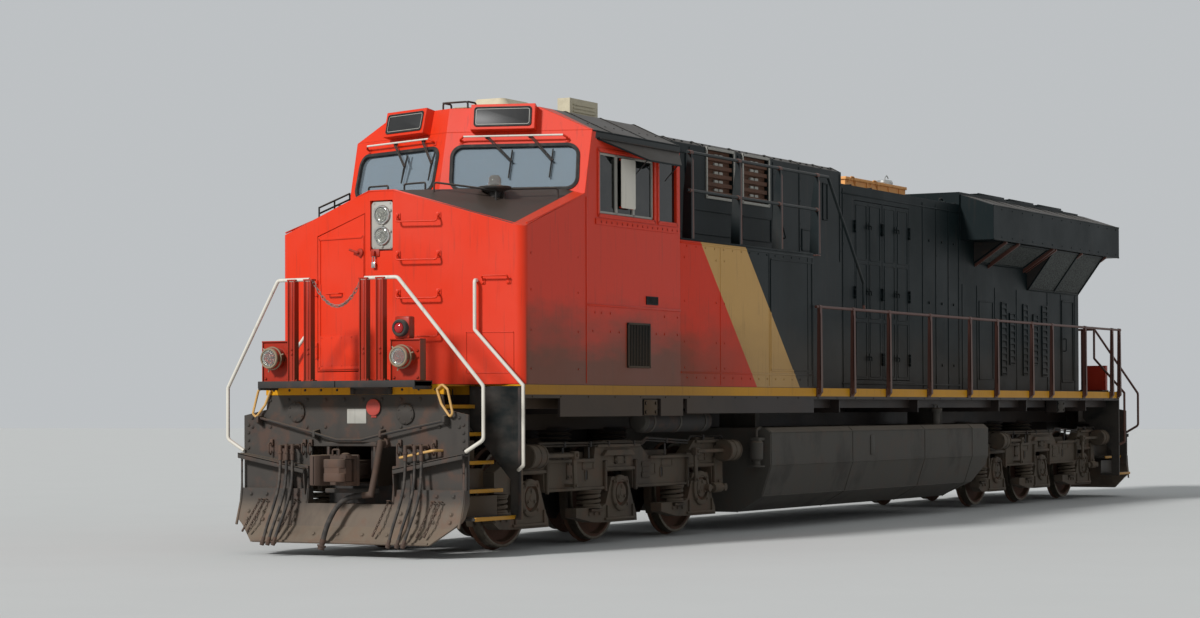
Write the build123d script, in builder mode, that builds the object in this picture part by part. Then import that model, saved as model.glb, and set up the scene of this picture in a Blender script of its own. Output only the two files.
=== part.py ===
from build123d import *
import os
from math import atan2, cos, degrees, hypot, radians, tan

os.makedirs("parts", exist_ok=True)

# Six-axle diesel locomotive with a wide nose and a single cab, millimetres.
# Frame: +X towards the nose end, +Y to the left, +Z up. The origin lies on the ground
# under the middle of the locomotive, where the wheel flanges touch.
# A pair such as (low, high) is a span along one axis. Heights are named ..._Z.

# Running gear
FLANGE_DEPTH = 28.6
WHEEL_R = 533.0
WHEEL_BACK_Y = 680.0
WHEEL_WIDTH = 137.0
AXLE_R = 95.0
BEARING_R = 140.0
BEARING_END_Y = 1160.0
AXLE_STEP = 2015.0
TRUCK_X = 7015.0
RAIL_Z = FLANGE_DEPTH
AXLE_Z = RAIL_Z + WHEEL_R

# Frame and platform
HALF_WIDTH = 1524.0
DECK_Z = RAIL_Z + 1736.0
DECK_T = 20.0
SILL_BOTTOM_Z = RAIL_Z + 1590.0
SILL_T = 100.0
STRIPE_BOTTOM_Z = RAIL_Z + 1630.0
SILL_END_X = 9800.0
PORCH_END_X = 10650.0
PORCH_HALF = 900.0
END_PLATE_HALF = 1100.0
CENTRE_SILL_HALF = 330.0
CENTRE_SILL_Z = RAIL_Z + 1240.0
PLATFORM_HALF = 1300.0
PLATFORM_Z = RAIL_Z + 1480.0
PLATE_T = 30.0
CENTRE_PLATE_R = 300.0
CENTRE_PLATE_Z = RAIL_Z + 1150.0
RUNNING_GAP = 5.0

# Nose and cab
NOSE_CORNER_X = 9765.0
NOSE_CORNER_R = 110.0
NOSE_TIP_X = 10120.0
NOSE_TIP_HALF = 160.0
NOSE_CORNER_Z = RAIL_Z + 3360.0
NOSE_TIP_Z = RAIL_Z + 3772.0
NOSE_TOP_Z = RAIL_Z + 3840.0
NOSE_SIDE_Z = RAIL_Z + 3790.0
CAB_SILL = 60.0
CAB_FRONT_X = 8458.0
CAB_REAR_X = 6230.0
CAB_RIDGE_DX = 530.0
WINDSHIELD_RAKE = 0.2426
EAVE_Z = RAIL_Z + 4495.0
ROOF_Z = RAIL_Z + 4765.0
ROOF_HALF = 940.0
WALL_T = 60.0
CAB_FLOOR_Z = RAIL_Z + 2600.0
GLASS_T = 16.0

# Hoods
HOOD_HALF = 1000.0
UPPER_HOOD_END_X = 450.0
UPPER_HOOD_Z = RAIL_Z + 4710.0
CABINET = (2530.0, 6130.0)
CABINET_TOP_Z = RAIL_Z + 3420.0
ENGINE_HOOD_END_X = -3905.0
ENGINE_HOOD_Z = RAIL_Z + 4500.0
HOOD_WALL = 50.0
RADIATOR_END_X = -9310.0
RADIATOR_TOP_Z = RAIL_Z + 4690.0
WING = (-9870.0, -3950.0)
WING_BOTTOM_Z = RAIL_Z + 3970.0
WING_TOP_Z = RAIL_Z + 4480.0

# Doors
DOOR_GAP = 8.0
DOOR_T = 25.0
DOOR_POSTS_X = (30.0, -960.0, -1950.0)
DOOR_POST_W = 30.0
DOOR_Z = (RAIL_Z + 1860.0, RAIL_Z + 4310.0)

# Tank
TANK = (-3670.0, 3830.0)
TANK_TOP_Z = RAIL_Z + 1240.0
TANK_BEND_Z = RAIL_Z + 780.0
TANK_CHINE_Z = RAIL_Z + 400.0
TANK_BOTTOM_Z = RAIL_Z + 200.0
TANK_CUT = (670.0, 450.0)

# Couplers and end gear
COUPLER_FACE_X = 11150.0
COUPLER_Z = RAIL_Z + 860.0
COUPLER_PIVOT_X = 10150.0
PLOW_HALF = 1385.0
PLOW_FACE_X = 10670.0
PLOW_LIP_X = 10940.0
PLOW_TOP_Z = RAIL_Z + 860.0
PLOW_BOTTOM_Z = RAIL_Z + 110.0
OPENING_HALF = 520.0
OPENING_Z = (RAIL_Z + 510.0, RAIL_Z + 1100.0)

# Trucks, from the truck's centre
FRAME_Y = (1010.0, 1150.0)
FRAME_FRONT_DX = 2740.0
FRAME_REAR_DX = -2620.0
PEDESTAL_DX = (-310.0, 335.0)
FRAME_LOW_Z = RAIL_Z + 580.0
PEDESTAL_TOP_Z = RAIL_Z + 780.0
SPRING_DX = 600.0
SPRING_R = 135.0
ARM_TOP_Z = RAIL_Z + 385.0
BOX_BOTTOM_Z = RAIL_Z + 210.0


def block(x, y, z, mode=Mode.ADD):
    """Add a block from its span along each axis."""
    with Locations(((x[0] + x[1]) / 2, (y[0] + y[1]) / 2, (z[0] + z[1]) / 2)):
        Box(x[1] - x[0], y[1] - y[0], z[1] - z[0], mode=mode)


def prism(plane, points, amount, mode=Mode.ADD):
    """Extrude a closed outline that is drawn on a plane."""
    with BuildSketch(plane) as outline:
        with BuildLine():
            Polyline(*points, close=True)
        make_face()
    extrude(outline.sketch, amount=amount, mode=mode)


def along_x(points, x, mode=Mode.ADD):
    """Extrude a (y, z) outline over a span of x."""
    prism(Plane.YZ.offset(x[0]), points, x[1] - x[0], mode)


def along_y(points, y, mode=Mode.ADD):
    """Extrude an (x, z) outline over a span of y."""
    prism(Plane.XZ.offset(-y[1]), points, y[1] - y[0], mode)


def along_z(points, z, mode=Mode.ADD):
    """Extrude an (x, y) outline over a span of z."""
    prism(Plane.XY.offset(z[0]), points, z[1] - z[0], mode)


def bar(start, end, radius, mode=Mode.ADD):
    """Add a straight round bar between two points."""
    run = Vector(*end) - Vector(*start)
    with BuildSketch(Plane(origin=start, z_dir=run)) as section:
        Circle(radius)
    extrude(section.sketch, amount=run.length, mode=mode)


def mitred_bar(points, radius):
    """Add a round bar along straight runs that meet in mitred corners."""
    with BuildLine(mode=Mode.PRIVATE) as route:
        Polyline(*points)
    run = Vector(*points[1]) - Vector(*points[0])
    with BuildSketch(Plane(origin=points[0], z_dir=run)) as section:
        Circle(radius)
    sweep(section.sketch, path=route.line, transition=Transition.RIGHT)


def bent_bar(points, radius, bend):
    """Add a round bar along a route, its corners bent to one radius or a list of radii."""
    with BuildLine(mode=Mode.PRIVATE) as route:
        FilletPolyline(*points, radius=bend)
    run = Vector(*points[1]) - Vector(*points[0])
    with BuildSketch(Plane(origin=points[0], z_dir=run)) as section:
        Circle(radius)
    sweep(section.sketch, path=route.line)


def swap(span):
    """Mirror a span about zero."""
    return (-span[1], -span[0])


# Hinges: round segments that stand clear of the face, each on a strap
HINGE_R = 14.0
HINGE_OUT = 18.0
HINGE_LENGTH = 80.0
HINGE_STRAP_T = 6.0
LEAF_W = 55.0
POST_STRAP_W = 20.0
HINGE_GAP = 3.0


def hinge(plane, edge, near, far, spans):
    """Add hinge segments over an edge of a face, their straps from near to far of the edge."""
    for low, high in spans:
        start = plane.from_local_coords((edge, low, HINGE_OUT))
        end = plane.from_local_coords((edge, high, HINGE_OUT))
        bar((start.X, start.Y, start.Z), (end.X, end.Y, end.Z), HINGE_R)
        strap = [
            (edge + near, low),
            (edge + far, low),
            (edge + far, high),
            (edge + near, high),
        ]
        prism(plane, strap, HINGE_STRAP_T)


def leaf_spans(heights):
    """Give the door's own segment of each hinge."""
    return [(low, low + HINGE_LENGTH) for low in heights]


def post_spans(heights):
    """Give the fixed segments above and below the door's segment of each hinge."""
    half = HINGE_LENGTH / 2
    spans = []
    for low in heights:
        spans.append((low - half - RUNNING_GAP, low - RUNNING_GAP))
        top = low + HINGE_LENGTH + RUNNING_GAP
        spans.append((top, top + half))
    return spans


# Underframe: deck, side sills, centre sill, cross bearers, centre plates, skirts,
# draft pockets and the end plates that carry the yellow stripe
SKIRTS = [  # x span, bottom height
    ((7170.0, 9020.0), RAIL_Z + 1395.0),
    ((6170.0, 6720.0), RAIL_Z + 1395.0),
    ((2530.0, 6070.0), RAIL_Z + 1420.0),
]
JACK_PADS_X = (-6945.0, 6945.0)
JACK_PAD = (170.0, 190.0)  # half length, height
BEARERS_X = (-8400.0, -5600.0, -4400.0, -1200.0, 1500.0, 4300.0, 8500.0)
POCKET_X = (9900.0, 10620.0)
POCKET_HALF = 230.0
POCKET_Z = (COUPLER_Z - 170.0, CENTRE_SILL_Z)
LEDGE_Z = (DECK_Z - DECK_T, DECK_Z + 34.0)
LEDGE_REACH = 330.0
LEDGE_HALF = 965.0

with BuildPart() as underframe:
    deck = [
        (-PORCH_END_X, -PORCH_HALF),
        (-SILL_END_X, -PORCH_HALF),
        (-SILL_END_X, -HALF_WIDTH),
        (SILL_END_X, -HALF_WIDTH),
        (SILL_END_X, -PORCH_HALF),
        (PORCH_END_X, -PORCH_HALF),
        (PORCH_END_X, PORCH_HALF),
        (SILL_END_X, PORCH_HALF),
        (SILL_END_X, HALF_WIDTH),
        (-SILL_END_X, HALF_WIDTH),
        (-SILL_END_X, PORCH_HALF),
        (-PORCH_END_X, PORCH_HALF),
    ]
    along_z(deck, (DECK_Z - DECK_T, DECK_Z))
    side_sill = (HALF_WIDTH - SILL_T, HALF_WIDTH)
    for span in (side_sill, swap(side_sill)):
        block((-SILL_END_X, SILL_END_X), span, (SILL_BOTTOM_Z, DECK_Z - DECK_T))
    block(
        (-SILL_END_X, SILL_END_X),
        (-PLATFORM_HALF, PLATFORM_HALF),
        (PLATFORM_Z, DECK_Z - DECK_T),
    )
    centre_sill = (-CENTRE_SILL_HALF, CENTRE_SILL_HALF)
    block(
        (-PORCH_END_X + PLATE_T, PORCH_END_X - PLATE_T),
        centre_sill,
        (CENTRE_SILL_Z, DECK_Z - DECK_T),
    )
    for x in BEARERS_X:
        block(
            (x - PLATE_T / 2, x + PLATE_T / 2),
            (-HALF_WIDTH + SILL_T, HALF_WIDTH - SILL_T),
            (PLATFORM_Z - 60.0, DECK_Z - DECK_T),
        )
    for x in (-TRUCK_X, TRUCK_X):
        with Locations((x, 0, (CENTRE_PLATE_Z + CENTRE_SILL_Z) / 2)):
            Cylinder(CENTRE_PLATE_R, CENTRE_SILL_Z - CENTRE_PLATE_Z)
    for x, bottom in SKIRTS:
        skirt = (HALF_WIDTH - PLATE_T, HALF_WIDTH)
        for span in (skirt, swap(skirt)):
            block(x, span, (bottom, SILL_BOTTOM_Z))
    for x in JACK_PADS_X:
        pad = (HALF_WIDTH - 2 * SILL_T, HALF_WIDTH - PLATE_T)
        for span in (pad, swap(pad)):
            block((x - JACK_PAD[0], x + JACK_PAD[0]), span, (SILL_BOTTOM_Z - JACK_PAD[1], SILL_BOTTOM_Z))
    for turn in (1.0, -1.0):
        end = sorted((turn * (PORCH_END_X - PLATE_T), turn * PORCH_END_X))
        block(end, (-END_PLATE_HALF, END_PLATE_HALF), (STRIPE_BOTTOM_Z, DECK_Z))
        pocket = sorted((turn * POCKET_X[0], turn * POCKET_X[1]))
        block(pocket, (-POCKET_HALF, POCKET_HALF), POCKET_Z)
        mouth = sorted((turn * (POCKET_X[0] + PLATE_T), turn * (POCKET_X[1] + 1.0)))
        block(
            mouth,
            (-POCKET_HALF + PLATE_T, POCKET_HALF - PLATE_T),
            (POCKET_Z[0] + PLATE_T, POCKET_Z[1] - PLATE_T),
            mode=Mode.SUBTRACT,
        )
        ledge = sorted((turn * PORCH_END_X, turn * (PORCH_END_X + LEDGE_REACH)))
        block(ledge, (-LEDGE_HALF, LEDGE_HALF), LEDGE_Z)
underframe.part.label = "underframe"
export_step(underframe.part, "parts/underframe.step")

# Fuel tank: bent-plate section, cut away low at the rear, hung from four saddles
FILLER_X = -2100.0
FILLER_Y = 1330.0
SADDLES_X = (-3000.0, 3200.0)
with BuildPart() as fuel_tank:
    half = [
        (HALF_WIDTH - 70.0, TANK_TOP_Z),
        (HALF_WIDTH, TANK_TOP_Z - 60.0),
        (HALF_WIDTH, TANK_BEND_Z),
        (HALF_WIDTH - 124.0, TANK_CHINE_Z),
        (HALF_WIDTH - 474.0, TANK_BOTTOM_Z),
    ]
    along_x(half + [(-y, z) for y, z in reversed(half)], TANK)
    along_y(
        [
            (TANK[0] - 1.0, TANK_BOTTOM_Z - 1.0),
            (TANK[0] - 1.0, TANK_BOTTOM_Z + TANK_CUT[1]),
            (TANK[0], TANK_BOTTOM_Z + TANK_CUT[1]),
            (TANK[0] + TANK_CUT[0], TANK_BOTTOM_Z),
            (TANK[0] + TANK_CUT[0], TANK_BOTTOM_Z - 1.0),
        ],
        (-HALF_WIDTH - 1.0, HALF_WIDTH + 1.0),
        mode=Mode.SUBTRACT,
    )
    for x in SADDLES_X:
        for y in (-800.0, 800.0):
            block((x - 60.0, x + 60.0), (y - 250.0, y + 250.0), (TANK_TOP_Z, PLATFORM_Z))
    for y in (-FILLER_Y, FILLER_Y):
        bar((FILLER_X, y, TANK_TOP_Z - 10.0), (FILLER_X, y, TANK_TOP_Z + 170.0), 55.0)
        bar((FILLER_X, y, TANK_TOP_Z + 170.0), (FILLER_X, y, TANK_TOP_Z + 200.0), 75.0)
fuel_tank.part.label = "fuel_tank"
export_step(fuel_tank.part, "parts/fuel_tank.step")

# Front face of the nose, on the right half: the door's plane and its own axes
face_run = Vector(NOSE_TIP_X - NOSE_CORNER_X, HALF_WIDTH - NOSE_TIP_HALF, 0)
face_turn = degrees(atan2(face_run.X, face_run.Y))
right_face = Plane(
    origin=(NOSE_CORNER_X, -HALF_WIDTH, DECK_Z),
    x_dir=(face_run.X, face_run.Y, 0),
    z_dir=(face_run.Y, -face_run.X, 0),
)
NOSE_DOOR = (595.0, 1345.0)
NOSE_DOOR_Z = (150.0, 1590.0, 1800.0)
NOSE_DOOR_T = 40.0


def nose_door_outline(grow):
    """Give the nose door's outline on its face, grown by a gap on every side."""
    low, side, top = NOSE_DOOR_Z
    left, right = NOSE_DOOR
    return [
        (left - grow, low - grow),
        (right + grow, low - grow),
        (right + grow, top + grow),
        (left - grow, side + grow),
    ]


def under_planes(drop):
    """Cut the nose's top with its three sloping planes, lowered by a wall's thickness."""
    tips = [Vector(NOSE_TIP_X, side * NOSE_TIP_HALF, NOSE_TIP_Z - drop) for side in (1.0, -1.0)]
    for side, tip in zip((1.0, -1.0), tips):
        corner = Vector(NOSE_CORNER_X, side * HALF_WIDTH, NOSE_CORNER_Z - drop)
        back = Vector(CAB_FRONT_X, side * HALF_WIDTH, NOSE_SIDE_Z - drop)
        cut_above(corner, back - corner, tip - corner)
    ridge = Vector(CAB_FRONT_X + CAB_RIDGE_DX, 0, NOSE_TOP_Z - drop)
    cut_above(tips[0], tips[1] - tips[0], ridge - tips[0])


def cut_above(point, first, second):
    """Keep what lies under the plane through a point along two directions."""
    up = first.cross(second)
    if up.Z < 0:
        up = up * -1.0
    split(bisect_by=Plane(origin=point, z_dir=up), keep=Keep.BOTTOM)


def nose_plan(inset):
    """Give the nose's plan, moved in by a wall's thickness."""
    slant = inset / cos(radians(face_turn))
    edge = HALF_WIDTH - inset
    run = tan(radians(face_turn))
    corner_x = NOSE_CORNER_X - slant + inset * run
    tip_x = NOSE_TIP_X - inset
    tip_y = HALF_WIDTH - inset - (tip_x - corner_x) / run
    back_x = CAB_FRONT_X - (1.0 if inset else 0.0)
    return [
        (back_x, -edge),
        (corner_x, -edge),
        (tip_x, -tip_y),
        (tip_x, tip_y),
        (corner_x, edge),
        (back_x, edge),
    ]


RIDGE_SLOPE = CAB_RIDGE_DX / HALF_WIDTH


def cab_plan(z, inset):
    """Give the cab's plan at a height, with its front on the two raked planes."""
    face = CAB_FRONT_X - (z - NOSE_TOP_Z) * WINDSHIELD_RAKE
    back = CAB_REAR_X + inset
    edge = HALF_WIDTH - inset
    setback = inset * hypot(1.0, RIDGE_SLOPE)
    return [
        (back, -edge),
        (face + RIDGE_SLOPE * inset - setback, -edge),
        (face + CAB_RIDGE_DX - setback, 0.0),
        (face + RIDGE_SLOPE * inset - setback, edge),
        (back, edge),
    ]


def cab_body(z, inset, mode=Mode.ADD):
    """Loft the cab's upper body between two heights."""
    levels = []
    for height in z:
        with BuildSketch(Plane.XY.offset(height)) as level:
            with BuildLine():
                Polyline(*cab_plan(height, inset), close=True)
            make_face()
        levels.append(level.sketch)
    loft(levels, ruled=True, mode=mode)


with BuildPart() as nose_inside:
    along_z(nose_plan(WALL_T), (DECK_Z, NOSE_TOP_Z - WALL_T))
    under_planes(WALL_T)

HEADLIGHT_HALF = 140.0
HEADLIGHT_Z = (RAIL_Z + 3140.0, RAIL_Z + 3670.0)
HEADLIGHT_DEPTH = 55.0
NOSE_HINGES = (330.0, 1000.0)
with BuildPart() as nose:
    along_z(nose_plan(0.0), (DECK_Z, NOSE_TOP_Z))
    uprights = nose.edges().filter_by(Axis.Z)
    fillet(uprights.filter_by(lambda edge: edge.center().X > CAB_FRONT_X + 1.0), radius=NOSE_CORNER_R)
    under_planes(0.0)
    add(nose_inside.part, mode=Mode.SUBTRACT)
    cab_body((NOSE_TOP_Z - CAB_SILL, EAVE_Z), 0.0, mode=Mode.SUBTRACT)
    prism(right_face, nose_door_outline(DOOR_GAP), -2.5 * WALL_T, mode=Mode.SUBTRACT)
    block(
        (NOSE_TIP_X - HEADLIGHT_DEPTH, NOSE_TIP_X + 1.0),
        (-HEADLIGHT_HALF, HEADLIGHT_HALF),
        HEADLIGHT_Z,
        mode=Mode.SUBTRACT,
    )
    hinge(right_face, NOSE_DOOR[0], -LEAF_W, -HINGE_GAP, post_spans(NOSE_HINGES))
nose.part.label = "nose"
export_step(nose.part, "parts/nose.step")

with BuildPart() as nose_door:
    prism(right_face, nose_door_outline(0.0), -NOSE_DOOR_T)
    hinge(right_face, NOSE_DOOR[0], 0.0, LEAF_W, leaf_spans(NOSE_HINGES))
nose_door.part.label = "nose_door"
export_step(nose_door.part, "parts/nose_door.step")

# Cab: side and rear walls, raked two-plane windshield wall, floor, window cuts
SIDE_PANES_X = ((6880.0, 8150.0), (6330.0, 6750.0))
SIDE_PANE_Z = (RAIL_Z + 3600.0, RAIL_Z + 4270.0)
SCREEN_Y = (130.0, 1425.0)
SCREEN_Z = (RAIL_Z + 3865.0, RAIL_Z + 4325.0)
SCREEN_CORNER_R = 110.0
REAR_DOOR_Y = (-HALF_WIDTH + 74.0, -HOOD_HALF - 35.0)
REAR_DOOR_Z = (CAB_FLOOR_Z, CAB_FLOOR_Z + 1850.0)


def screen_plane(side):
    """Give the plane of one windshield, x outwards along the wall and y up the rake."""
    out = Vector(-RIDGE_SLOPE, side, 0).normalized()
    rise = Vector(-WINDSHIELD_RAKE, 0, 1.0)
    normal = out.cross(rise) * side
    origin = (CAB_FRONT_X + CAB_RIDGE_DX, 0.0, NOSE_TOP_Z)
    return Plane(origin=origin, x_dir=(out.X, out.Y, out.Z), z_dir=(normal.X, normal.Y, normal.Z))


def screen(side, grow, near, far, mode=Mode.ADD):
    """Extrude a windshield's rounded outline between two depths behind its plane."""
    plane = screen_plane(side)
    stretch = hypot(1.0, RIDGE_SLOPE)
    lift = hypot(1.0, WINDSHIELD_RAKE / stretch)
    wide = (SCREEN_Y[1] - SCREEN_Y[0]) * stretch
    tall = (SCREEN_Z[1] - SCREEN_Z[0]) * lift
    middle = plane.from_local_coords(
        (
            (SCREEN_Y[0] + SCREEN_Y[1]) / 2 * stretch,
            side * ((SCREEN_Z[0] + SCREEN_Z[1]) / 2 - NOSE_TOP_Z) * lift,
            -near,
        )
    )
    with BuildSketch(Plane(origin=middle, x_dir=plane.x_dir, z_dir=plane.z_dir)) as pane:
        RectangleRounded(wide + 2 * grow, tall + 2 * grow, SCREEN_CORNER_R + grow)
    extrude(pane.sketch, amount=near - far, mode=mode)


rear_wall = Plane(origin=(CAB_REAR_X, 0, CAB_FLOOR_Z), x_dir=(0, -1, 0), z_dir=(-1, 0, 0))
REAR_HINGES = (200.0, 1500.0)

with BuildPart() as cab_inside:
    cab_body((NOSE_TOP_Z - CAB_SILL, EAVE_Z), WALL_T)
    block(
        (CAB_REAR_X + WALL_T, CAB_FRONT_X + 1.0),
        (-HALF_WIDTH + WALL_T, HALF_WIDTH - WALL_T),
        (DECK_Z + WALL_T, NOSE_TOP_Z - CAB_SILL),
    )

with BuildPart() as cab_shell:
    cab_body((NOSE_TOP_Z - CAB_SILL, EAVE_Z), 0.0)
    block((CAB_REAR_X, CAB_FRONT_X), (-HALF_WIDTH, HALF_WIDTH), (DECK_Z, NOSE_TOP_Z - CAB_SILL))
    add(cab_inside.part, mode=Mode.SUBTRACT)
    block(
        (CAB_REAR_X + WALL_T, CAB_FRONT_X),
        (-HALF_WIDTH + WALL_T, HALF_WIDTH - WALL_T),
        (CAB_FLOOR_Z - WALL_T, CAB_FLOOR_Z),
    )
    for side in (1.0, -1.0):
        screen(side, 0.0, -1.0, 2 * WALL_T, mode=Mode.SUBTRACT)
    for x in SIDE_PANES_X:
        block(x, (-HALF_WIDTH - 1.0, HALF_WIDTH + 1.0), SIDE_PANE_Z, mode=Mode.SUBTRACT)
    block(
        (CAB_REAR_X - 1.0, CAB_REAR_X + WALL_T + 1.0),
        (REAR_DOOR_Y[0] - DOOR_GAP, REAR_DOOR_Y[1] + DOOR_GAP),
        (REAR_DOOR_Z[0] - DOOR_GAP + 10.0, REAR_DOOR_Z[1] + DOOR_GAP),
        mode=Mode.SUBTRACT,
    )
    hinge(rear_wall, -REAR_DOOR_Y[1], -POST_STRAP_W, -HINGE_GAP, post_spans(REAR_HINGES))
cab_shell.part.label = "cab_shell"
export_step(cab_shell.part, "parts/cab_shell.step")

# Cab roof: gabled section, closed at the front by the raked planes
AWNING_X = (6250.0, 8200.0)
AWNING_OUTER_X = (6620.0, 7390.0)
AWNING_REACH = 226.0


def roof_outline(inset):
    """Give the roof's section, moved in by its thickness."""
    drop = inset * 1.1
    return [
        (HALF_WIDTH - 1.6 * inset, EAVE_Z - (1.0 if inset else 0.0)),
        (ROOF_HALF - 0.2 * inset, ROOF_Z - drop),
        (-ROOF_HALF + 0.2 * inset, ROOF_Z - drop),
        (-HALF_WIDTH + 1.6 * inset, EAVE_Z - (1.0 if inset else 0.0)),
    ]


def behind_screens(inset):
    """Keep what lies behind the two raked planes, moved in by a wall's thickness."""
    for side in (1.0, -1.0):
        plane = screen_plane(side)
        split(bisect_by=plane.offset(-inset), keep=Keep.BOTTOM)


with BuildPart() as roof_inside:
    along_x(roof_outline(WALL_T), (CAB_REAR_X + WALL_T, CAB_FRONT_X + CAB_RIDGE_DX))
    behind_screens(WALL_T)

with BuildPart() as cab_roof:
    along_x(roof_outline(0.0), (CAB_REAR_X, CAB_FRONT_X + CAB_RIDGE_DX))
    behind_screens(0.0)
    add(roof_inside.part, mode=Mode.SUBTRACT)
cab_roof.part.label = "cab_roof"
export_step(cab_roof.part, "parts/cab_roof.step")

with BuildPart() as awnings:
    sheet = [
        (HALF_WIDTH, EAVE_Z - 75.0),
        (HALF_WIDTH, EAVE_Z - 95.0),
        (HALF_WIDTH + AWNING_REACH, EAVE_Z - 285.0),
        (HALF_WIDTH + AWNING_REACH, EAVE_Z - 265.0),
    ]
    along_x(sheet, AWNING_X)
    for start, end in (AWNING_X, AWNING_OUTER_X), (AWNING_X[::-1], AWNING_OUTER_X[::-1]):
        corner = [
            (start[0], HALF_WIDTH),
            (end[0], HALF_WIDTH + AWNING_REACH + 1.0),
            (start[0], HALF_WIDTH + AWNING_REACH + 1.0),
        ]
        along_z(corner, (EAVE_Z - 300.0, EAVE_Z), mode=Mode.SUBTRACT)
    mirror(about=Plane.XZ)
awnings.part.label = "window_awnings"
export_step(awnings.part, "parts/window_awnings.step")

# Cab glass, set in the middle of its walls
with BuildPart() as cab_glass:
    middle = (WALL_T - GLASS_T) / 2
    for side in (1.0, -1.0):
        screen(side, 0.0, middle, middle + GLASS_T)
        outer = side * (HALF_WIDTH - middle)
        inner = side * (HALF_WIDTH - middle - GLASS_T)
        for x in SIDE_PANES_X:
            block(x, sorted((inner, outer)), SIDE_PANE_Z)
cab_glass.part.label = "cab_glass"
export_step(cab_glass.part, "parts/cab_glass.step")

# Rear cab door with its window
with BuildPart() as cab_door:
    block(
        (CAB_REAR_X, CAB_REAR_X + NOSE_DOOR_T),
        REAR_DOOR_Y,
        (REAR_DOOR_Z[0] + 10.0, REAR_DOOR_Z[1]),
    )
    block(
        (CAB_REAR_X - 1.0, CAB_REAR_X + 12.0),
        (REAR_DOOR_Y[0] + 70.0, REAR_DOOR_Y[1] - 70.0),
        (REAR_DOOR_Z[1] - 700.0, REAR_DOOR_Z[1] - 120.0),
        mode=Mode.SUBTRACT,
    )
    hinge(rear_wall, -REAR_DOOR_Y[1], 0.0, LEAF_W, leaf_spans(REAR_HINGES))
cab_door.part.label = "cab_door"
export_step(cab_door.part, "parts/cab_door.step")

# Cab seats: pedestal, cushion, back
SEAT_Y = HALF_WIDTH - 574.0
SEATS = [(7600.0, SEAT_Y), (7600.0, -SEAT_Y), (6900.0, SEAT_Y)]  # x, y
SEAT_Z = CAB_FLOOR_Z + 330.0
CUSHION_T = 130.0
with BuildPart() as cab_seats:
    for x, y in SEATS:
        bar((x, y, CAB_FLOOR_Z), (x, y, SEAT_Z), 60.0)
        block((x - 240.0, x + 260.0), (y - 250.0, y + 250.0), (SEAT_Z, SEAT_Z + CUSHION_T))
        back = [
            (x - 240.0, SEAT_Z + CUSHION_T),
            (x - 130.0, SEAT_Z + CUSHION_T),
            (x - 210.0, SEAT_Z + 790.0),
            (x - 310.0, SEAT_Z + 790.0),
        ]
        along_y(back, (y - 240.0, y + 240.0))
cab_seats.part.label = "cab_seats"
export_step(cab_seats.part, "parts/cab_seats.step")

# Control desks: a sloped console at each side of the cab
DESK_INNER_Y = 450.0
with BuildPart() as control_desk:
    desk = [
        (7950.0, CAB_FLOOR_Z),
        (8380.0, CAB_FLOOR_Z),
        (8380.0, CAB_FLOOR_Z + 1060.0),
        (8200.0, CAB_FLOOR_Z + 1060.0),
        (7900.0, CAB_FLOOR_Z + 840.0),
        (7900.0, CAB_FLOOR_Z + 740.0),
        (7950.0, CAB_FLOOR_Z + 700.0),
    ]
    along_y(desk, (DESK_INNER_Y, HALF_WIDTH - 2 * WALL_T))
    mirror(about=Plane.XZ)
control_desk.part.label = "control_desks"
export_step(control_desk.part, "parts/control_desks.step")

# Upper hood behind the cab, with the two grid louvre windows cut into each side
UPPER_HOOD_CHAMFER = (120.0, 60.0)
LOUVRES_X = ((3760.0, 4480.0), (2745.0, 3475.0))
LOUVRES_Z = (RAIL_Z + 4060.0, RAIL_Z + 4630.0)
LOUVRE_DEPTH = 60.0
with BuildPart() as upper_hood:
    half = [
        (HOOD_HALF, DECK_Z),
        (HOOD_HALF, UPPER_HOOD_Z - UPPER_HOOD_CHAMFER[1]),
        (HOOD_HALF - UPPER_HOOD_CHAMFER[0], UPPER_HOOD_Z),
    ]
    along_x(half + [(-y, z) for y, z in reversed(half)], (UPPER_HOOD_END_X, CAB_REAR_X))
    for x in LOUVRES_X:
        face = (HOOD_HALF - LOUVRE_DEPTH, HOOD_HALF + 1.0)
        for span in (face, swap(face)):
            block(x, span, LOUVRES_Z, mode=Mode.SUBTRACT)
upper_hood.part.label = "upper_hood"
export_step(upper_hood.part, "parts/upper_hood.step")

SLAT_COUNT = 9
with BuildPart() as grid_louvres:
    pitch = (LOUVRES_Z[1] - LOUVRES_Z[0]) / SLAT_COUNT
    back_y = HOOD_HALF - LOUVRE_DEPTH
    for x in LOUVRES_X:
        block(x, (back_y, back_y + 8.0), LOUVRES_Z)
        for row in range(SLAT_COUNT):
            low = LOUVRES_Z[0] + row * pitch
            along_x(
                [
                    (back_y + 4.0, low + 0.75 * pitch),
                    (back_y + 4.0, low + 0.9 * pitch),
                    (back_y + 52.0, low + 0.3 * pitch),
                    (back_y + 52.0, low + 0.15 * pitch),
                ],
                x,
            )
    mirror(about=Plane.XZ)
grid_louvres.part.label = "grid_louvres"
export_step(grid_louvres.part, "parts/grid_louvres.step")

# Inverter cabinet on the left side, its top a raised walkway
with BuildPart() as inverter_cabinet:
    block(
        (CABINET[0], CAB_REAR_X),
        (HOOD_HALF, HALF_WIDTH),
        (DECK_Z, CABINET_TOP_Z),
    )
inverter_cabinet.part.label = "inverter_cabinet"
export_step(inverter_cabinet.part, "parts/inverter_cabinet.step")

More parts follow.
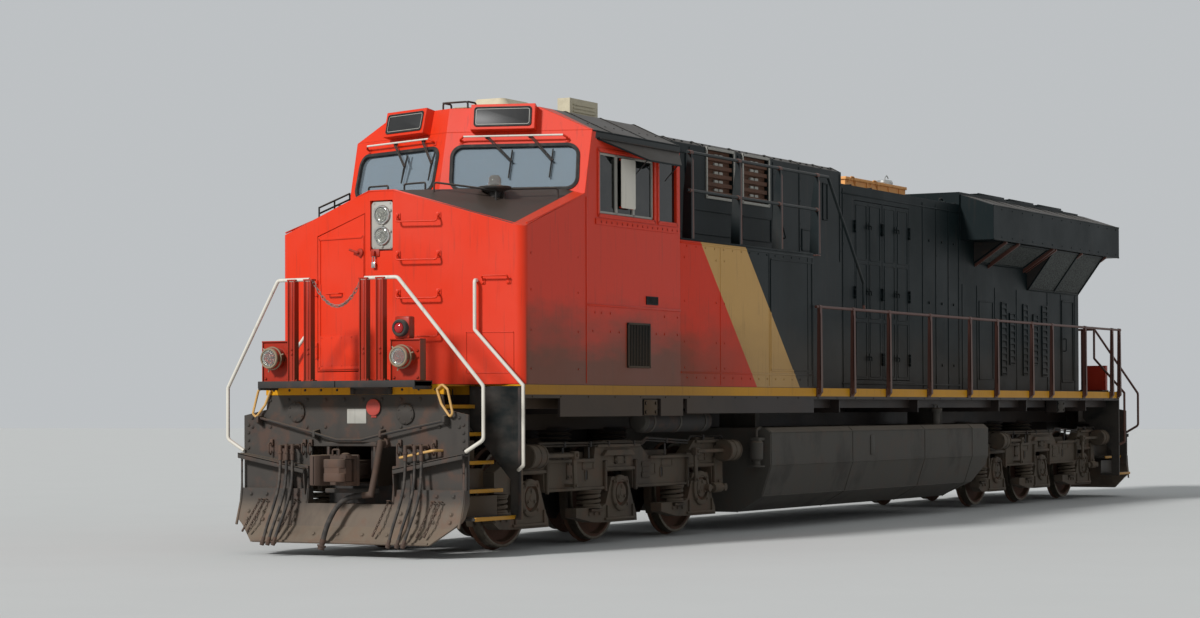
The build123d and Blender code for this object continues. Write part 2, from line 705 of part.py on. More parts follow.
# Engine hood: shell with two door pairs on the left
hood_side = Plane(origin=(0, HOOD_HALF, DOOR_Z[0]), x_dir=(-1, 0, 0), z_dir=(0, 1, 0))
HOOD_HINGES = (250.0, 1150.0, 2050.0)
with BuildPart() as engine_hood:
    block((ENGINE_HOOD_END_X, UPPER_HOOD_END_X), (-HOOD_HALF, HOOD_HALF), (DECK_Z, ENGINE_HOOD_Z))
    block(
        (ENGINE_HOOD_END_X + HOOD_WALL, UPPER_HOOD_END_X - HOOD_WALL),
        (-HOOD_HALF + HOOD_WALL, HOOD_HALF - HOOD_WALL),
        (DECK_Z + HOOD_WALL, ENGINE_HOOD_Z - HOOD_WALL),
        mode=Mode.SUBTRACT,
    )
    for front, rear in zip(DOOR_POSTS_X, DOOR_POSTS_X[1:]):
        block(
            (rear + DOOR_POST_W / 2, front - DOOR_POST_W / 2),
            (HOOD_HALF - HOOD_WALL - 1.0, HOOD_HALF + 1.0),
            DOOR_Z,
            mode=Mode.SUBTRACT,
        )
        inset = DOOR_POST_W / 2 + DOOR_GAP
        hinge(hood_side, -(front - inset), -POST_STRAP_W, -HINGE_GAP, post_spans(HOOD_HINGES))
        hinge(hood_side, -(rear + inset), HINGE_GAP, POST_STRAP_W, post_spans(HOOD_HINGES))
engine_hood.part.label = "engine_hood"
export_step(engine_hood.part, "parts/engine_hood.step")

# Hood doors, two leaves in each opening
number = 0
for front, rear in zip(DOOR_POSTS_X, DOOR_POSTS_X[1:]):
    opening = (rear + DOOR_POST_W / 2 + DOOR_GAP, front - DOOR_POST_W / 2 - DOOR_GAP)
    meet = (opening[0] + opening[1]) / 2
    leaves = (
        ((meet + DOOR_GAP / 2, opening[1]), -opening[1], LEAF_W),
        ((opening[0], meet - DOOR_GAP / 2), -opening[0], -LEAF_W),
    )
    for leaf, edge, strap in leaves:
        number += 1
        with BuildPart() as hood_door:
            block(
                leaf,
                (HOOD_HALF - DOOR_T, HOOD_HALF),
                (DOOR_Z[0] + DOOR_GAP, DOOR_Z[1] - DOOR_GAP),
            )
            hinge(hood_side, edge, 0.0, strap, leaf_spans(HOOD_HINGES))
        hood_door.part.label = f"hood_door_{number}"
        export_step(hood_door.part, f"parts/hood_door_{number}.step")

# Engine: one plain block on the platform, seen through open hood doors
with BuildPart() as engine_block:
    along_x(
        [
            (-560.0, DECK_Z + HOOD_WALL),
            (560.0, DECK_Z + HOOD_WALL),
            (560.0, DECK_Z + 900.0),
            (760.0, DECK_Z + 1700.0),
            (420.0, DECK_Z + 2250.0),
            (-420.0, DECK_Z + 2250.0),
            (-760.0, DECK_Z + 1700.0),
            (-560.0, DECK_Z + 900.0),
        ],
        (ENGINE_HOOD_END_X + 300.0, UPPER_HOOD_END_X - 350.0),
    )
engine_block.part.label = "engine_block"
export_step(engine_block.part, "parts/engine_block.step")

# Radiator hood with the flared wings and the raised grilles on its roof
GRILLES_X = ((-6400.0, -5250.0), (-7750.0, -6600.0), (-9100.0, -7950.0))
GRILLE_HALF = 820.0
GRILLE_RISE = 50.0
with BuildPart() as radiator_hood:
    block((RADIATOR_END_X, ENGINE_HOOD_END_X), (-HOOD_HALF, HOOD_HALF), (DECK_Z, RADIATOR_TOP_Z))
    wing = [
        (HOOD_HALF - 100.0, RADIATOR_TOP_Z),
        (HALF_WIDTH, WING_TOP_Z),
        (HALF_WIDTH, WING_BOTTOM_Z),
    ]
    along_x(wing + [(-y, z) for y, z in reversed(wing)], WING)
    for x in GRILLES_X:
        block(x, (-GRILLE_HALF, GRILLE_HALF), (RADIATOR_TOP_Z, RADIATOR_TOP_Z + GRILLE_RISE))
radiator_hood.part.label = "radiator_hood"
export_step(radiator_hood.part, "parts/radiator_hood.step")

# Sloping intake screens under the wings
SCREENS = [  # x span, height of the lower edge
    ((-6600.0, -4500.0), RAIL_Z + 3670.0),
    ((-9250.0, -6830.0), RAIL_Z + 3345.0),
]
SCREEN_EDGE_Y = 1450.0
with BuildPart() as radiator_screens:
    for x, low in SCREENS:
        wedge = [
            (HOOD_HALF, low),
            (HOOD_HALF, WING_BOTTOM_Z),
            (SCREEN_EDGE_Y, WING_BOTTOM_Z),
        ]
        along_x(wedge, x)
    mirror(about=Plane.XZ)
radiator_screens.part.label = "radiator_screens"
export_step(radiator_screens.part, "parts/radiator_screens.step")

# Louvred vents low on both sides of the radiator hood
VENTS = [  # x span, z span
    ((-5874.0, -5645.0), (RAIL_Z + 1970.0, RAIL_Z + 3110.0)),
    ((-6247.0, -6014.0), (RAIL_Z + 2140.0, RAIL_Z + 2950.0)),
    ((-6828.0, -6618.0), (RAIL_Z + 1980.0, RAIL_Z + 3110.0)),
    ((-7300.0, -7080.0), (RAIL_Z + 2150.0, RAIL_Z + 2960.0)),
    ((-7740.0, -7500.0), (RAIL_Z + 1970.0, RAIL_Z + 3110.0)),
]
VENT_FRAME = 18.0
VENT_REACH = 16.0
VENT_PITCH = 95.0
with BuildPart() as hood_vents:
    for x, z in VENTS:
        face = (HOOD_HALF, HOOD_HALF + VENT_REACH)
        block(x, face, z)
        inner = (x[0] + VENT_FRAME, x[1] - VENT_FRAME)
        block(
            inner,
            (HOOD_HALF + VENT_REACH / 4, HOOD_HALF + VENT_REACH + 1.0),
            (z[0] + VENT_FRAME, z[1] - VENT_FRAME),
            mode=Mode.SUBTRACT,
        )
        count = int((z[1] - z[0] - 2 * VENT_FRAME) / VENT_PITCH)
        pitch = (z[1] - z[0] - 2 * VENT_FRAME) / count
        for row in range(count):
            low = z[0] + VENT_FRAME + row * pitch
            slat = [
                (HOOD_HALF + VENT_REACH / 4 - 1.0, low + 0.9 * pitch),
                (HOOD_HALF + VENT_REACH, low + 0.25 * pitch),
                (HOOD_HALF + VENT_REACH, low + 0.1 * pitch),
                (HOOD_HALF + VENT_REACH / 4 - 1.0, low + 0.75 * pitch),
            ]
            along_x(slat, inner)
    mirror(about=Plane.XZ)
hood_vents.part.label = "hood_vents"
export_step(hood_vents.part, "parts/hood_vents.step")

# Exhaust casing on the engine hood
EXHAUST = (-3150.0, -950.0)
with BuildPart() as exhaust_stack:
    block(EXHAUST, (-450.0, 450.0), (ENGINE_HOOD_Z, ENGINE_HOOD_Z + 220.0))
exhaust_stack.part.label = "exhaust_stack"
export_step(exhaust_stack.part, "parts/exhaust_stack.step")

# Roof units on the cab: a narrow casing and an antenna dome
UNIT_X = (6520.0, 7175.0)
UNIT_Y = (450.0, 610.0)
UNIT_H = 245.0
DOME_X = 7650.0
DOME_SIZE = (860.0, 640.0)
DOME_CORNER_R = 200.0
DOME_H = 190.0
DOME_TAPER = 35
with BuildPart() as roof_units:
    block(UNIT_X, UNIT_Y, (ROOF_Z, ROOF_Z + UNIT_H))
    with BuildSketch(Plane.XY.offset(ROOF_Z)):
        with Locations((DOME_X, 0.0)):
            RectangleRounded(*DOME_SIZE, DOME_CORNER_R)
    extrude(amount=DOME_H, taper=DOME_TAPER)
roof_units.part.label = "roof_units"
export_step(roof_units.part, "parts/roof_units.step")

# Number boxes on the gable above the windshields
NUMBER_BOX_Y = (320.0, 990.0)
NUMBER_BOX_Z = (RAIL_Z + 4505.0, RAIL_Z + 4790.0)
NUMBER_BOX_REACH = 110.0
with BuildPart() as number_boxes:
    for side in (1.0, -1.0):
        plane = screen_plane(side)
        stretch = hypot(1.0, RIDGE_SLOPE)
        low = (NUMBER_BOX_Z[0] - NOSE_TOP_Z) * side
        high = (NUMBER_BOX_Z[1] - NOSE_TOP_Z) * side
        near = NUMBER_BOX_Y[0] * stretch
        far = NUMBER_BOX_Y[1] * stretch
        prism(plane, [(near, low), (far, low), (far, high), (near, high)], NUMBER_BOX_REACH)
number_boxes.part.label = "number_boxes"
export_step(number_boxes.part, "parts/number_boxes.step")

# Lamps: headlights in the nose, ditch lamps on the ledges, marker lamp, rear headlights
HEADLIGHTS_Z = (RAIL_Z + 3520.0, RAIL_Z + 3300.0)
HEADLIGHT_R = 95.0
DITCH_Y = 795.0
DITCH_BOX = (140.0, 230.0)  # from the porch end
DITCH_Z = RAIL_Z + 2010.0
DITCH_R = 110.0
DITCH_CASE = 130.0
with BuildPart() as lamp_cases:
    block(
        (NOSE_TIP_X - HEADLIGHT_DEPTH, NOSE_TIP_X - HEADLIGHT_DEPTH + 15.0),
        (-HEADLIGHT_HALF + 10.0, HEADLIGHT_HALF - 10.0),
        (HEADLIGHT_Z[0] + 10.0, HEADLIGHT_Z[1] - 10.0),
    )
    for turn in (1.0, -1.0):
        for y in (-DITCH_Y, DITCH_Y):
            foot = sorted(turn * (PORCH_END_X + reach) for reach in DITCH_BOX)
            block(foot, (y - 170.0, y + 170.0), (LEDGE_Z[1], DITCH_Z + 170.0))
            face = turn * (PORCH_END_X + DITCH_BOX[1])
            bar((face, y, DITCH_Z), (face + turn * DITCH_CASE, y, DITCH_Z), DITCH_R)
lamp_cases.part.label = "lamp_cases"
export_step(lamp_cases.part, "parts/lamp_cases.step")

with BuildPart() as lamp_lenses:
    face = NOSE_TIP_X - HEADLIGHT_DEPTH + 15.0
    for z in HEADLIGHTS_Z:
        bar((face, 0, z), (face + 25.0, 0, z), HEADLIGHT_R)
    for turn in (1.0, -1.0):
        for y in (-DITCH_Y, DITCH_Y):
            face = turn * (PORCH_END_X + DITCH_BOX[1] + DITCH_CASE)
            bar((face, y, DITCH_Z), (face + turn * 12.0, y, DITCH_Z), DITCH_R - 20.0)
lamp_lenses.part.label = "lamp_lenses"
export_step(lamp_lenses.part, "parts/lamp_lenses.step")

# Pilots: end sheet, plow blade bent forward at its foot, cut for the coupler
PILOT_T = 25.0
SHOULDER_Z = RAIL_Z + 1420.0
WAIST_Z = RAIL_Z + 1480.0
BLADE_INNER_Z = RAIL_Z + 895.0
BLADE_OUTER_Z = RAIL_Z + 1030.0
BLADE_KNEE_Z = RAIL_Z + 520.0
BLADE_TOE_Z = RAIL_Z + 280.0
BLADE_T = 45.0
BLADE_FOOT_HALF = PLOW_HALF - 295.0
for end, turn in (("front", 1.0), ("rear", -1.0)):
    with BuildPart() as pilot:
        back_x = PORCH_END_X - PLATE_T
        sheet = [
            (-PLOW_HALF, BLADE_KNEE_Z),
            (PLOW_HALF, BLADE_KNEE_Z),
            (PLOW_HALF, SHOULDER_Z),
            (END_PLATE_HALF, WAIST_Z),
            (END_PLATE_HALF - 20.0, STRIPE_BOTTOM_Z),
            (-END_PLATE_HALF + 20.0, STRIPE_BOTTOM_Z),
            (-END_PLATE_HALF, WAIST_Z),
            (-PLOW_HALF, SHOULDER_Z),
        ]
        along_x(sheet, (back_x, back_x + PILOT_T))
        flange_x = (back_x + PILOT_T - 1.0, PLOW_FACE_X + BLADE_T)
        for side in (1.0, -1.0):
            flange = [
                (side * OPENING_HALF, BLADE_INNER_Z),
                (side * PLOW_HALF, BLADE_OUTER_Z),
                (side * PLOW_HALF, BLADE_OUTER_Z - PILOT_T),
                (side * OPENING_HALF, BLADE_INNER_Z - PILOT_T),
            ]
            along_x(flange, flange_x)
        blade = [
            (back_x + PILOT_T, BLADE_KNEE_Z + 140.0),
            (PLOW_FACE_X + 30.0, BLADE_KNEE_Z + 140.0),
            (PLOW_FACE_X + 50.0, BLADE_KNEE_Z),
            (PLOW_FACE_X + 130.0, BLADE_TOE_Z),
            (PLOW_LIP_X, PLOW_BOTTOM_Z),
            (PLOW_LIP_X - BLADE_T, PLOW_BOTTOM_Z),
            (PLOW_FACE_X + 130.0 - BLADE_T, BLADE_TOE_Z),
            (back_x, BLADE_KNEE_Z),
        ]
        along_y(blade, (-PLOW_HALF, PLOW_HALF))
        for side in (1.0, -1.0):
            corner = [
                (side * BLADE_FOOT_HALF, PLOW_BOTTOM_Z - 1.0),
                (side * (PLOW_HALF + 1.0), PLOW_BOTTOM_Z - 1.0),
                (side * (PLOW_HALF + 1.0), BLADE_TOE_Z + 100.0),
                (side * (PLOW_HALF - 25.0), BLADE_TOE_Z + 50.0),
            ]
            along_x(corner, (back_x - 1.0, PLOW_LIP_X + 1.0), mode=Mode.SUBTRACT)
        block(
            (back_x - 1.0, PLOW_LIP_X + 1.0),
            (-OPENING_HALF, OPENING_HALF),
            OPENING_Z,
            mode=Mode.SUBTRACT,
        )
        if turn < 0:
            mirror(about=Plane.YZ, mode=Mode.REPLACE)
    pilot.part.label = f"pilot_{end}"
    export_step(pilot.part, f"parts/pilot_{end}.step")

# Corner steps: a back wall and five treads that step outwards going down
TREADS = [  # height above the rail, outer edge inside the side line
    (1520.0, 564.0),
    (1235.0, 459.0),
    (943.0, 349.0),
    (656.0, 239.0),
    (380.0, 74.0),
]
TREAD_DEPTH = 250.0
TREAD_T = 30.0
RISER_T = 12.0
STEP_WALL_T = 30.0
STEP_FRONT_X = PORCH_END_X - PLATE_T
STEP_WALL = [  # y inside the side line, height above the rail
    (0.0, 340.0),
    (129.0, 340.0),
    (129.0, 750.0),
    (444.0, 1100.0),
    (HALF_WIDTH - PORCH_HALF, 1300.0),
]
CAB_STEPS = 3
CAB_STEP_DEPTH = 230.0
CAB_STEP_Y = (-HALF_WIDTH + 60.0, -HOOD_HALF - 20.0)
with BuildPart() as steps:
    wall = [(PORCH_HALF, DECK_Z - DECK_T), (HALF_WIDTH, DECK_Z - DECK_T)]
    wall += [(HALF_WIDTH - inside, RAIL_Z + height) for inside, height in STEP_WALL]
    along_x(wall, (SILL_END_X, SILL_END_X + STEP_WALL_T))
    for height, inside in TREADS:
        edge = HALF_WIDTH - inside
        top = RAIL_Z + height
        block((SILL_END_X, STEP_FRONT_X), (edge - TREAD_DEPTH, edge), (top - TREAD_T, top))
        riser = (edge - TREAD_DEPTH, edge - TREAD_DEPTH + RISER_T)
        if inside < TREADS[0][1]:
            block((SILL_END_X, STEP_FRONT_X), riser, (top - TREAD_T, top + 7 * TREAD_T))
    mirror(about=Plane.XZ)
    mirror(about=Plane.YZ)
    rise = (CAB_FLOOR_Z - DECK_Z - DOOR_GAP) / CAB_STEPS
    for row in range(CAB_STEPS):
        top = DECK_Z + (row + 1) * rise
        out = CAB_REAR_X - (CAB_STEPS - row) * CAB_STEP_DEPTH
        nosing = min(out + CAB_STEP_DEPTH + TREAD_T, CAB_REAR_X)
        block((out, nosing), CAB_STEP_Y, (top - TREAD_T, top))
        for y in CAB_STEP_Y:
            inner = y if y == CAB_STEP_Y[0] else y - RISER_T
            block((out, CAB_REAR_X), (inner, inner + RISER_T), (DECK_Z, top))
steps.part.label = "steps"
export_step(steps.part, "parts/steps.step")

# End handrails: four posts, top rails, bent stair rails
END_POSTS_Y = (-543.0, -341.0, 341.0, 543.0)
END_POST = (30.0, 45.0)  # half depth, half width
END_RAIL_X = PORCH_END_X + 290.0
STAIR_RAIL_X = PORCH_END_X + 20.0
END_RAIL_Z = RAIL_Z + 2815.0
RAIL_R = 19.0
STAIR_RAIL_REACH = 66.0
NOSE_RAIL_SHARE = 0.362
NOSE_RAIL_REACH = 75.0
with BuildPart() as end_handrails:
    for y in END_POSTS_Y:
        depth = (END_RAIL_X - END_POST[0], END_RAIL_X + END_POST[0])
        block(depth, (y - END_POST[1], y + END_POST[1]), (LEDGE_Z[1], END_RAIL_Z))
    for side, inner in ((1.0, END_POSTS_Y[2]), (-1.0, END_POSTS_Y[1])):
        bent_bar(
            [
                (END_RAIL_X, inner, END_RAIL_Z),
                (END_RAIL_X, side * 735.0, END_RAIL_Z),
                (STAIR_RAIL_X, side * (HALF_WIDTH + STAIR_RAIL_REACH - 10.0), RAIL_Z + 1710.0),
                (STAIR_RAIL_X, side * (HALF_WIDTH + STAIR_RAIL_REACH - 10.0), RAIL_Z + 1170.0),
                (STAIR_RAIL_X, side * (HALF_WIDTH - 154.0), RAIL_Z + 1050.0),
            ],
            RAIL_R,
            60.0,
        )
        along_face = Vector(face_run.X, -side * face_run.Y, 0)
        foot = Vector(NOSE_CORNER_X, side * HALF_WIDTH, 0) + along_face * NOSE_RAIL_SHARE
        out = foot + Vector(face_run.Y, side * face_run.X, 0).normalized() * NOSE_RAIL_REACH
        bent_bar(
            [
                (foot.X, foot.Y, END_RAIL_Z),
                (out.X, out.Y, END_RAIL_Z),
                (out.X, out.Y, RAIL_Z + 2300.0),
                (SILL_END_X + 100.0, side * (HALF_WIDTH + STAIR_RAIL_REACH), RAIL_Z + 1720.0),
                (SILL_END_X + 100.0, side * (HALF_WIDTH + STAIR_RAIL_REACH), RAIL_Z + 900.0),
                (SILL_END_X + STEP_WALL_T + RAIL_R, side * (HALF_WIDTH - 24.0), RAIL_Z + 850.0),
            ],
            RAIL_R,
            30.0,
        )
    mirror(about=Plane.YZ)
end_handrails.part.label = "end_handrails"
export_step(end_handrails.part, "parts/end_handrails.step")

# Side handrails: tapered posts on the sill's face and a top rail
LEFT_POSTS_X = (
    *(2400.0, 1338.0, 128.0, -1342.0, -2881.0, -3983.0),
    *(-5497.0, -6408.0, -7991.0, -9366.0, -9750.0),
)
RIGHT_POSTS_X = (5200.0, 4300.0, 3400.0) + LEFT_POSTS_X
SIDE_RAIL_Z = RAIL_Z + 2765.0
SIDE_RAIL_Y = HALF_WIDTH + 30.0
UPPER_POSTS_X = (5900.0, 4620.0, 3460.0, 2330.0)
UPPER_RAIL_Y = HALF_WIDTH - 30.0
UPPER_MID_Z = RAIL_Z + 4008.0
UPPER_RAIL_Z = RAIL_Z + 4450.0


def side_post(x, side):
    """Add one tapered post on the sill's outer face."""
    outline = [
        (side * HALF_WIDTH, SILL_BOTTOM_Z + 30.0),
        (side * (HALF_WIDTH + 60.0), SILL_BOTTOM_Z + 90.0),
        (side * (HALF_WIDTH + 50.0), SIDE_RAIL_Z),
        (side * (HALF_WIDTH + 10.0), SIDE_RAIL_Z),
        (side * HALF_WIDTH, DECK_Z + 200.0),
    ]
    along_x(outline, (x - 30.0, x + 30.0))


with BuildPart() as side_handrails:
    left_rail = (1.0, LEFT_POSTS_X, CABINET[0] - 10.0)
    right_rail = (-1.0, RIGHT_POSTS_X, RIGHT_POSTS_X[0] + 60.0)
    for side, posts, start in (left_rail, right_rail):
        for x in posts:
            side_post(x, side)
        y = side * SIDE_RAIL_Y
        bar((posts[-1] - 60.0, y, SIDE_RAIL_Z), (start, y, SIDE_RAIL_Z), RAIL_R)
    for x in UPPER_POSTS_X:
        outline = [
            (HALF_WIDTH - 10.0, CABINET_TOP_Z),
            (HALF_WIDTH - 10.0, UPPER_RAIL_Z),
            (HALF_WIDTH - 55.0, UPPER_RAIL_Z),
            (HALF_WIDTH - 115.0, UPPER_MID_Z),
            (HALF_WIDTH - 135.0, CABINET_TOP_Z),
        ]
        along_x(outline, (x - 15.0, x + 15.0))
    mid_y = (UPPER_POSTS_X[-1] - 40.0, UPPER_RAIL_Y, UPPER_MID_Z)
    bar(mid_y, (UPPER_POSTS_X[0] + 90.0, UPPER_RAIL_Y, UPPER_MID_Z), RAIL_R)
    mitred_bar(
        [
            (UPPER_POSTS_X[0] + 90.0, UPPER_RAIL_Y, UPPER_RAIL_Z),
            (1993.0, UPPER_RAIL_Y, UPPER_RAIL_Z),
            (990.0, HALF_WIDTH + 30.0, RAIL_Z + 3120.0),
            (980.0, HALF_WIDTH + 30.0, SIDE_RAIL_Z),
        ],
        RAIL_R,
    )
side_handrails.part.label = "side_handrails"
export_step(side_handrails.part, "parts/side_handrails.step")

# Air reservoirs under the platform
with BuildPart() as air_reservoirs:
    for y in (-HALF_WIDTH + 344.0, HALF_WIDTH - 344.0):
        bar((5000.0, y, PLATFORM_Z - 145.0), (6600.0, y, PLATFORM_Z - 145.0), 130.0)
        for x in (5300.0, 6300.0):
            block((x - 30.0, x + 30.0), (y - 70.0, y + 70.0), (PLATFORM_Z - 60.0, PLATFORM_Z))
air_reservoirs.part.label = "air_reservoirs"
export_step(air_reservoirs.part, "parts/air_reservoirs.step")

# Horn on the right of the upper hood's roof
with BuildPart() as horn:
    block((560.0, 700.0), (-900.0, -700.0), (UPPER_HOOD_Z, UPPER_HOOD_Z + 40.0))
    for y, length in ((-730.0, 420.0), (-800.0, 330.0), (-870.0, 260.0)):
        z = UPPER_HOOD_Z + 75.0
        with BuildSketch(Plane(origin=(560.0, y, z), z_dir=(1, 0, 0))):
            Circle(16.0)
        with BuildSketch(Plane(origin=(560.0 + length, y, z), z_dir=(1, 0, 0))):
            Circle(42.0)
        loft()
        block((570.0, 600.0), (y - 10.0, y + 10.0), (UPPER_HOOD_Z + 30.0, z))
horn.part.label = "horn"
export_step(horn.part, "parts/horn.step")

# Trucks
TRUCKS = (("front", TRUCK_X), ("rear", -TRUCK_X))
AXLES_DX = (AXLE_STEP, 0.0, -AXLE_STEP)
MOTOR_DX = (AXLE_STEP - 500.0, 500.0, -AXLE_STEP + 500.0)
MOTOR_HALF = 300.0
MOTOR_Y = 500.0
TRANSOMS_DX = ((620.0, 1400.0), (-1400.0, -620.0))
TRANSOM_Z = (RAIL_Z + 860.0, RAIL_Z + 1000.0)
FRAME_OUTLINE = [  # from the truck's centre, height above the rail
    (FRAME_FRONT_DX, 600.0),
    (FRAME_FRONT_DX, 820.0),
    (2480.0, 930.0),
    (600.0, 930.0),
    (560.0, 1085.0),
    (-470.0, 1085.0),
    (-690.0, 935.0),
    (-1650.0, 950.0),
    (-1860.0, 1105.0),
    (-2540.0, 1105.0),
    (FRAME_REAR_DX, 880.0),
    (FRAME_REAR_DX, 560.0),
    (-2400.0, 550.0),
    (-2390.0, 580.0),
    (2480.0, 580.0),
]
ARM_REACH = 1000.0
LEAD_ARM_REACH = 740.0
for end, centre in TRUCKS:
    with BuildPart() as truck_frame:
        along_y([(centre + dx, RAIL_Z + z) for dx, z in FRAME_OUTLINE], FRAME_Y)
        for dx in AXLES_DX:
            x = centre + dx
            along_y(
                [
                    (x + PEDESTAL_DX[0], FRAME_LOW_Z - 40.0),
                    (x + PEDESTAL_DX[1], FRAME_LOW_Z - 40.0),
                    (x + PEDESTAL_DX[1] - 15.0, PEDESTAL_TOP_Z),
                    (x + PEDESTAL_DX[0] + 15.0, PEDESTAL_TOP_Z),
                ],
                (FRAME_Y[0] - 1.0, FRAME_Y[1] + 1.0),
                mode=Mode.SUBTRACT,
            )
        mirror(about=Plane.XZ)
        for span in TRANSOMS_DX:
            block(
                (centre + span[0], centre + span[1]),
                (-FRAME_Y[0] - 10.0, FRAME_Y[0] + 10.0),
                TRANSOM_Z,
            )
        block(
            (centre - 1400.0, centre + 1400.0),
            (-400.0, 400.0),
            (TRANSOM_Z[1] - 40.0, CENTRE_PLATE_Z - 60.0),
        )
        with Locations((centre, 0, CENTRE_PLATE_Z - 40.0)):
            Cylinder(CENTRE_PLATE_R + 40.0, 2 * (40.0 - RUNNING_GAP))
    truck_frame.part.label = f"truck_frame_{end}"
    export_step(truck_frame.part, f"parts/truck_frame_{end}.step")

    with BuildPart() as journal_boxes:
        for dx in AXLES_DX:
            x = centre + dx
            reach = LEAD_ARM_REACH if dx == AXLES_DX[0] else ARM_REACH
            outline = [
                (x - 190.0, RAIL_Z + 715.0),
                (x + 190.0, RAIL_Z + 715.0),
                (x + 330.0, RAIL_Z + 420.0),
                (x + 430.0, ARM_TOP_Z),
                (x + reach, ARM_TOP_Z),
                (x + reach, RAIL_Z + 285.0),
                (x + 620.0, BOX_BOTTOM_Z + 10.0),
                (x + 300.0, BOX_BOTTOM_Z),
                (x - 410.0, BOX_BOTTOM_Z),
                (x - 400.0, RAIL_Z + 300.0),
                (x - 330.0, RAIL_Z + 400.0),
            ]
            along_y(outline, FRAME_Y)
            bore = BEARING_R + RUNNING_GAP
            near = (x, FRAME_Y[0] - 1.0, AXLE_Z)
            bar(near, (x, FRAME_Y[1] + 1.0, AXLE_Z), bore, mode=Mode.SUBTRACT)
        mirror(about=Plane.XZ)
    journal_boxes.part.label = f"journal_boxes_{end}"
    export_step(journal_boxes.part, f"parts/journal_boxes_{end}.step")

    with BuildPart() as springs:
        middle_y = (FRAME_Y[0] + FRAME_Y[1]) / 2
        coils = 3
        pitch = (FRAME_LOW_Z - ARM_TOP_Z) / coils
        for dx in AXLES_DX:
            x = centre + dx + SPRING_DX
            profile = [(0.0, ARM_TOP_Z)]
            for turn in range(coils):
                z = ARM_TOP_Z + turn * pitch
                profile.append((SPRING_R - 30.0, z))
                profile.append((SPRING_R, z + pitch / 2))
            profile.append((SPRING_R - 30.0, FRAME_LOW_Z))
            profile.append((0.0, FRAME_LOW_Z))
            with BuildSketch(Plane(origin=(x, middle_y, 0), x_dir=(1, 0, 0), z_dir=(0, -1, 0))):
                with BuildLine():
                    Polyline(*profile, close=True)
                make_face()
            revolve(axis=Axis((x, middle_y, 0), (0, 0, 1)))
        mirror(about=Plane.XZ)
    springs.part.label = f"springs_{end}"
    export_step(springs.part, f"parts/springs_{end}.step")

    with BuildPart() as motors:
        for dx in MOTOR_DX:
            x = centre + dx
            middle_z = RAIL_Z + 545.0
            cut = 110.0
            along_y(
                [
                    (x - MOTOR_HALF, middle_z - MOTOR_HALF + cut),
                    (x - MOTOR_HALF + cut, middle_z - MOTOR_HALF),
                    (x + MOTOR_HALF - cut, middle_z - MOTOR_HALF),
                    (x + MOTOR_HALF, middle_z - MOTOR_HALF + cut),
                    (x + MOTOR_HALF, middle_z + MOTOR_HALF - cut),
                    (x + MOTOR_HALF - cut, middle_z + MOTOR_HALF),
                    (x - MOTOR_HALF + cut, middle_z + MOTOR_HALF),
                    (x - MOTOR_HALF, middle_z + MOTOR_HALF - cut),
                ],
                (-MOTOR_Y, MOTOR_Y),
            )
            lug = 720.0 if dx > 0 and dx < 1000.0 else (1300.0 if dx > 0 else -1300.0)
            block(
                (centre + lug - 50.0, centre + lug + 50.0),
                (-200.0, 200.0),
                (middle_z + MOTOR_HALF - cut, TRANSOM_Z[0]),
            )
    motors.part.label = f"traction_motors_{end}"
    export_step(motors.part, f"parts/traction_motors_{end}.step")

    with BuildPart() as brakes:
        CYLINDERS = [(2030.0, 2330.0, 1260.0), (-2660.0, -2370.0, -1650.0)]
        brake_y = 1275.0
        brake_z = RAIL_Z + 975.0
        for rear, front, rod_end in CYLINDERS:
            bar((centre + rear, brake_y, brake_z), (centre + front, brake_y, brake_z), 125.0)
            near = rear if rod_end < rear else front
            bar((centre + near, brake_y, brake_z), (centre + rod_end, brake_y, brake_z), 22.0)
            bracket = sorted((centre + rear + 60.0, centre + front - 60.0))
            block(bracket, (FRAME_Y[1], brake_y), (brake_z - 105.0, brake_z - 50.0))
        mirror(about=Plane.XZ)
    brakes.part.label = f"brake_cylinders_{end}"
    export_step(brakes.part, f"parts/brake_cylinders_{end}.step")

# Wheelsets: axle, two wheels and the bearings, turned from one profile
RIM_Y = (WHEEL_BACK_Y, WHEEL_BACK_Y + WHEEL_WIDTH)
FLANGE_R = WHEEL_R + FLANGE_DEPTH
WHEEL_PROFILE = [  # y, radius
    (0.0, 0.0),
    (0.0, AXLE_R),
    (RIM_Y[0] - 20.0, AXLE_R),
    (RIM_Y[0] - 20.0, 145.0),
    (RIM_Y[0] + 55.0, 160.0),
    (RIM_Y[0] + 40.0, 455.0),
    (RIM_Y[0], 470.0),
    (RIM_Y[0], FLANGE_R - 8.0),
    (RIM_Y[0] + 15.0, FLANGE_R),
    (RIM_Y[0] + 36.0, WHEEL_R),
    (RIM_Y[1], WHEEL_R - 4.0),
    (RIM_Y[1], 470.0),
    (RIM_Y[0] + 75.0, 455.0),
    (RIM_Y[0] + 90.0, 160.0),
    (RIM_Y[1] + 20.0, 145.0),
    (RIM_Y[1] + 20.0, 80.0),
    (FRAME_Y[0] - 20.0, 80.0),
    (FRAME_Y[0] - 20.0, BEARING_R),
    (BEARING_END_Y - 15.0, BEARING_R),
    (BEARING_END_Y, 110.0),
    (BEARING_END_Y, 0.0),
]
number = 0
for end, centre in TRUCKS:
    for dx in AXLES_DX:
        number += 1
        x = centre + dx
        with BuildPart() as wheelset:
            with BuildSketch(Plane(origin=(x, 0, AXLE_Z), x_dir=(0, 1, 0), z_dir=(1, 0, 0))):
                with BuildLine():
                    Polyline(*WHEEL_PROFILE, close=True)
                make_face()
            revolve(axis=Axis((x, 0, AXLE_Z), (0, 1, 0)))
            mirror(about=Plane.XZ)
        wheelset.part.label = f"wheelset_{number}"
        export_step(wheelset.part, f"parts/wheelset_{number}.step")

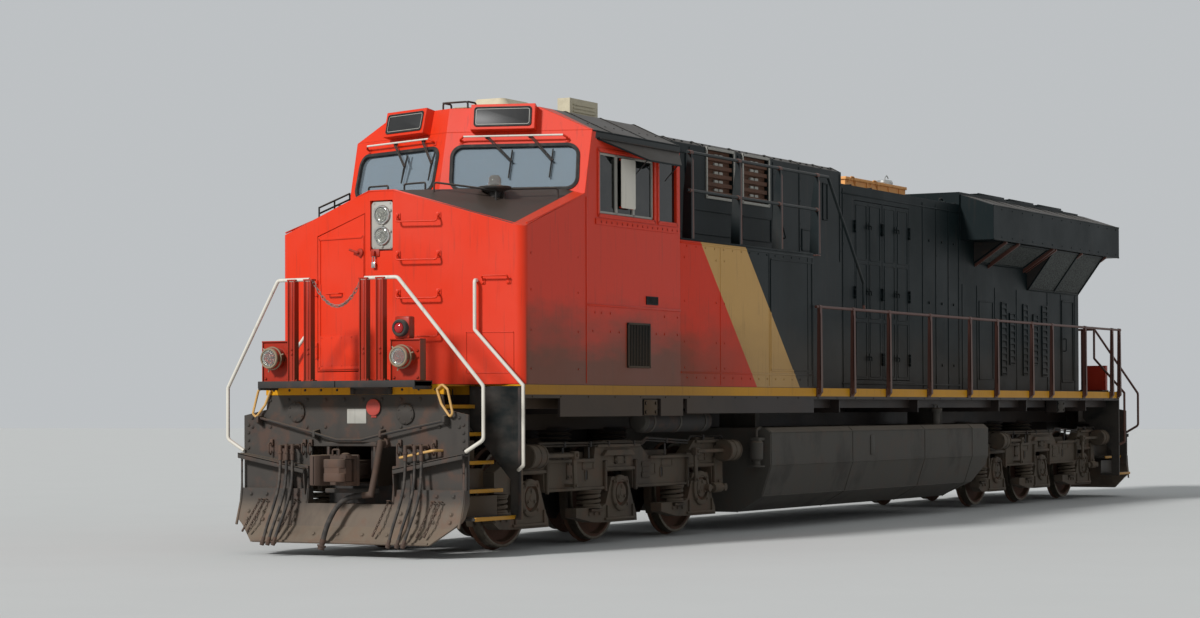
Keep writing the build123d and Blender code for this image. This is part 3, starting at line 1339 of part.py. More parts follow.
# Couplers: shank and head with the guard arm; the knuckle turns on a pin between two lugs
HEAD_X = 10860.0
KNUCKLE_PIN = (11010.0, 150.0)
KNUCKLE_PIN_R = 20.0
KNUCKLE_HALF = 110.0
HEAD_HALF = 150.0
PIVOT_R = 45.0
PIVOT_HALF = 130.0
for end, turn in (("front", 1.0), ("rear", -1.0)):
    with BuildPart() as coupler:
        shank = (COUPLER_PIVOT_X - 60.0, HEAD_X)
        block(shank, (-80.0, 80.0), (COUPLER_Z - 95.0, COUPLER_Z + 95.0))
        head = [
            (HEAD_X - 60.0, -80.0),
            (HEAD_X + 30.0, -235.0),
            (COUPLER_FACE_X - 60.0, -235.0),
            (COUPLER_FACE_X - 10.0, -190.0),
            (COUPLER_FACE_X - 10.0, -150.0),
            (COUPLER_FACE_X - 190.0, -90.0),
            (COUPLER_FACE_X - 205.0, 70.0),
            (COUPLER_FACE_X - 205.0, 215.0),
            (HEAD_X + 30.0, 215.0),
            (HEAD_X - 60.0, 80.0),
        ]
        along_z(head, (COUPLER_Z - HEAD_HALF, COUPLER_Z + HEAD_HALF))
        pivot_low = (COUPLER_PIVOT_X, 0.0, COUPLER_Z - PIVOT_HALF)
        bar(pivot_low, (COUPLER_PIVOT_X, 0.0, COUPLER_Z + PIVOT_HALF), PIVOT_R)
        lug = [
            (COUPLER_FACE_X - 206.0, 70.0),
            (KNUCKLE_PIN[0], 85.0),
            (KNUCKLE_PIN[0] + 60.0, 110.0),
            (KNUCKLE_PIN[0] + 60.0, 190.0),
            (KNUCKLE_PIN[0], 215.0),
            (COUPLER_FACE_X - 206.0, 215.0),
        ]
        for z in (COUPLER_Z - HEAD_HALF, COUPLER_Z + KNUCKLE_HALF + RUNNING_GAP):
            along_z(lug, (z, z + HEAD_HALF - KNUCKLE_HALF - RUNNING_GAP))
        bar(
            (*KNUCKLE_PIN, COUPLER_Z - HEAD_HALF),
            (*KNUCKLE_PIN, COUPLER_Z + HEAD_HALF),
            KNUCKLE_PIN_R,
        )
        if turn < 0:
            add(coupler.part.rotate(Axis.Z, 180), mode=Mode.REPLACE)
    coupler.part.label = f"coupler_{end}"
    export_step(coupler.part, f"parts/coupler_{end}.step")

    with BuildPart() as knuckle:
        jaw = [
            (KNUCKLE_PIN[0] - 40.0, KNUCKLE_PIN[1] - 40.0),
            (KNUCKLE_PIN[0] - 40.0, KNUCKLE_PIN[1] + 35.0),
            (KNUCKLE_PIN[0] - 15.0, KNUCKLE_PIN[1] + 62.0),
            (COUPLER_FACE_X - 60.0, KNUCKLE_PIN[1] + 55.0),
            (COUPLER_FACE_X, KNUCKLE_PIN[1] + 10.0),
            (COUPLER_FACE_X, -10.0),
            (COUPLER_FACE_X - 30.0, -40.0),
            (COUPLER_FACE_X - 90.0, -40.0),
            (COUPLER_FACE_X - 90.0, 60.0),
        ]
        along_z(jaw, (COUPLER_Z - KNUCKLE_HALF, COUPLER_Z + KNUCKLE_HALF))
        bar(
            (*KNUCKLE_PIN, COUPLER_Z - KNUCKLE_HALF - 1.0),
            (*KNUCKLE_PIN, COUPLER_Z + KNUCKLE_HALF + 1.0),
            KNUCKLE_PIN_R + 1.0,
            mode=Mode.SUBTRACT,
        )
        if turn < 0:
            add(knuckle.part.rotate(Axis.Z, 180), mode=Mode.REPLACE)
    knuckle.part.label = f"knuckle_{end}"
    export_step(knuckle.part, f"parts/knuckle_{end}.step")

# Uncoupling levers: a bent rod across each end sheet, with its two outer handles
LEVER_R = 13.0
LEVER = [  # x from the end sheet, y, height above the rail
    (60.0, -1150.0, 1395.0),
    (85.0, -434.0, 1236.0),
    (95.0, -150.0, 1165.0),
    (95.0, 150.0, 1165.0),
    (85.0, 383.0, 1218.0),
    (60.0, 1150.0, 1364.0),
]
SHEET_X = PORCH_END_X - PLATE_T + PILOT_T
with BuildPart() as cut_levers:
    mitred_bar([(SHEET_X + x, y, RAIL_Z + z) for x, y, z in LEVER], LEVER_R)
    for x, y, z in (LEVER[0], LEVER[-1]):
        foot = (SHEET_X, y * 0.97, RAIL_Z + z - 5.0)
        bar(foot, (SHEET_X + x + LEVER_R, y * 0.97, RAIL_Z + z - 5.0), LEVER_R)
    mirror(about=Plane.YZ)
cut_levers.part.label = "cut_levers"
export_step(cut_levers.part, "parts/cut_levers.step")

# Hose fittings on the front sheet: the brake pipe and six elbows
PIPE_R = 33.0
BRAKE_PIPE = [  # x, y, height above the rail
    (SHEET_X, 400.0, 1135.0),
    (10750.0, 400.0, 1135.0),
    (10750.0, 341.0, 854.0),
    (10780.0, 303.0, 610.0),
    (10800.0, 215.0, 602.0),
]
ELBOWS_Y = (-835.0, -758.0, -682.0, 710.0, 823.0, 903.0)
ELBOW_Z = RAIL_Z + 1095.0
ELBOW_REACH = 120.0
ELBOW_DROP = 70.0
ELBOW_R = 20.0
HOSE_R = 27.0
MU_HOSE_R = 16.0
with BuildPart() as hose_fittings:
    mitred_bar([(x, y, RAIL_Z + z) for x, y, z in BRAKE_PIPE], PIPE_R)
    for y in ELBOWS_Y:
        elbow = [
            (SHEET_X, y, ELBOW_Z),
            (SHEET_X + ELBOW_REACH, y, ELBOW_Z),
            (SHEET_X + ELBOW_REACH, y, ELBOW_Z - ELBOW_DROP),
        ]
        mitred_bar(elbow, ELBOW_R)
hose_fittings.part.label = "hose_fittings"
export_step(hose_fittings.part, "parts/hose_fittings.step")


def hose(points, radius):
    """Add a hanging hose, each bend as wide as its two runs allow, and print its bends."""
    route = [Vector(*point) for point in points]
    bends = []
    for before, at, after in zip(route, route[1:], route[2:]):
        first = at - before
        second = after - at
        half_turn = radians(first.get_angle(second)) / 2
        bends.append(0.45 * min(first.length, second.length) / tan(half_turn))
    with BuildLine(mode=Mode.PRIVATE) as line:
        FilletPolyline(*points, radius=bends)
    with BuildSketch(Plane(origin=points[0], z_dir=route[1] - route[0])) as section:
        Circle(radius)
    sweep(section.sketch, path=line.line)
    print("bends", [round(bend) for bend in bends])


BRAKE_HOSE = [  # x, y, height above the rail
    (10800.0, 215.0, 602.0),
    (10823.86, 110.0, 592.45),
    (10868.0, 22.0, 552.0),
    (10915.0, -40.0, 470.0),
    (10955.0, -85.0, 360.0),
    (10985.0, -115.0, 255.0),
    (11000.0, -135.0, 155.0),
]
with BuildPart() as brake_hoses:
    hose([(x, y, RAIL_Z + z) for x, y, z in BRAKE_HOSE], HOSE_R)
brake_hoses.part.label = "brake_hoses"
export_step(brake_hoses.part, "parts/brake_hoses.step")

MU_DROP = [  # x and y from the elbow's mouth, drop below it
    (0.0, 0.0, 0.0),
    (0.0, 0.0, 150.0),
    (40.0, 14.0, 350.0),
    (150.0, 22.0, 560.0),
    (235.0, 6.0, 720.0),
    (280.0, -18.0, 860.0),
]
with BuildPart() as mu_hoses:
    for number, y in enumerate(ELBOWS_Y):
        sway = 0.6 + 0.25 * (number % 3)
        mouth = (SHEET_X + ELBOW_REACH, y, ELBOW_Z - ELBOW_DROP)
        hose([(mouth[0] + dx, y + sway * dy, mouth[2] - dz) for dx, dy, dz in MU_DROP], MU_HOSE_R)
mu_hoses.part.label = "mu_hoses"
export_step(mu_hoses.part, "parts/mu_hoses.step")

# Couplings on the hoses' ends: a nipple in line with the hose and a round head
GLAD_NECK = (60.0, 33.0)  # length, radius
GLAD_HEAD = (50.0, 46.0)
MU_NECK = (45.0, 20.0)
MU_HEAD = (40.0, 30.0)


def coupling(before, end, neck, head):
    """Add a hose coupling in line with the hose's last run."""
    way = (Vector(*end) - Vector(*before)).normalized()
    start = Vector(*end)
    for length, radius in (neck, head):
        stop = start + way * length
        bar((start.X, start.Y, start.Z), (stop.X, stop.Y, stop.Z), radius)
        start = stop


with BuildPart() as glad_hands:
    last_run = [(x, y, RAIL_Z + z) for x, y, z in BRAKE_HOSE[-2:]]
    coupling(*last_run, GLAD_NECK, GLAD_HEAD)
    for number, y in enumerate(ELBOWS_Y):
        sway = 0.6 + 0.25 * (number % 3)
        run = [
            (SHEET_X + ELBOW_REACH + dx, y + sway * dy, ELBOW_Z - ELBOW_DROP - dz)
            for dx, dy, dz in MU_DROP[-2:]
        ]
        coupling(*run, MU_NECK, MU_HEAD)
glad_hands.part.label = "glad_hands"
export_step(glad_hands.part, "parts/glad_hands.step")
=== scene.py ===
"""Looks of a six-axle diesel locomotive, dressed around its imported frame.

The frame's axes hold throughout: +X to the nose, +Y to the left side, +Z up, in metres.
Heights are counted from the rail's top. The wheel flanges reach RAIL below it, down to
z 0, so every mesh is lifted by RAIL when it is placed.
"""

from __future__ import annotations

import logging
import math
from dataclasses import dataclass
from enum import Enum
from typing import Iterable, Sequence

import bmesh
import bpy
from mathutils import Matrix, Vector


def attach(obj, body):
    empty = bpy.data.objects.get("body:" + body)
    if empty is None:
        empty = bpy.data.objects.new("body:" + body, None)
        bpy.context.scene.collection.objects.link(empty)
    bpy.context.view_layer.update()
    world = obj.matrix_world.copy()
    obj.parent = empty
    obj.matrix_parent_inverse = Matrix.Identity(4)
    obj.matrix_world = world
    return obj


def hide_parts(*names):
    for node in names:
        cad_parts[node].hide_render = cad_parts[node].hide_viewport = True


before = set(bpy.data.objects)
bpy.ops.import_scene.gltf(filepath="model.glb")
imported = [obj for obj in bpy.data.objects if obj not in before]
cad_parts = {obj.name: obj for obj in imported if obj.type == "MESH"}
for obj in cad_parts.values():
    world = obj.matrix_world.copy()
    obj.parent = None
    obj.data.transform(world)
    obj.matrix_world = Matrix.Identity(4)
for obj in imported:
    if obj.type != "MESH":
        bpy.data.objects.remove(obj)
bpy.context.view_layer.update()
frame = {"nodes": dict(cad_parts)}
LOG = logging.getLogger("locomotive")

RAIL = 0.0286
DECK = 1.736
SILL = 1.59
STRIPE = 1.63
SIDE = 1.524
HOOD = 1.0
PORCH = 10.65
SHEET = 10.645
NOSE_TIP = 10.12
RIDGE = 0.53 / SIDE
RAKE = 0.2426
TRUCK = 7.015
AXLE_STEP = 2.015
AXLE = 0.533
SUNK = 0.002
SIDES = (1, -1)
ENDS = (1, -1)

Point = tuple[float, float, float]
Span = tuple[float, float]
Socket = bpy.types.NodeSocket
Value = float | Socket
Colour = str | Socket

UP: Point = (0, 0, 1)
AHEAD: Point = (1, 0, 0)
ACROSS: Point = (0, 1, 0)


def linear(code: str) -> tuple[float, float, float, float]:
    """Turn an sRGB hex code into a linear colour.

    Args:
        code: six hex digits after a hash sign.

    Returns:
        The linear red, green, blue and an alpha of 1.
    """
    parts = [int(code[i : i + 2], 16) / 255 for i in (1, 3, 5)]
    curve = [v / 12.92 if v <= 0.04045 else ((v + 0.055) / 1.055) ** 2.4 for v in parts]
    return (*curve, 1.0)


def add_node(
    tree: bpy.types.NodeTree, kind: str, inputs: dict | None = None, **settings: object
) -> bpy.types.Node:
    """Add a shader node with its settings and its input values or links.

    Args:
        tree: the node tree.
        kind: the node's type name, without ShaderNode before it.
        inputs: a value, a hex code or a socket for each input, by name or number.
        settings: the node's own properties.

    Returns:
        The new node.
    """
    made = tree.nodes.new("ShaderNode" + kind)
    for name, value in settings.items():
        setattr(made, name, value)
    for key, value in (inputs or {}).items():
        if isinstance(value, bpy.types.NodeSocket):
            tree.links.new(value, made.inputs[key])
        else:
            made.inputs[key].default_value = linear(value) if isinstance(value, str) else value
    return made


class Pattern:
    """A material in the making, with the patterns that weather and wear leave on it."""

    def __init__(self, name: str) -> None:
        """Start an empty node tree with its coordinates.

        Args:
            name: the material's name.
        """
        self.material = bpy.data.materials.new(name)
        self.material.use_nodes = True
        self.tree = self.material.node_tree
        self.tree.nodes.clear()
        self.place = self.node("TexCoord").outputs["Object"]
        self.x, self.y, ground = self.node("SeparateXYZ", {"Vector": self.place}).outputs
        self.z = self.math("SUBTRACT", ground, RAIL)
        normal = self.node("NewGeometry").outputs["Normal"]
        self.normal = self.node("SeparateXYZ", {"Vector": normal}).outputs

    def node(self, kind: str, inputs: dict | None = None, **settings: object) -> bpy.types.Node:
        """Add a node to the material, as add_node does."""
        return add_node(self.tree, kind, inputs, **settings)

    def math(self, operation: str, *values: Value) -> Socket:
        """Give the result of an operation on some values."""
        return self.node("Math", dict(enumerate(values)), operation=operation).outputs[0]

    def cloud(
        self, size: float, stretch: Point = (1, 1, 1), detail: float = 4.0, seed: float = 0.0
    ) -> Socket:
        """Give a cloudy grain.

        Args:
            size: the grain's size in metres.
            stretch: how far it is drawn out along each axis.
            detail: how many finer layers it has.
            seed: where in the endless pattern it is cut from.

        Returns:
            A value about 0.5.
        """
        scale = [1 / (size * s) for s in stretch]
        inputs = {"Vector": self.place, "Scale": scale, "Location": (seed, seed * 0.7, seed * 1.3)}
        moved = self.node("Mapping", inputs).outputs[0]
        inputs = {"Vector": moved, "Scale": 1.0, "Detail": detail, "Roughness": 0.6}
        return self.node("TexNoise", inputs).outputs["Fac"]

    def ramp(self, value: Value, start: float, end: float, top: float = 1.0) -> Socket:
        """Rise smoothly from 0 to top.

        Args:
            value: what is measured.
            start: where the rise begins.
            end: where it is complete.
            top: the value there.

        Returns:
            The risen value.
        """
        inputs = {"Value": value, "From Min": start, "From Max": end, "To Max": top}
        return self.node("MapRange", inputs, interpolation_type="SMOOTHSTEP").outputs["Result"]

    def both(self, *shares: Value) -> Socket:
        """Give where several patterns meet, as their product."""
        met = shares[0]
        for share in shares[1:]:
            met = self.math("MULTIPLY", met, share)
        return met

    def slope(self, up: float, offset: float) -> Socket:
        """Give a sloping measure, x + up * height + offset."""
        level = self.math("MULTIPLY_ADD", self.x, 1.0, offset)
        return self.math("MULTIPLY_ADD", self.z, up, level)

    def coat(self, share: Value, under: Colour, over: Colour) -> Socket:
        """Lay one colour over another.

        Args:
            share: how much of the upper one shows.
            under: the lower colour.
            over: the upper colour.

        Returns:
            The mixed colour.
        """
        return self.node("Mix", {0: share, 6: under, 7: over}, data_type="RGBA").outputs[2]

    def facing_up(self, share: float) -> Socket:
        """Give where the surface faces the sky and dust settles, up to a share."""
        return self.ramp(self.normal["Z"], 0.35, 0.95, share)

    def finish(
        self,
        colour: Colour,
        roughness: Value,
        metallic: Value = 0.0,
        bump: Socket | None = None,
        depth: float = 0.001,
        edge: float = 0.0,
        **extra: float,
    ) -> bpy.types.Material:
        """Close the material with its shader.

        Args:
            colour: the base colour.
            roughness: value or socket.
            metallic: 0 for paint and plastic, 1 for bare metal.
            bump: a height pattern, or none.
            depth: the pattern's depth in metres.
            edge: the radius at which the edges catch the light, in metres.
            extra: further values for the shader's own inputs.

        Returns:
            The finished material.
        """
        inputs = {"Base Color": colour, "Roughness": roughness, "Metallic": metallic}
        if edge:
            inputs["Normal"] = self.node("Bevel", {"Radius": edge}, samples=4).outputs[0]
        if bump is not None:
            relief = {"Height": bump, "Distance": depth}
            if edge:
                relief["Normal"] = inputs["Normal"]
            inputs["Normal"] = self.node("Bump", relief).outputs[0]
        inputs.update({name.replace("_", " "): value for name, value in extra.items()})
        shader = self.node("BsdfPrincipled", inputs)
        self.node("OutputMaterial", {"Surface": shader.outputs[0]})
        return self.material


class Paint(Enum):
    """Colours of the coats, as they look in open daylight."""

    RED = "#DB3008"
    CREAM = "#CA9F5E"
    BLACK = "#0E191B"
    GLARE_BLACK = "#2B292B"
    YELLOW = "#D09306"
    BROWN = "#5C3B33"
    POST_RED = "#A3260F"
    FRAME = "#514639"
    PLOW = "#64574A"
    TANK = "#4A4640"
    WHITE = "#D9D4C8"
    BEIGE = "#C9BFA3"
    TAN = "#F0AC66"
    CABIN = "#8F9A90"
    SIGNAL = "#B5443C"
    GREY = "#A3A199"
    LAMP_TAN = "#8C7C66"
    PLATE_GREY = "#8E8B86"


@dataclass(frozen=True)
class Coating:
    """What a surface is made of or coated with: one material."""

    name: str

    def build(self) -> bpy.types.Material:
        """Make the material."""
        return self.lay(Pattern(self.name))

    def lay(self, pattern: Pattern) -> bpy.types.Material:
        """Lay the coats.

        Args:
            pattern: the material in the making.

        Returns:
            The finished material.
        """
        raise NotImplementedError


@dataclass(frozen=True)
class Enamel(Coating):
    """Alkyd enamel sprayed on sheet steel: a soft gloss that road dust dulls from below, with
    painted shade low on the upright sides.
    """

    paint: Paint
    dust: str = "#6E5A48"
    # Colour of the darkening low on the upright sides: partly grime, partly painted shade.
    grime_and_shade: str = "#4F3E2B"
    fade: float = 0.03
    sheen: float = 0.28
    roughness: float = 0.36
    dust_top: float = DECK + 0.75
    dust_foot: float = 1.35
    dust_share: float = 0.15
    grime_and_shade_z: Span = (2.80, 1.95)
    grime_and_shade_x: Span = (4.2, 6.4)
    grime_and_shade_share: Span = (0.22, 0.86)
    ragged: float = 0.9
    edge: float = 0.012

    def coats(self, pattern: Pattern) -> Colour:
        """Give the clean coats' colour."""
        return self.paint.value

    def lay(self, pattern: Pattern) -> bpy.types.Material:
        """Lay fading, rain streaks, dust, grime with painted shade on the upright sides, and rust
        specks over the clean coats.
        """
        cloud = pattern.cloud(0.9)
        streak = pattern.cloud(0.045, (1, 1, 16), seed=3.0)
        clean = self.coats(pattern)
        faded = pattern.coat(pattern.ramp(cloud, 0.35, 0.75, self.fade), clean, "#B9A79A")
        ran = pattern.coat(pattern.ramp(streak, 0.54, 0.72, 0.20), faded, "#3E322B")
        low = pattern.ramp(pattern.z, self.dust_top, self.dust_foot)
        mottled = pattern.ramp(pattern.cloud(0.5, (1.4, 1.4, 0.8), seed=8.0), 0.25, 0.6)
        dusty = pattern.coat(pattern.both(low, mottled, self.dust_share), ran, self.dust)
        # Darkening low on the upright sides: partly grime, partly painted shade.
        grimed_and_shaded = pattern.coat(self.grime_and_shade_from_below(pattern), dusty, self.grime_and_shade)
        topped = pattern.coat(pattern.facing_up(0.25), grimed_and_shaded, self.dust)
        specks = pattern.ramp(pattern.cloud(0.012, detail=2.0, seed=5.0), 0.74, 0.80, 0.5)
        rusty = pattern.coat(specks, topped, "#5A2F1D")
        gloss = pattern.math("MULTIPLY_ADD", pattern.ramp(cloud, 0.2, 0.9), 0.16, self.roughness)
        relief = {"bump": pattern.cloud(0.003, detail=2.0), "depth": 0.0001, "edge": self.edge}
        return pattern.finish(rusty, gloss, Specular_IOR_Level=self.sheen, **relief)

    def grime_and_shade_from_below(self, pattern: Pattern) -> Socket:
        """Give the share of darkening on the upright sides, low down and thickest by the cab:
        partly grime that the wheels throw up, partly painted shade.
        """
        side = pattern.ramp(pattern.math("ABSOLUTE", pattern.normal["Y"]), 0.90, 0.99)
        cloud = pattern.cloud(0.35, (2.5, 1, 1), seed=11.0)
        level = pattern.math("MULTIPLY_ADD", cloud, self.ragged, pattern.z)
        below = pattern.ramp(level, *(z + self.ragged / 2 for z in self.grime_and_shade_z))
        inputs = {"Value": pattern.x, "From Min": self.grime_and_shade_x[0], "From Max": self.grime_and_shade_x[1]}
        inputs |= {"To Min": self.grime_and_shade_share[0], "To Max": self.grime_and_shade_share[1]}
        return pattern.both(side, below, pattern.node("MapRange", inputs).outputs["Result"])


@dataclass(frozen=True)
class Livery(Enamel):
    """The side's coats: red to the nose, a slanting cream band, and black behind it."""

    red_edge: Span = (4.336, 0.8996)
    cream_edge: Span = (3.095, 0.9214)
    band: Span = (1.893, 3.425)

    def coats(self, pattern: Pattern) -> Colour:
        """Paint the band's two slanting edges and cut them off at its top."""
        coats: Colour = Paint.BLACK.value
        for (foot, lean), paint in ((self.cream_edge, Paint.CREAM), (self.red_edge, Paint.RED)):
            measure = pattern.slope(-lean, lean * self.band[0] - foot)
            coats = pattern.coat(pattern.ramp(measure, -0.003, 0.003), coats, paint.value)
        high = pattern.ramp(pattern.z, self.band[1], self.band[1] + 0.003)
        return pattern.coat(high, coats, Paint.BLACK.value)


@dataclass(frozen=True)
class SillPaint(Enamel):
    """Black enamel with the yellow stripe along the top of the sill."""

    def coats(self, pattern: Pattern) -> Colour:
        """Paint the stripe between the sill and the platform."""
        low = pattern.ramp(pattern.z, STRIPE - 0.004, STRIPE + 0.002)
        striped = pattern.coat(low, Paint.GLARE_BLACK.value, Paint.YELLOW.value)
        top = pattern.ramp(pattern.z, DECK - 0.006, DECK - 0.002)
        return pattern.coat(top, striped, Paint.GLARE_BLACK.value)


@dataclass(frozen=True)
class NosePaint(Enamel):
    """Red enamel whose top is a dull black between two red borders."""

    border: float = 0.12

    def coats(self, pattern: Pattern) -> Colour:
        """Paint the top black up to its borders."""
        edge = SIDE - self.border
        middle = pattern.ramp(pattern.math("ABSOLUTE", pattern.y), edge + 0.002, edge - 0.002)
        level = pattern.ramp(pattern.normal["Z"], 0.80, 0.86)
        share = pattern.both(middle, level, pattern.ramp(pattern.z, 3.3, 3.31))
        return pattern.coat(share, self.paint.value, Paint.GLARE_BLACK.value)


@dataclass(frozen=True)
class EndRailPaint(Enamel):
    """White front rails on red posts, and brown ones at the rear."""

    post_x: float = 10.94

    def coats(self, pattern: Pattern) -> Colour:
        """Paint the inner front posts red up to their tops, and all behind the middle brown."""
        off = pattern.math("ABSOLUTE", pattern.math("ADD", pattern.x, -self.post_x))
        inner = pattern.ramp(pattern.math("ABSOLUTE", pattern.y), 0.600, 0.595)
        below = pattern.ramp(pattern.z, 2.797, 2.795)
        post = pattern.both(pattern.ramp(off, 0.036, 0.034), inner, below)
        front = pattern.coat(post, Paint.WHITE.value, Paint.POST_RED.value)
        return pattern.coat(pattern.ramp(pattern.x, -1.0, 1.0), Paint.BROWN.value, front)


@dataclass(frozen=True)
class SplitPaint(Enamel):
    """Enamel in one colour below a height and another one above it."""

    upper: Paint = Paint.BLACK
    split: Span = (2.82, 2.84)

    def coats(self, pattern: Pattern) -> Colour:
        """Change the colour over the split."""
        high = pattern.ramp(pattern.z, *self.split)
        return pattern.coat(high, self.paint.value, self.upper.value)


@dataclass(frozen=True)
class CabPaint(Enamel):
    """Red enamel whose roof and eaves are black."""

    black_from: float = 4.41
    gable_x: float = 8.235

    def coats(self, pattern: Pattern) -> Colour:
        """Paint all above the eaves and behind the gable black."""
        high = pattern.ramp(pattern.z, self.black_from - 0.004, self.black_from + 0.004)
        rake = pattern.slope(RAKE, -self.gable_x - RAKE * self.black_from)
        share = pattern.both(high, pattern.ramp(rake, 0.004, -0.004))
        return pattern.coat(share, self.paint.value, Paint.BLACK.value)


@dataclass(frozen=True)
class CastSteel(Coating):
    """Cast and forged steel under old paint: pitted, with brake dust and rust."""

    colour: str
    rust: str = "#6A4029"
    rust_share: float = 0.35
    grain: float = 0.006
    # A darker colour above a height: painted shade, used on the plow's sheet under its shelf.
    upper: str = ""
    painted_shade_z: Span = (0.40, 0.62)

    def lay(self, pattern: Pattern) -> bpy.types.Material:
        """Lay painted shade on the upper part, where a darker colour is given, then rust patches,
        oil and settled dust over the casting.
        """
        base: Colour = self.colour
        # Painted shade: darker above the height.
        if self.upper:
            base = pattern.coat(pattern.ramp(pattern.z, *self.painted_shade_z), base, self.upper)
        patches = pattern.ramp(pattern.cloud(0.22, seed=2.0), 0.48, 0.66, self.rust_share)
        rusted = pattern.coat(patches, base, self.rust)
        oily = pattern.ramp(pattern.cloud(0.5, (1, 1, 2), seed=6.0), 0.5, 0.72, 0.55)
        oiled = pattern.coat(oily, rusted, "#241F1C")
        settled = pattern.coat(pattern.facing_up(0.45), oiled, "#7C6C58")
        pits = pattern.cloud(self.grain, detail=5.0)
        return pattern.finish(settled, 0.78, bump=pits, depth=0.0012, edge=0.008)


@dataclass(frozen=True)
class BareMetal(Coating):
    """Metal without paint, worn bright or spun."""

    colour: str
    roughness: float

    def lay(self, pattern: Pattern) -> bpy.types.Material:
        """Lay worn and dulled places over the metal."""
        wear = pattern.ramp(pattern.cloud(0.05, seed=4.0), 0.3, 0.8)
        dulled = pattern.coat(pattern.both(wear, 0.4), self.colour, "#4A4038")
        gloss = pattern.math("MULTIPLY_ADD", wear, 0.25, self.roughness)
        return pattern.finish(dulled, gloss, metallic=1.0)


@dataclass(frozen=True)
class Glazing(Coating):
    """Laminated glass with a film of dust, clear or with a mirroring sun coat."""

    tint: str = "#E6E6E0"
    clear: float = 0.9
    shaded_side_tint: str = "#E6E6E0"
    mirror: float = 0.0

    def lay(self, pattern: Pattern) -> bpy.types.Material:
        """Lay the tints, the sun coat of the front panes and a film of dust; on the cab glass the
        dark side tint is painted shade and the pale front tint partly painted sky reflection.
        """
        # Side panes take the side tint; on the cab glass that is painted shade.
        side = pattern.ramp(pattern.math("ABSOLUTE", pattern.normal["Y"]), 0.7, 0.9)
        tinted = pattern.coat(side, self.tint, self.shaded_side_tint)
        film = pattern.ramp(pattern.cloud(0.25, seed=1.0), 0.4, 0.9, 0.12)
        dusty = pattern.coat(film, tinted, "#B5AFA4")
        inputs = {"Value": side, "To Min": self.mirror, "To Max": self.mirror / 12}
        mirror = pattern.node("MapRange", inputs).outputs["Result"]
        return pattern.finish(dusty, 0.03, metallic=mirror, Transmission_Weight=self.clear)


@dataclass(frozen=True)
class Rubber(Coating):
    """Moulded or extruded rubber and dull plastics."""

    colour: str = "#1A1918"
    roughness: float = 0.75
    dust: float = 0.25

    def lay(self, pattern: Pattern) -> bpy.types.Material:
        """Lay a film of dust over the moulding."""
        film = pattern.ramp(pattern.cloud(0.08, seed=7.0), 0.4, 0.75, self.dust)
        dusty = pattern.coat(film, self.colour, "#6B5F54")
        grain = pattern.cloud(0.002, detail=3.0)
        return pattern.finish(dusty, self.roughness, bump=grain, depth=0.0002)


@dataclass(frozen=True)
class SeatCloth(Coating):
    """Woven seat cloth with a short pile."""

    colour: str = "#2D3440"

    def lay(self, pattern: Pattern) -> bpy.types.Material:
        """Cross two sets of threads."""
        inputs = {"Vector": pattern.place, "Scale": 140.0, "Distortion": 0.4}
        threads = [pattern.node("TexWave", inputs, bands_direction=way) for way in ("X", "Z")]
        weave = pattern.both(*(thread.outputs["Fac"] for thread in threads))
        colour = pattern.coat(pattern.ramp(weave, 0.1, 0.7, 0.5), self.colour, "#49505C")
        return pattern.finish(colour, 0.9, bump=weave, depth=0.0006, Sheen_Weight=0.25)


@dataclass(frozen=True)
class ScreenMesh(Coating):
    """Wire mesh or punched sheet over dark openings, its fine regular grid of holes painted near
    black as painted shade.
    """

    colour: str = "#3A3F3C"
    pitch: float = 0.03

    def lay(self, pattern: Pattern) -> bpy.types.Material:
        """Paint the slanting grid of holes near black, as painted shade, and sink them with a bump.
        """
        turned = {"Vector": pattern.place, "Rotation": (0, 0.785, 0)}
        inputs = {"Vector": pattern.node("Mapping", turned).outputs[0], "Scale": 1 / self.pitch}
        made = pattern.node("TexVoronoi", inputs, distance="CHEBYCHEV")
        # Holes painted near black: painted shade seen through the openings.
        hole_shade = pattern.ramp(made.outputs["Distance"], 0.42, 0.30)
        colour = pattern.coat(hole_shade, self.colour, "#0B0C0C")
        return pattern.finish(colour, 0.7, bump=hole_shade, depth=-0.002)


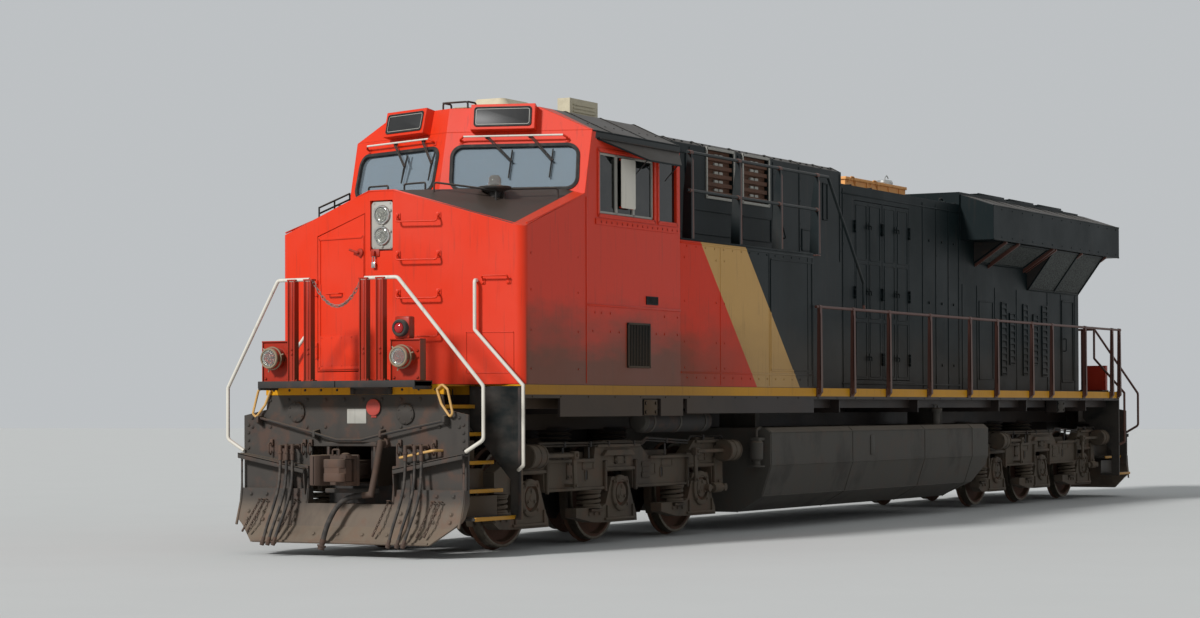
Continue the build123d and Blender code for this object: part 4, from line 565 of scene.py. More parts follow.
class Finish:
    """All finishes, each made once."""

    def __init__(self) -> None:
        """Build every material of the locomotive."""
        # Sprayed enamel on body sheets
        self.red = Enamel("red_enamel", Paint.RED).build()
        self.cab = CabPaint("cab_enamel", Paint.RED).build()
        dull = {"sheen": 0.12, "roughness": 0.4}
        self.black = Enamel("black_enamel", Paint.BLACK, fade=0.004, **dull).build()
        worn = {"dust": "#57504A", "dust_share": 0.6}
        self.step = Enamel("step_enamel", Paint.BLACK, sheen=0.15, **worn).build()
        self.livery = Livery("side_enamel", Paint.BLACK, fade=0.012, sheen=0.14).build()
        film = {"sheen": 0.12, "grime_and_shade_share": (0.04, 0.45)}
        self.sill = SillPaint("sill_enamel", Paint.BLACK, **film).build()
        self.nose = NosePaint("nose_enamel", Paint.RED).build()
        self.end_rail = EndRailPaint("end_rail_enamel", Paint.WHITE, edge=0.0).build()
        plate = {"upper": Paint.PLATE_GREY, "split": (2.8, 3.0), "sheen": 0.25}
        lamp_box = SplitPaint("lamp_box_enamel", Paint.POST_RED, dust_share=0.05, **plate)
        self.lamp_box = lamp_box.build()
        self.yellow = Enamel("yellow_enamel", Paint.YELLOW, grime_and_shade_share=(0.1, 0.3)).build()
        self.post = Enamel("post_enamel", Paint.POST_RED, sheen=0.25, dust_share=0.12).build()
        self.side_rail = SplitPaint("side_rail_enamel", Paint.BROWN, edge=0.004).build()
        self.brown = Enamel("rail_enamel", Paint.BROWN, dust_share=0.3, edge=0.004).build()
        self.white = Enamel("white_enamel", Paint.WHITE, dust_share=0.1, edge=0.0).build()
        self.tan = Enamel("tan_enamel", Paint.TAN, dust_top=1.4, roughness=0.55).build()
        self.signal = Enamel("signal_enamel", Paint.SIGNAL, dust_share=0.2, edge=0.0).build()
        self.cream_rail = Enamel("cream_enamel", Paint.CREAM, dust_share=0.1, edge=0.0).build()
        self.grey = Enamel("grey_enamel", Paint.GREY, dust_share=0.0, edge=0.0).build()
        self.lamp_tan = Enamel("lamp_enamel", Paint.LAMP_TAN, dust_share=0.1, edge=0.0).build()
        self.cabin = Enamel("cabin_enamel", Paint.CABIN, dust_share=0.0, edge=0.0).build()
        # Cast steel of trucks, couplers and the plow's rolled plate
        self.frame = CastSteel("truck_steel", Paint.FRAME.value, rust_share=0.2).build()
        # The plow's sheet above its bend is darker: painted shade of its shelf.
        bent = {"rust_share": 0.3, "upper": "#3A3530"}
        self.plow = CastSteel("plow_steel", Paint.PLOW.value, **bent).build()
        self.tank = CastSteel("tank_steel", Paint.TANK.value, rust_share=0.1, grain=0.012).build()
        self.coupler = CastSteel("coupler_steel", "#4A392F", "#5C4030", 0.5).build()
        self.dark = CastSteel("dark_steel", "#2B2826", rust_share=0.2).build()
        self.rust = CastSteel("louvre_steel", "#5A3A28", rust_share=0.5).build()
        self.chain = CastSteel("chain_steel", "#8A8078", rust_share=0.5, grain=0.003).build()
        self.horn = CastSteel("horn_casting", "#7A7266", rust_share=0.2, grain=0.004).build()
        # Bare rolled steel where the wheel runs on the rail, and spun aluminium of the lamps
        self.tread = BareMetal("tread_steel", "#7A7266", 0.38).build()
        self.mirror = BareMetal("mirror_aluminium", "#E8E8E6", 0.06).build()
        self.spun = BareMetal("lamp_aluminium", "#C9C8C4", 0.22).build()
        # Rubber of gaskets and hoses, moulded plastic of the roof units
        self.rubber = Rubber("gasket_rubber").build()
        self.hose = Rubber("hose_rubber", "#2A2623", dust=0.45).build()
        self.board = Rubber("board_plastic", "#161616", 0.45, 0.03).build()
        self.plastic = Rubber("unit_plastic", Paint.BEIGE.value, 0.5, 0.2).build()
        self.red_lens = Rubber("red_lens", "#A3181B", 0.12, 0.05).build()
        # Glass of the cab and the lamps
        # Cab glass: the pale blue-grey front tint is partly painted sky reflection; the dark side
        # tint is painted shade.
        self.glass = Glazing("cab_glass", "#AEBEC9", 0.6, "#1D2423", mirror=0.5).build()
        self.lens = Glazing("lamp_glass").build()
        self.cloth = SeatCloth("seat_cloth").build()
        self.mesh = ScreenMesh("screen_mesh").build()
        self.grip = ScreenMesh("tread_plate", "#4B4640", 0.045).build()


@dataclass(frozen=True)
class Face:
    """A flat face of the body, with its own axes."""

    origin: Point
    across: Point
    up: Point = UP
    sign: int = 1

    @property
    def out(self) -> Vector:
        """Give the direction away from the face."""
        return Vector(self.across).cross(Vector(self.up)).normalized()

    def at(self, across: float, up: float, out: float = 0.0) -> Vector:
        """Give a point from its places along the face's axes.

        Args:
            across: how far along the first axis, against it where the sign is -1.
            up: how far along the second axis.
            out: how far away from the face.

        Returns:
            The point.
        """
        place = Vector(self.origin) + Vector(self.across).normalized() * self.sign * across
        return place + Vector(self.up).normalized() * up + self.out * out

    def outline(self, u: Span, v: Span, radius: float = 0.0, out: float = 0.0) -> list[Vector]:
        """Give a rectangle's outline with rounded corners.

        Args:
            u: its two ends across, in any order.
            v: its span up.
            radius: its corners' radius.
            out: how far it stands off the face.

        Returns:
            The outline's points.
        """
        near, far = sorted(self.sign * end for end in u)
        corners = ((far, v[1]), (near, v[1]), (near, v[0]), (far, v[0]))
        if not radius:
            return [self.at(self.sign * across, up, out) for across, up in corners]
        points = []
        for number, (across, up) in enumerate(corners):
            middle_u = across - math.copysign(radius, across - (near + far) / 2)
            middle_v = up - math.copysign(radius, up - sum(v) / 2)
            for step in range(7):
                angle = math.radians(90 * number + 15 * step)
                place = self.sign * (middle_u + radius * math.cos(angle))
                points.append(self.at(place, middle_v + radius * math.sin(angle), out))
        return points


class Form:
    """A mesh in the making."""

    SHARP = math.radians(32)

    def __init__(self) -> None:
        """Start an empty mesh."""
        self.mesh = bmesh.new()

    def soften(self, verts: Iterable[bmesh.types.BMVert], width: float) -> None:
        """Bevel the edges between some vertices.

        Args:
            verts: the vertices.
            width: the bevel's width.
        """
        inside = set(verts)
        edges = [e for e in self.mesh.edges if inside.issuperset(e.verts)]
        shape = {"segments": 2, "profile": 0.5, "affect": "EDGES", "material": -1}
        bmesh.ops.bevel(self.mesh, geom=edges, offset=width, **shape)

    def block(self, x: Span, y: Span, z: Span, bevel: float = 0.0) -> None:
        """Add a block with eased edges.

        Args:
            x: its two ends along X, in any order.
            y: its two ends along Y.
            z: its two ends along Z.
            bevel: the width of its eased edges.
        """
        verts = bmesh.ops.create_cube(self.mesh, size=1.0)["verts"]
        size, middle = zip(*((abs(b - a), (a + b) / 2) for a, b in (x, y, z)))
        bmesh.ops.scale(self.mesh, vec=size, verts=verts)
        bmesh.ops.translate(self.mesh, vec=middle, verts=verts)
        if bevel:
            self.soften(verts, bevel)

    def plate(self, outline: Sequence[Point], along: Point, bevel: float = 0.0) -> None:
        """Add a prism from a flat outline.

        Args:
            outline: the corner points, in order.
            along: the vector that it is extruded by.
            bevel: the width of its eased edges.
        """
        verts = [self.mesh.verts.new(p) for p in outline]
        face = self.mesh.faces.new(verts)
        made = bmesh.ops.extrude_face_region(self.mesh, geom=[face])["geom"]
        moved = [v for v in made if isinstance(v, bmesh.types.BMVert)]
        bmesh.ops.translate(self.mesh, vec=along, verts=moved)
        if bevel:
            self.soften(verts + moved, bevel)

    def panel(
        self,
        face: Face,
        u: Span,
        v: Span,
        proud: float,
        bevel: float = 0.002,
        radius: float = 0.0,
        back: float = -SUNK,
    ) -> None:
        """Add a raised panel to a face.

        Args:
            face: the face that carries it.
            u: its two ends across.
            v: its span up.
            proud: how far its front stands off the face.
            bevel: the width of its eased edges.
            radius: its corners' radius.
            back: how far its back stands off the face.
        """
        self.plate(face.outline(u, v, radius, back), face.out * (proud - back), bevel)

    def rim(
        self,
        face: Face,
        u: Span,
        v: Span,
        proud: float,
        width: float,
        radius: float = 0.0,
        bevel: float = 0.003,
        back: float = -SUNK,
    ) -> None:
        """Add a frame around a rectangle on a face.

        Args:
            face: the face that carries it.
            u: its two outer ends across.
            v: its outer span up.
            proud: how far its front stands off the face.
            width: how wide it is.
            radius: its outer corners' radius.
            bevel: the width of its eased edges.
            back: how far its back stands off the face.
        """
        inside = grown(u, -width), (v[0] + width, v[1] - width)
        inner = max(radius - width, 0.001) if radius else 0.0
        rings = (
            (u, v, radius, back),
            (u, v, radius, proud),
            (*inside, inner, proud),
            (*inside, inner, back),
        )
        loops = [[self.mesh.verts.new(p) for p in face.outline(*ring)] for ring in rings]
        for loop, after in zip(loops, loops[1:] + loops[:1]):
            for step in range(len(loop)):
                self.mesh.faces.new((loop[step - 1], loop[step], after[step], after[step - 1]))
        if bevel:
            self.soften(loops[1] + loops[2], bevel)

    def ring(self, at: Vector, ahead: Vector, radius: float, sides: int) -> list:
        """Add a ring of vertices square to a direction.

        Args:
            at: its middle.
            ahead: the direction.
            radius: its radius.
            sides: how many vertices it has.

        Returns:
            The vertices in order.
        """
        turn = ahead.to_track_quat("Z", "Y").to_matrix()
        made = []
        for step in range(sides):
            angle = math.tau * step / sides
            out = Vector((math.cos(angle) * radius, math.sin(angle) * radius, 0))
            made.append(self.mesh.verts.new(at + turn @ out))
        return made

    def tube(
        self, route: Sequence[Point], radius: float, sides: int = 8, bend: float = 0.0
    ) -> None:
        """Add a round bar along a route.

        Args:
            route: the corner points.
            radius: the bar's radius.
            sides: how many facets go round it.
            bend: the radius that its corners are bent to.
        """
        points = rounded(route, bend) if bend else [Vector(p) for p in route]
        rings = []
        for at, point in enumerate(points):
            before = point - points[max(at - 1, 0)]
            after = points[min(at + 1, len(points) - 1)] - point
            ahead = (before.normalized() + after.normalized()).normalized()
            made = self.ring(point, ahead, radius, sides)
            if rings:
                last = rings[-1]
                made = nearest_turn(last, made)
                for i in range(sides):
                    j = (i + 1) % sides
                    self.mesh.faces.new((last[i], last[j], made[j], made[i]))
            rings.append(made)
        self.mesh.faces.new(rings[0][::-1])
        self.mesh.faces.new(rings[-1])

    def hoop(
        self,
        start: Point,
        end: Point,
        rise: Point,
        radius: float,
        bend: float = 0.02,
        sides: int = 8,
    ) -> None:
        """Add a bent bar that rises from one foot and comes down to another.

        Args:
            start: one foot.
            end: the other foot.
            rise: how it stands off them.
            radius: the bar's radius.
            bend: the radius that its corners are bent to.
            sides: how many facets go round it.
        """
        feet = Vector(start), Vector(end)
        tops = [foot + Vector(rise) for foot in feet]
        self.tube([feet[0], *tops, feet[1]], radius, sides, bend)

    def turned(
        self, profile: Sequence[Span], middle: Point, axis: Point, steps: int = 32
    ) -> None:
        """Turn a profile about an axis.

        Args:
            profile: (distance along the axis, radius) pairs.
            middle: a point on the axis.
            axis: its direction.
            steps: how many facets go round.
        """
        ahead = Vector(axis).normalized()
        out = ahead.orthogonal().normalized()
        start = Vector(middle)
        ring = list(profile)
        if ring[0][1] > 0 and ring[-1][1] > 0:
            ring.append(ring[0])
        verts = [self.mesh.verts.new(start + ahead * far + out * radius) for far, radius in ring]
        edges = [self.mesh.edges.new(pair) for pair in zip(verts, verts[1:])]
        turn = {"cent": start, "axis": ahead, "angle": math.tau, "steps": steps}
        bmesh.ops.spin(self.mesh, geom=verts + edges, use_merge=True, **turn)

    def bolts(
        self, places: Iterable[Point], out: Point, radius: float, height: float
    ) -> None:
        """Add hexagonal bolt heads with washers.

        Args:
            places: their middles on the surface.
            out: the direction away from the surface.
            radius: the head's radius.
            height: the head's height.
        """
        ahead = Vector(out).normalized()
        for place in places:
            foot = Vector(place) - ahead * 0.001
            self.tube((foot, foot + ahead * (0.25 * height + 0.001)), radius * 1.5, 12)
            self.tube((foot, foot + ahead * (height + 0.001)), radius, 6)

    def place(
        self,
        name: str,
        material: bpy.types.Material,
        slot: str,
        body: str = "locomotive",
        replaces: Sequence[str] = (),
    ) -> bpy.types.Object:
        """Turn the mesh into a piece that rides on a body.

        Args:
            name: the piece's name.
            material: its finish.
            slot: the record's material slot; not used.
            body: the CAD body that it rides on.
            replaces: the CAD nodes that it stands for.

        Returns:
            The piece.
        """
        bmesh.ops.remove_doubles(self.mesh, verts=self.mesh.verts, dist=1e-6)
        bmesh.ops.translate(self.mesh, vec=(0, 0, RAIL), verts=self.mesh.verts)
        bmesh.ops.recalc_face_normals(self.mesh, faces=self.mesh.faces)
        for face in self.mesh.faces:
            face.smooth = True
        for edge in self.mesh.edges:
            edge.smooth = edge.calc_face_angle(0.0) < self.SHARP
        data = bpy.data.meshes.new(name)
        self.mesh.to_mesh(data)
        self.mesh.free()
        piece = bpy.data.objects.new(name, data)
        bpy.context.scene.collection.objects.link(piece)
        data.materials.append(material)
        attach(piece, body)
        if replaces:
            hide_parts(*replaces)
        LOG.info("placed %s, %d faces", name, len(data.polygons))
        return piece


def grown(span: Span, margin: float) -> Span:
    """Give a span with its ends in order, longer by a margin at each end."""
    low, high = sorted(span)
    return (low - margin, high + margin)


def about(middle: float, half: float) -> Span:
    """Give the span of a half width about a middle."""
    return (middle - half, middle + half)


def mirrored(sign: int, near: float, far: float) -> Span:
    """Give a span as it lies on the side or the end of a sign."""
    return (sign * near, sign * far)


def drum(radius: float, span: Span, bore: float = 0.0) -> list[Span]:
    """Give the profile of a plain drum or collar.

    Args:
        radius: its outer radius.
        span: its two ends along the axis.
        bore: its inner radius.

    Returns:
        The profile's (distance along the axis, radius) pairs.
    """
    foot, head = span
    return [(foot, bore), (foot, radius), (head, radius), (head, bore)]


def around(middle: Point, radius: float, angles: Iterable[float], flat: Point) -> list[Vector]:
    """Give places on an upright circle.

    Args:
        middle: the circle's middle.
        radius: its radius.
        angles: the angles above the level, in radians.
        flat: the level direction in its plane.

    Returns:
        The places.
    """
    spokes = [Vector(flat) * math.cos(a) + Vector((0, 0, math.sin(a))) for a in angles]
    return [Vector(middle) + spoke * radius for spoke in spokes]


def rounded(route: Sequence[Point], bend: float, steps: int = 5) -> list[Vector]:
    """Bend a route's corners to arcs.

    Args:
        route: the corner points.
        bend: the arcs' radius.
        steps: the number of points on each arc, less one.

    Returns:
        The bent route's points.
    """
    corners = [Vector(p) for p in route]
    points = [corners[0]]
    for before, at, after in zip(corners, corners[1:], corners[2:]):
        into, out = (at - before), (after - at)
        reach = bend * math.tan(into.angle(out) / 2)
        reach = min(reach, 0.48 * into.length, 0.48 * out.length)
        start, end = at - into.normalized() * reach, at + out.normalized() * reach
        for step in range(steps + 1):
            share = step / steps
            points.append(start.lerp(at, share).lerp(at.lerp(end, share), share))
    points.append(corners[-1])
    return points


def nearest_turn(last: list, made: list) -> list:
    """Turn a new ring's order so that it starts beside the last ring's start.

    Args:
        last: the ring before it.
        made: the new ring.

    Returns:
        The new ring, reordered.
    """
    start = min(range(len(made)), key=lambda i: (made[i].co - last[0].co).length)
    ring = made[start:] + made[:start]
    back = [ring[0]] + ring[1:][::-1]
    gaps = [sum((a.co - b.co).length for a, b in zip(last, turn)) for turn in (ring, back)]
    return ring if gaps[0] <= gaps[1] else back


# The body's faces: the nose's front, the raked windshields and the upright sides
NOSE_FACE = {
    side: Face((NOSE_TIP, side * 0.16, 0.0), (-side * 0.355, 1.364, 0)) for side in SIDES
}
NOSE_FLAT = Face((NOSE_TIP, 0, 0), ACROSS)


def screen_face(side: int) -> Face:
    """Give one windshield's raked face, across from the ridge and up from its foot."""
    across = Vector((-RIDGE * side, 1, 0))
    rake = Vector((-RAKE, 0, 1))
    up = rake - rake.dot(across.normalized()) * across.normalized()
    return Face((8.988, 0, 3.84), tuple(across), tuple(up))


def side_face(side: int, y: float, x: float = 0.0) -> Face:
    """Give an upright side face whose places across are counted along X.

    Args:
        side: 1 for the left side, -1 for the right one.
        y: its half width.
        x: where the count along X starts.

    Returns:
        The face.
    """
    return Face((x, side * y, 0), (-side, 0, 0), sign=-side)


def side_faces(y: float) -> tuple[Face, Face]:
    """Give the left and the right face at a half width."""
    return side_face(1, y), side_face(-1, y)


@dataclass(frozen=True)
class Headlights:
    """Twin sealed beams on a plate in the nose's recess."""

    finish: Finish
    face_x: float = 10.08
    heights: tuple[float, float] = (3.52, 3.30)
    radius: float = 0.106
    plate: tuple[Span, Span] = ((-0.135, 0.135), (3.16, 3.66))

    def build(self) -> None:
        """Build the plate, the bowls and the lenses."""
        face = Face((self.face_x, 0, 0), ACROSS)
        form = Form()
        form.panel(face, *self.plate, 0.022, 0.004, 0.04, 0.0)
        for z in self.heights:
            ears = around(face.at(0, z, 0.03), 0.112, (0.4, 2.6, -1.57), ACROSS)
            form.bolts(ears, AHEAD, 0.011, 0.008)
        corners = [face.at(u, v, 0.022) for u in (-0.1, 0.1) for v in (3.18, 3.64)]
        form.bolts(corners, AHEAD, 0.009, 0.006)
        form.place("headlight_plate", self.finish.grey, "horn_metal")
        ring, bowl, lens = (Form() for _ in range(3))
        for z in self.heights:
            sealed_beam(ring, bowl, lens, (self.face_x + 0.02, 0.0, z), AHEAD, 0.78 * self.radius)
        ring.place("headlight_rings", self.finish.spun, "horn_metal")
        bowl.place("headlight_bowls", self.finish.mirror, "horn_metal")
        lens.place("headlight_lenses", self.finish.lens, "lens_glass", replaces=("lamp_lenses",))


def sealed_beam(
    ring: Form, bowl: Form, lens: Form, at: Point, ahead: Point, radius: float
) -> None:
    """Add a lamp: its clamping ring, its mirror and its ribbed lens.

    Args:
        ring: the mesh that takes the ring.
        bowl: the mesh that takes the mirror.
        lens: the mesh that takes the lens.
        at: the middle of the lamp's back.
        ahead: where it shines.
        radius: the lens's radius.
    """
    wide = radius * 1.22
    profile = [
        (0.0, wide), (0.018, wide), (0.026, wide * 0.95), (0.026, radius), (0.012, radius * 0.97),
        (0.0, radius * 0.97),
    ]
    ring.turned(profile, at, ahead, 40)
    bowl.turned(
        [
            (0.0, 0.0), (0.001, radius * 0.3), (0.004, radius * 0.7), (0.010, radius * 0.98),
            (-0.001, radius * 0.98), (-0.001, 0.0),
        ],
        at,
        ahead,
        32,
    )
    bowl.turned([(0.001, 0.0), (0.012, radius * 0.08), (0.016, 0.0)], at, ahead, 12)
    dome = [
        (0.015, 0.0), (0.015, radius * 0.98), (0.018, radius * 0.97), (0.026, radius * 0.7),
        (0.030, radius * 0.35), (0.031, 0.0),
    ]
    lens.turned(dome, at, ahead, 32)
    out = Vector(ahead).orthogonal().normalized()
    for rib in (-0.6, -0.36, -0.12, 0.12, 0.36, 0.6):
        half = math.sqrt(1 - rib * rib) * radius * 0.85
        middle = Vector(at) + Vector(ahead) * 0.027 + Vector(ACROSS) * rib * radius
        lens.tube((middle - Vector((0, 0, half)), middle + Vector((0, 0, half))), 0.0022, 4)


@dataclass(frozen=True)
class NoseTrim:
    """Grab irons, door fittings, seams and rods of the nose."""

    finish: Finish
    iron_rows: tuple[float, ...] = (3.489, 3.090, 2.690, 2.288)
    iron_span: Span = (0.042, 0.486)
    iron_radius: float = 0.0095
    short_iron: tuple[Span, float] = ((0.969, 1.245), 2.81)
    panel: tuple[Span, Span] = ((0.78, 1.30), (1.85, 2.28))
    top_rod_spans: tuple[tuple[Span, Span], ...] = (
        ((9.80, 0.45), (9.42, 0.98)),
        ((9.32, 1.02), (8.80, 1.38)),
        ((9.20, -0.04), (9.03, -0.42)),
        ((8.85, -0.75), (8.68, -1.12)),
    )

    def build(self) -> None:
        """Build all pieces of the nose."""
        self.irons()
        self.door()
        self.seams()
        self.top_rods()

    def irons(self) -> None:
        """Build the left front face's grab irons and the seam of its panel."""
        face = NOSE_FACE[1]
        form = Form()
        for z in self.iron_rows:
            for u in self.iron_span:
                form.panel(face, about(u, 0.028), (z - 0.03, z + 0.045), 0.008, 0.002, 0.012)
                form.bolts([face.at(u, z + 0.022, 0.008)], face.out, 0.012, 0.01)
            u, w = self.iron_span
            route = [
                face.at(u, z),
                face.at(u, z - 0.004, 0.055),
                face.at(u, z - 0.052, 0.075),
                face.at(w, z - 0.052, 0.075),
                face.at(w, z - 0.004, 0.055),
                face.at(w, z),
            ]
            form.tube(route, self.iron_radius, 10, 0.025)
        (u, w), z = self.short_iron
        for foot in (u, w):
            form.panel(face, about(foot, 0.025), (z - 0.04, z + 0.03), 0.008, 0.002, 0.012)
            form.bolts([face.at(foot, z - 0.02, 0.008)], face.out, 0.010, 0.008)
        route = [
            face.at(u, z), face.at(u, z + 0.05, 0.06), face.at(w, z + 0.05, 0.06), face.at(w, z)
        ]
        form.tube(route, self.iron_radius, 10, 0.02)
        form.place("nose_grab_irons", self.finish.red, "red_paint")
        seam = Form()
        across, up = self.panel
        seam.rim(face, across, up, 0.005, 0.010, 0.01, 0.002)
        seam.place("nose_panel_seam", self.finish.red, "red_paint")

    def door(self) -> None:
        """Build the nose door's fittings: edge frame, kick plate, latch and padlock."""
        far = NOSE_FACE[-1]
        z = 3.13
        form = Form()
        form.rim(far, (-0.800, -0.072), (DECK + 0.165, DECK + 1.58), 0.010, 0.03, 0.02)
        form.panel(far, (-0.77, -0.10), (DECK + 0.19, DECK + 0.53), 0.006, 0.002, 0.008)
        places = [
            far.at(u, DECK + v, 0.006)
            for u in (-0.75, -0.59, -0.43, -0.27, -0.12)
            for v in (0.21, 0.51)
        ]
        form.bolts(places, far.out, 0.007, 0.004)
        form.hoop(far.at(-0.62, z - 0.42), far.at(-0.42, z - 0.42), far.out * 0.06, 0.009, sides=10)
        form.place("nose_door_trim", self.finish.red, "red_paint", "nose_door")
        latch = Form()
        latch.turned(
            [(0.0, 0.0), (0.0, 0.045), (0.018, 0.045), (0.024, 0.03), (0.03, 0.0)],
            far.at(-0.115, z, 0.008), far.out, 24,
        )
        latch.tube(
            [far.at(-0.115, z, 0.03), far.at(-0.115, z, 0.055), far.at(-0.235, z + 0.035, 0.06)],
            0.013, 10, 0.02,
        )
        latch.place("nose_door_latch", self.finish.post, "red_paint", "nose_door")
        hasp = Form()
        hasp.panel(NOSE_FLAT, (-0.13, -0.02), (z - 0.05, z + 0.03), 0.010, 0.003, 0.012)
        hasp.block((10.125, 10.165), (-0.085, -0.065), (z - 0.045, z + 0.01), 0.004)
        hasp.place("nose_hasp", self.finish.post, "red_paint")
        lock = Form()
        lock.block((10.135, 10.160), (-0.105, -0.055), (z - 0.17, z - 0.105), 0.008)
        feet = [(10.1475, y, z - 0.11) for y in (-0.095, -0.065)]
        lock.hoop(*feet, (0, 0, 0.065), 0.0045, 0.014)
        lock.place("nose_padlock", self.finish.spun, "horn_metal")

    def seams(self) -> None:
        """Build the beads along the nose's edges."""
        form = Form()
        top = [(8.47, 3.792), (9.70, 3.405)]
        for side in SIDES:
            y = side * SIDE
            form.tube([(x, y - side * 0.004, z) for x, z in top], 0.010, 8)
            tip = (NOSE_TIP - 0.005, side * 0.16, 3.772)
            form.tube([(9.74, side * 1.49, 3.375), tip, (NOSE_TIP - 0.005, 0.0, 3.774)], 0.010, 8)
        form.place("nose_edge_beads", self.finish.red, "red_paint")

    def top_rods(self) -> None:
        """Build the black grab rods on the nose's top, before the windshields."""
        form = Form()
        for ends in self.top_rod_spans:
            feet = [(x, y, top_height(x, y) - 0.01) for x, y in ends]
            form.hoop(*feet, (0, 0, 0.11), 0.011, 0.03, 10)
        edge = [Vector((x, -1.45, top_height(x, -SIDE))) for x in (9.17, 8.87, 8.57)]
        for lift in (0.09, 0.155):
            form.tube([p + Vector((0, 0, lift)) for p in (edge[0], edge[2])], 0.011, 8)
        for foot in edge:
            form.tube((foot - Vector((0, 0, 0.01)), foot + Vector((0, 0, 0.16))), 0.010, 8)
        form.block((8.66, 8.82), (-1.44, -1.36), (edge[1].z - 0.01, edge[1].z + 0.11), 0.012)
        form.place("nose_top_rods", self.finish.dark, "hood_paint")
        lamp = Form()
        x, y = 9.34, 0.92
        z = top_height(x, y)
        base = [
            (-0.02, 0.0), (-0.02, 0.055), (0.03, 0.06), (0.075, 0.17), (0.095, 0.175), (0.10, 0.16)
        ]
        lamp.turned([*base, (0.10, 0.0)], (x, y, z), UP, 32)
        lamp.place("beacon_base", self.finish.dark, "hood_paint")
        dome = Form()
        dome.turned(
            [(0.0, 0.0), (0.0, 0.07), (0.08, 0.068), (0.115, 0.045), (0.125, 0.0)],
            (x, y, z + 0.099), UP, 24,
        )
        dome.place("beacon_dome", self.finish.lens, "lens_glass")


def top_height(x: float, y: float) -> float:
    """Give the height of the nose's top.

    Args:
        x: place along the locomotive.
        y: place across it.

    Returns:
        The lowest of the three sloping planes there.
    """
    middle = 3.772 + (3.84 - 3.772) * (NOSE_TIP - x) / (NOSE_TIP - 8.988)
    a = Vector((9.765, SIDE, 3.36))
    normal = (Vector((8.458, SIDE, 3.79)) - a).cross(Vector((NOSE_TIP, 0.16, 3.772)) - a)
    slope = a.z - (normal.x * (x - a.x) + normal.y * (abs(y) - a.y)) / normal.z
    return min(middle, slope)


@dataclass(frozen=True)
class WindshieldTrim:
    """Gaskets, wipers and wiper rails of the two windshields."""

    finish: Finish
    y_span: Span = (0.130, 1.425)
    z_span: Span = (0.025, 0.485)
    corner: float = 0.11
    gasket: float = 0.032

    def build(self) -> None:
        """Build both sides."""
        stretch = math.hypot(1.0, RIDGE)
        lift = math.hypot(1.0, RAKE / stretch)
        gaskets, rails, ends, arms, blades = (Form() for _ in range(5))
        for side in SIDES:
            face = screen_face(side)
            u = grown([side * y * stretch for y in self.y_span], 0.0)
            v = (self.z_span[0] * lift, self.z_span[1] * lift)
            g = self.gasket
            gaskets.rim(face, grown(u, g), grown(v, g), 0.012, g * 0.6, self.corner + g)
            gaskets.rim(
                face, grown(u, 0.5 * g), grown(v, 0.5 * g), 0.016, g * 0.7, self.corner + 0.5 * g,
                back=-0.03,
            )
            top = v[1] + 0.10
            near, far = mirrored(side, 0.26, 1.36)
            rails.tube([face.at(near, top, 0.075), face.at(far, top, 0.075)], 0.0105, 10)
            for u_end, lean in ((near, -0.04), (far, 0.04)):
                foot = u_end + side * lean
                route = [
                    face.at(u_end, top, 0.075), face.at(foot, top - 0.02, 0.045),
                    face.at(foot, top - 0.035),
                ]
                ends.tube(route, 0.012, 8, 0.01)
                ends.panel(face, about(foot, 0.022), (top - 0.06, top - 0.01), 0.008, 0.002, 0.006)
            pivots = ((0.50, 0.78), (0.98, 1.23)) if side > 0 else ((-0.92, -0.68), (-0.42, -0.20))
            for hub, foot in pivots:
                start = face.at(hub, top + 0.012, 0.02)
                end = face.at(foot, v[1] - 0.17, 0.03)
                gap = face.at(0.022, 0, 0) - face.at(0, 0, 0)
                arms.turned(
                    [(0, 0), (0, 0.018), (0.03, 0.016), (0.034, 0)], face.at(hub, top + 0.012),
                    face.out, 16,
                )
                arms.tube([start, face.at(hub + 0.02, top - 0.01, 0.05), end], 0.008, 8, 0.02)
                arms.tube(
                    [start + gap, face.at(hub + 0.045, top - 0.01, 0.05), end + gap], 0.006, 6, 0.02
                )
                arms.tube((end - gap * 0.3, end + gap * 1.3), 0.006, 8)
                low = face.at(foot - 0.015, v[1] - 0.36, 0.012)
                high = face.at(foot + 0.015, v[1] - 0.04, 0.012)
                blades.tube([low, high], 0.009, 6)
                lift_off = face.out * 0.016
                blades.tube(
                    [low + lift_off * 0.3, (low + high) / 2 + lift_off, high + lift_off * 0.3],
                    0.0045, 6, 0.1,
                )
        gaskets.place("windshield_gaskets", self.finish.rubber, "hose_rubber")
        rails.place("wiper_rails", self.finish.white, "rail_paint")
        ends.place("wiper_rail_ends", self.finish.red, "red_paint")
        arms.place("wiper_arms", self.finish.dark, "hood_paint")
        blades.place("wiper_blades", self.finish.rubber, "hose_rubber")


@dataclass(frozen=True)
class NumberBoards:
    """Blank black panels in the number boxes on the gable."""

    finish: Finish
    y_span: Span = (0.320, 0.990)
    z_span: Span = (0.665, 0.950)
    reach: float = 0.110

    def build(self) -> None:
        """Build both panels with their seals."""
        stretch = math.hypot(1.0, RIDGE)
        panels, seals, lines = (Form() for _ in range(3))
        for side in SIDES:
            face = screen_face(side)
            u = grown([side * y * stretch for y in self.y_span], -0.035)
            v = (self.z_span[0] + 0.03, self.z_span[1] - 0.03)
            panels.panel(face, u, v, self.reach + 0.004, 0.002, 0.035, back=self.reach - 0.004)
            seals.rim(face, u, v, self.reach + 0.012, 0.014, 0.035, 0.004, back=self.reach - 0.002)
            u, v = grown(u, -0.022), grown(v, -0.022)
            lines.rim(face, u, v, self.reach + 0.006, 0.006, 0.025, 0.0, back=self.reach + 0.001)
        panels.place("number_panels", self.finish.board, "hood_paint")
        seals.place("number_seals", self.finish.rubber, "hose_rubber")
        lines.place("number_borders", self.finish.grey, "rail_paint")


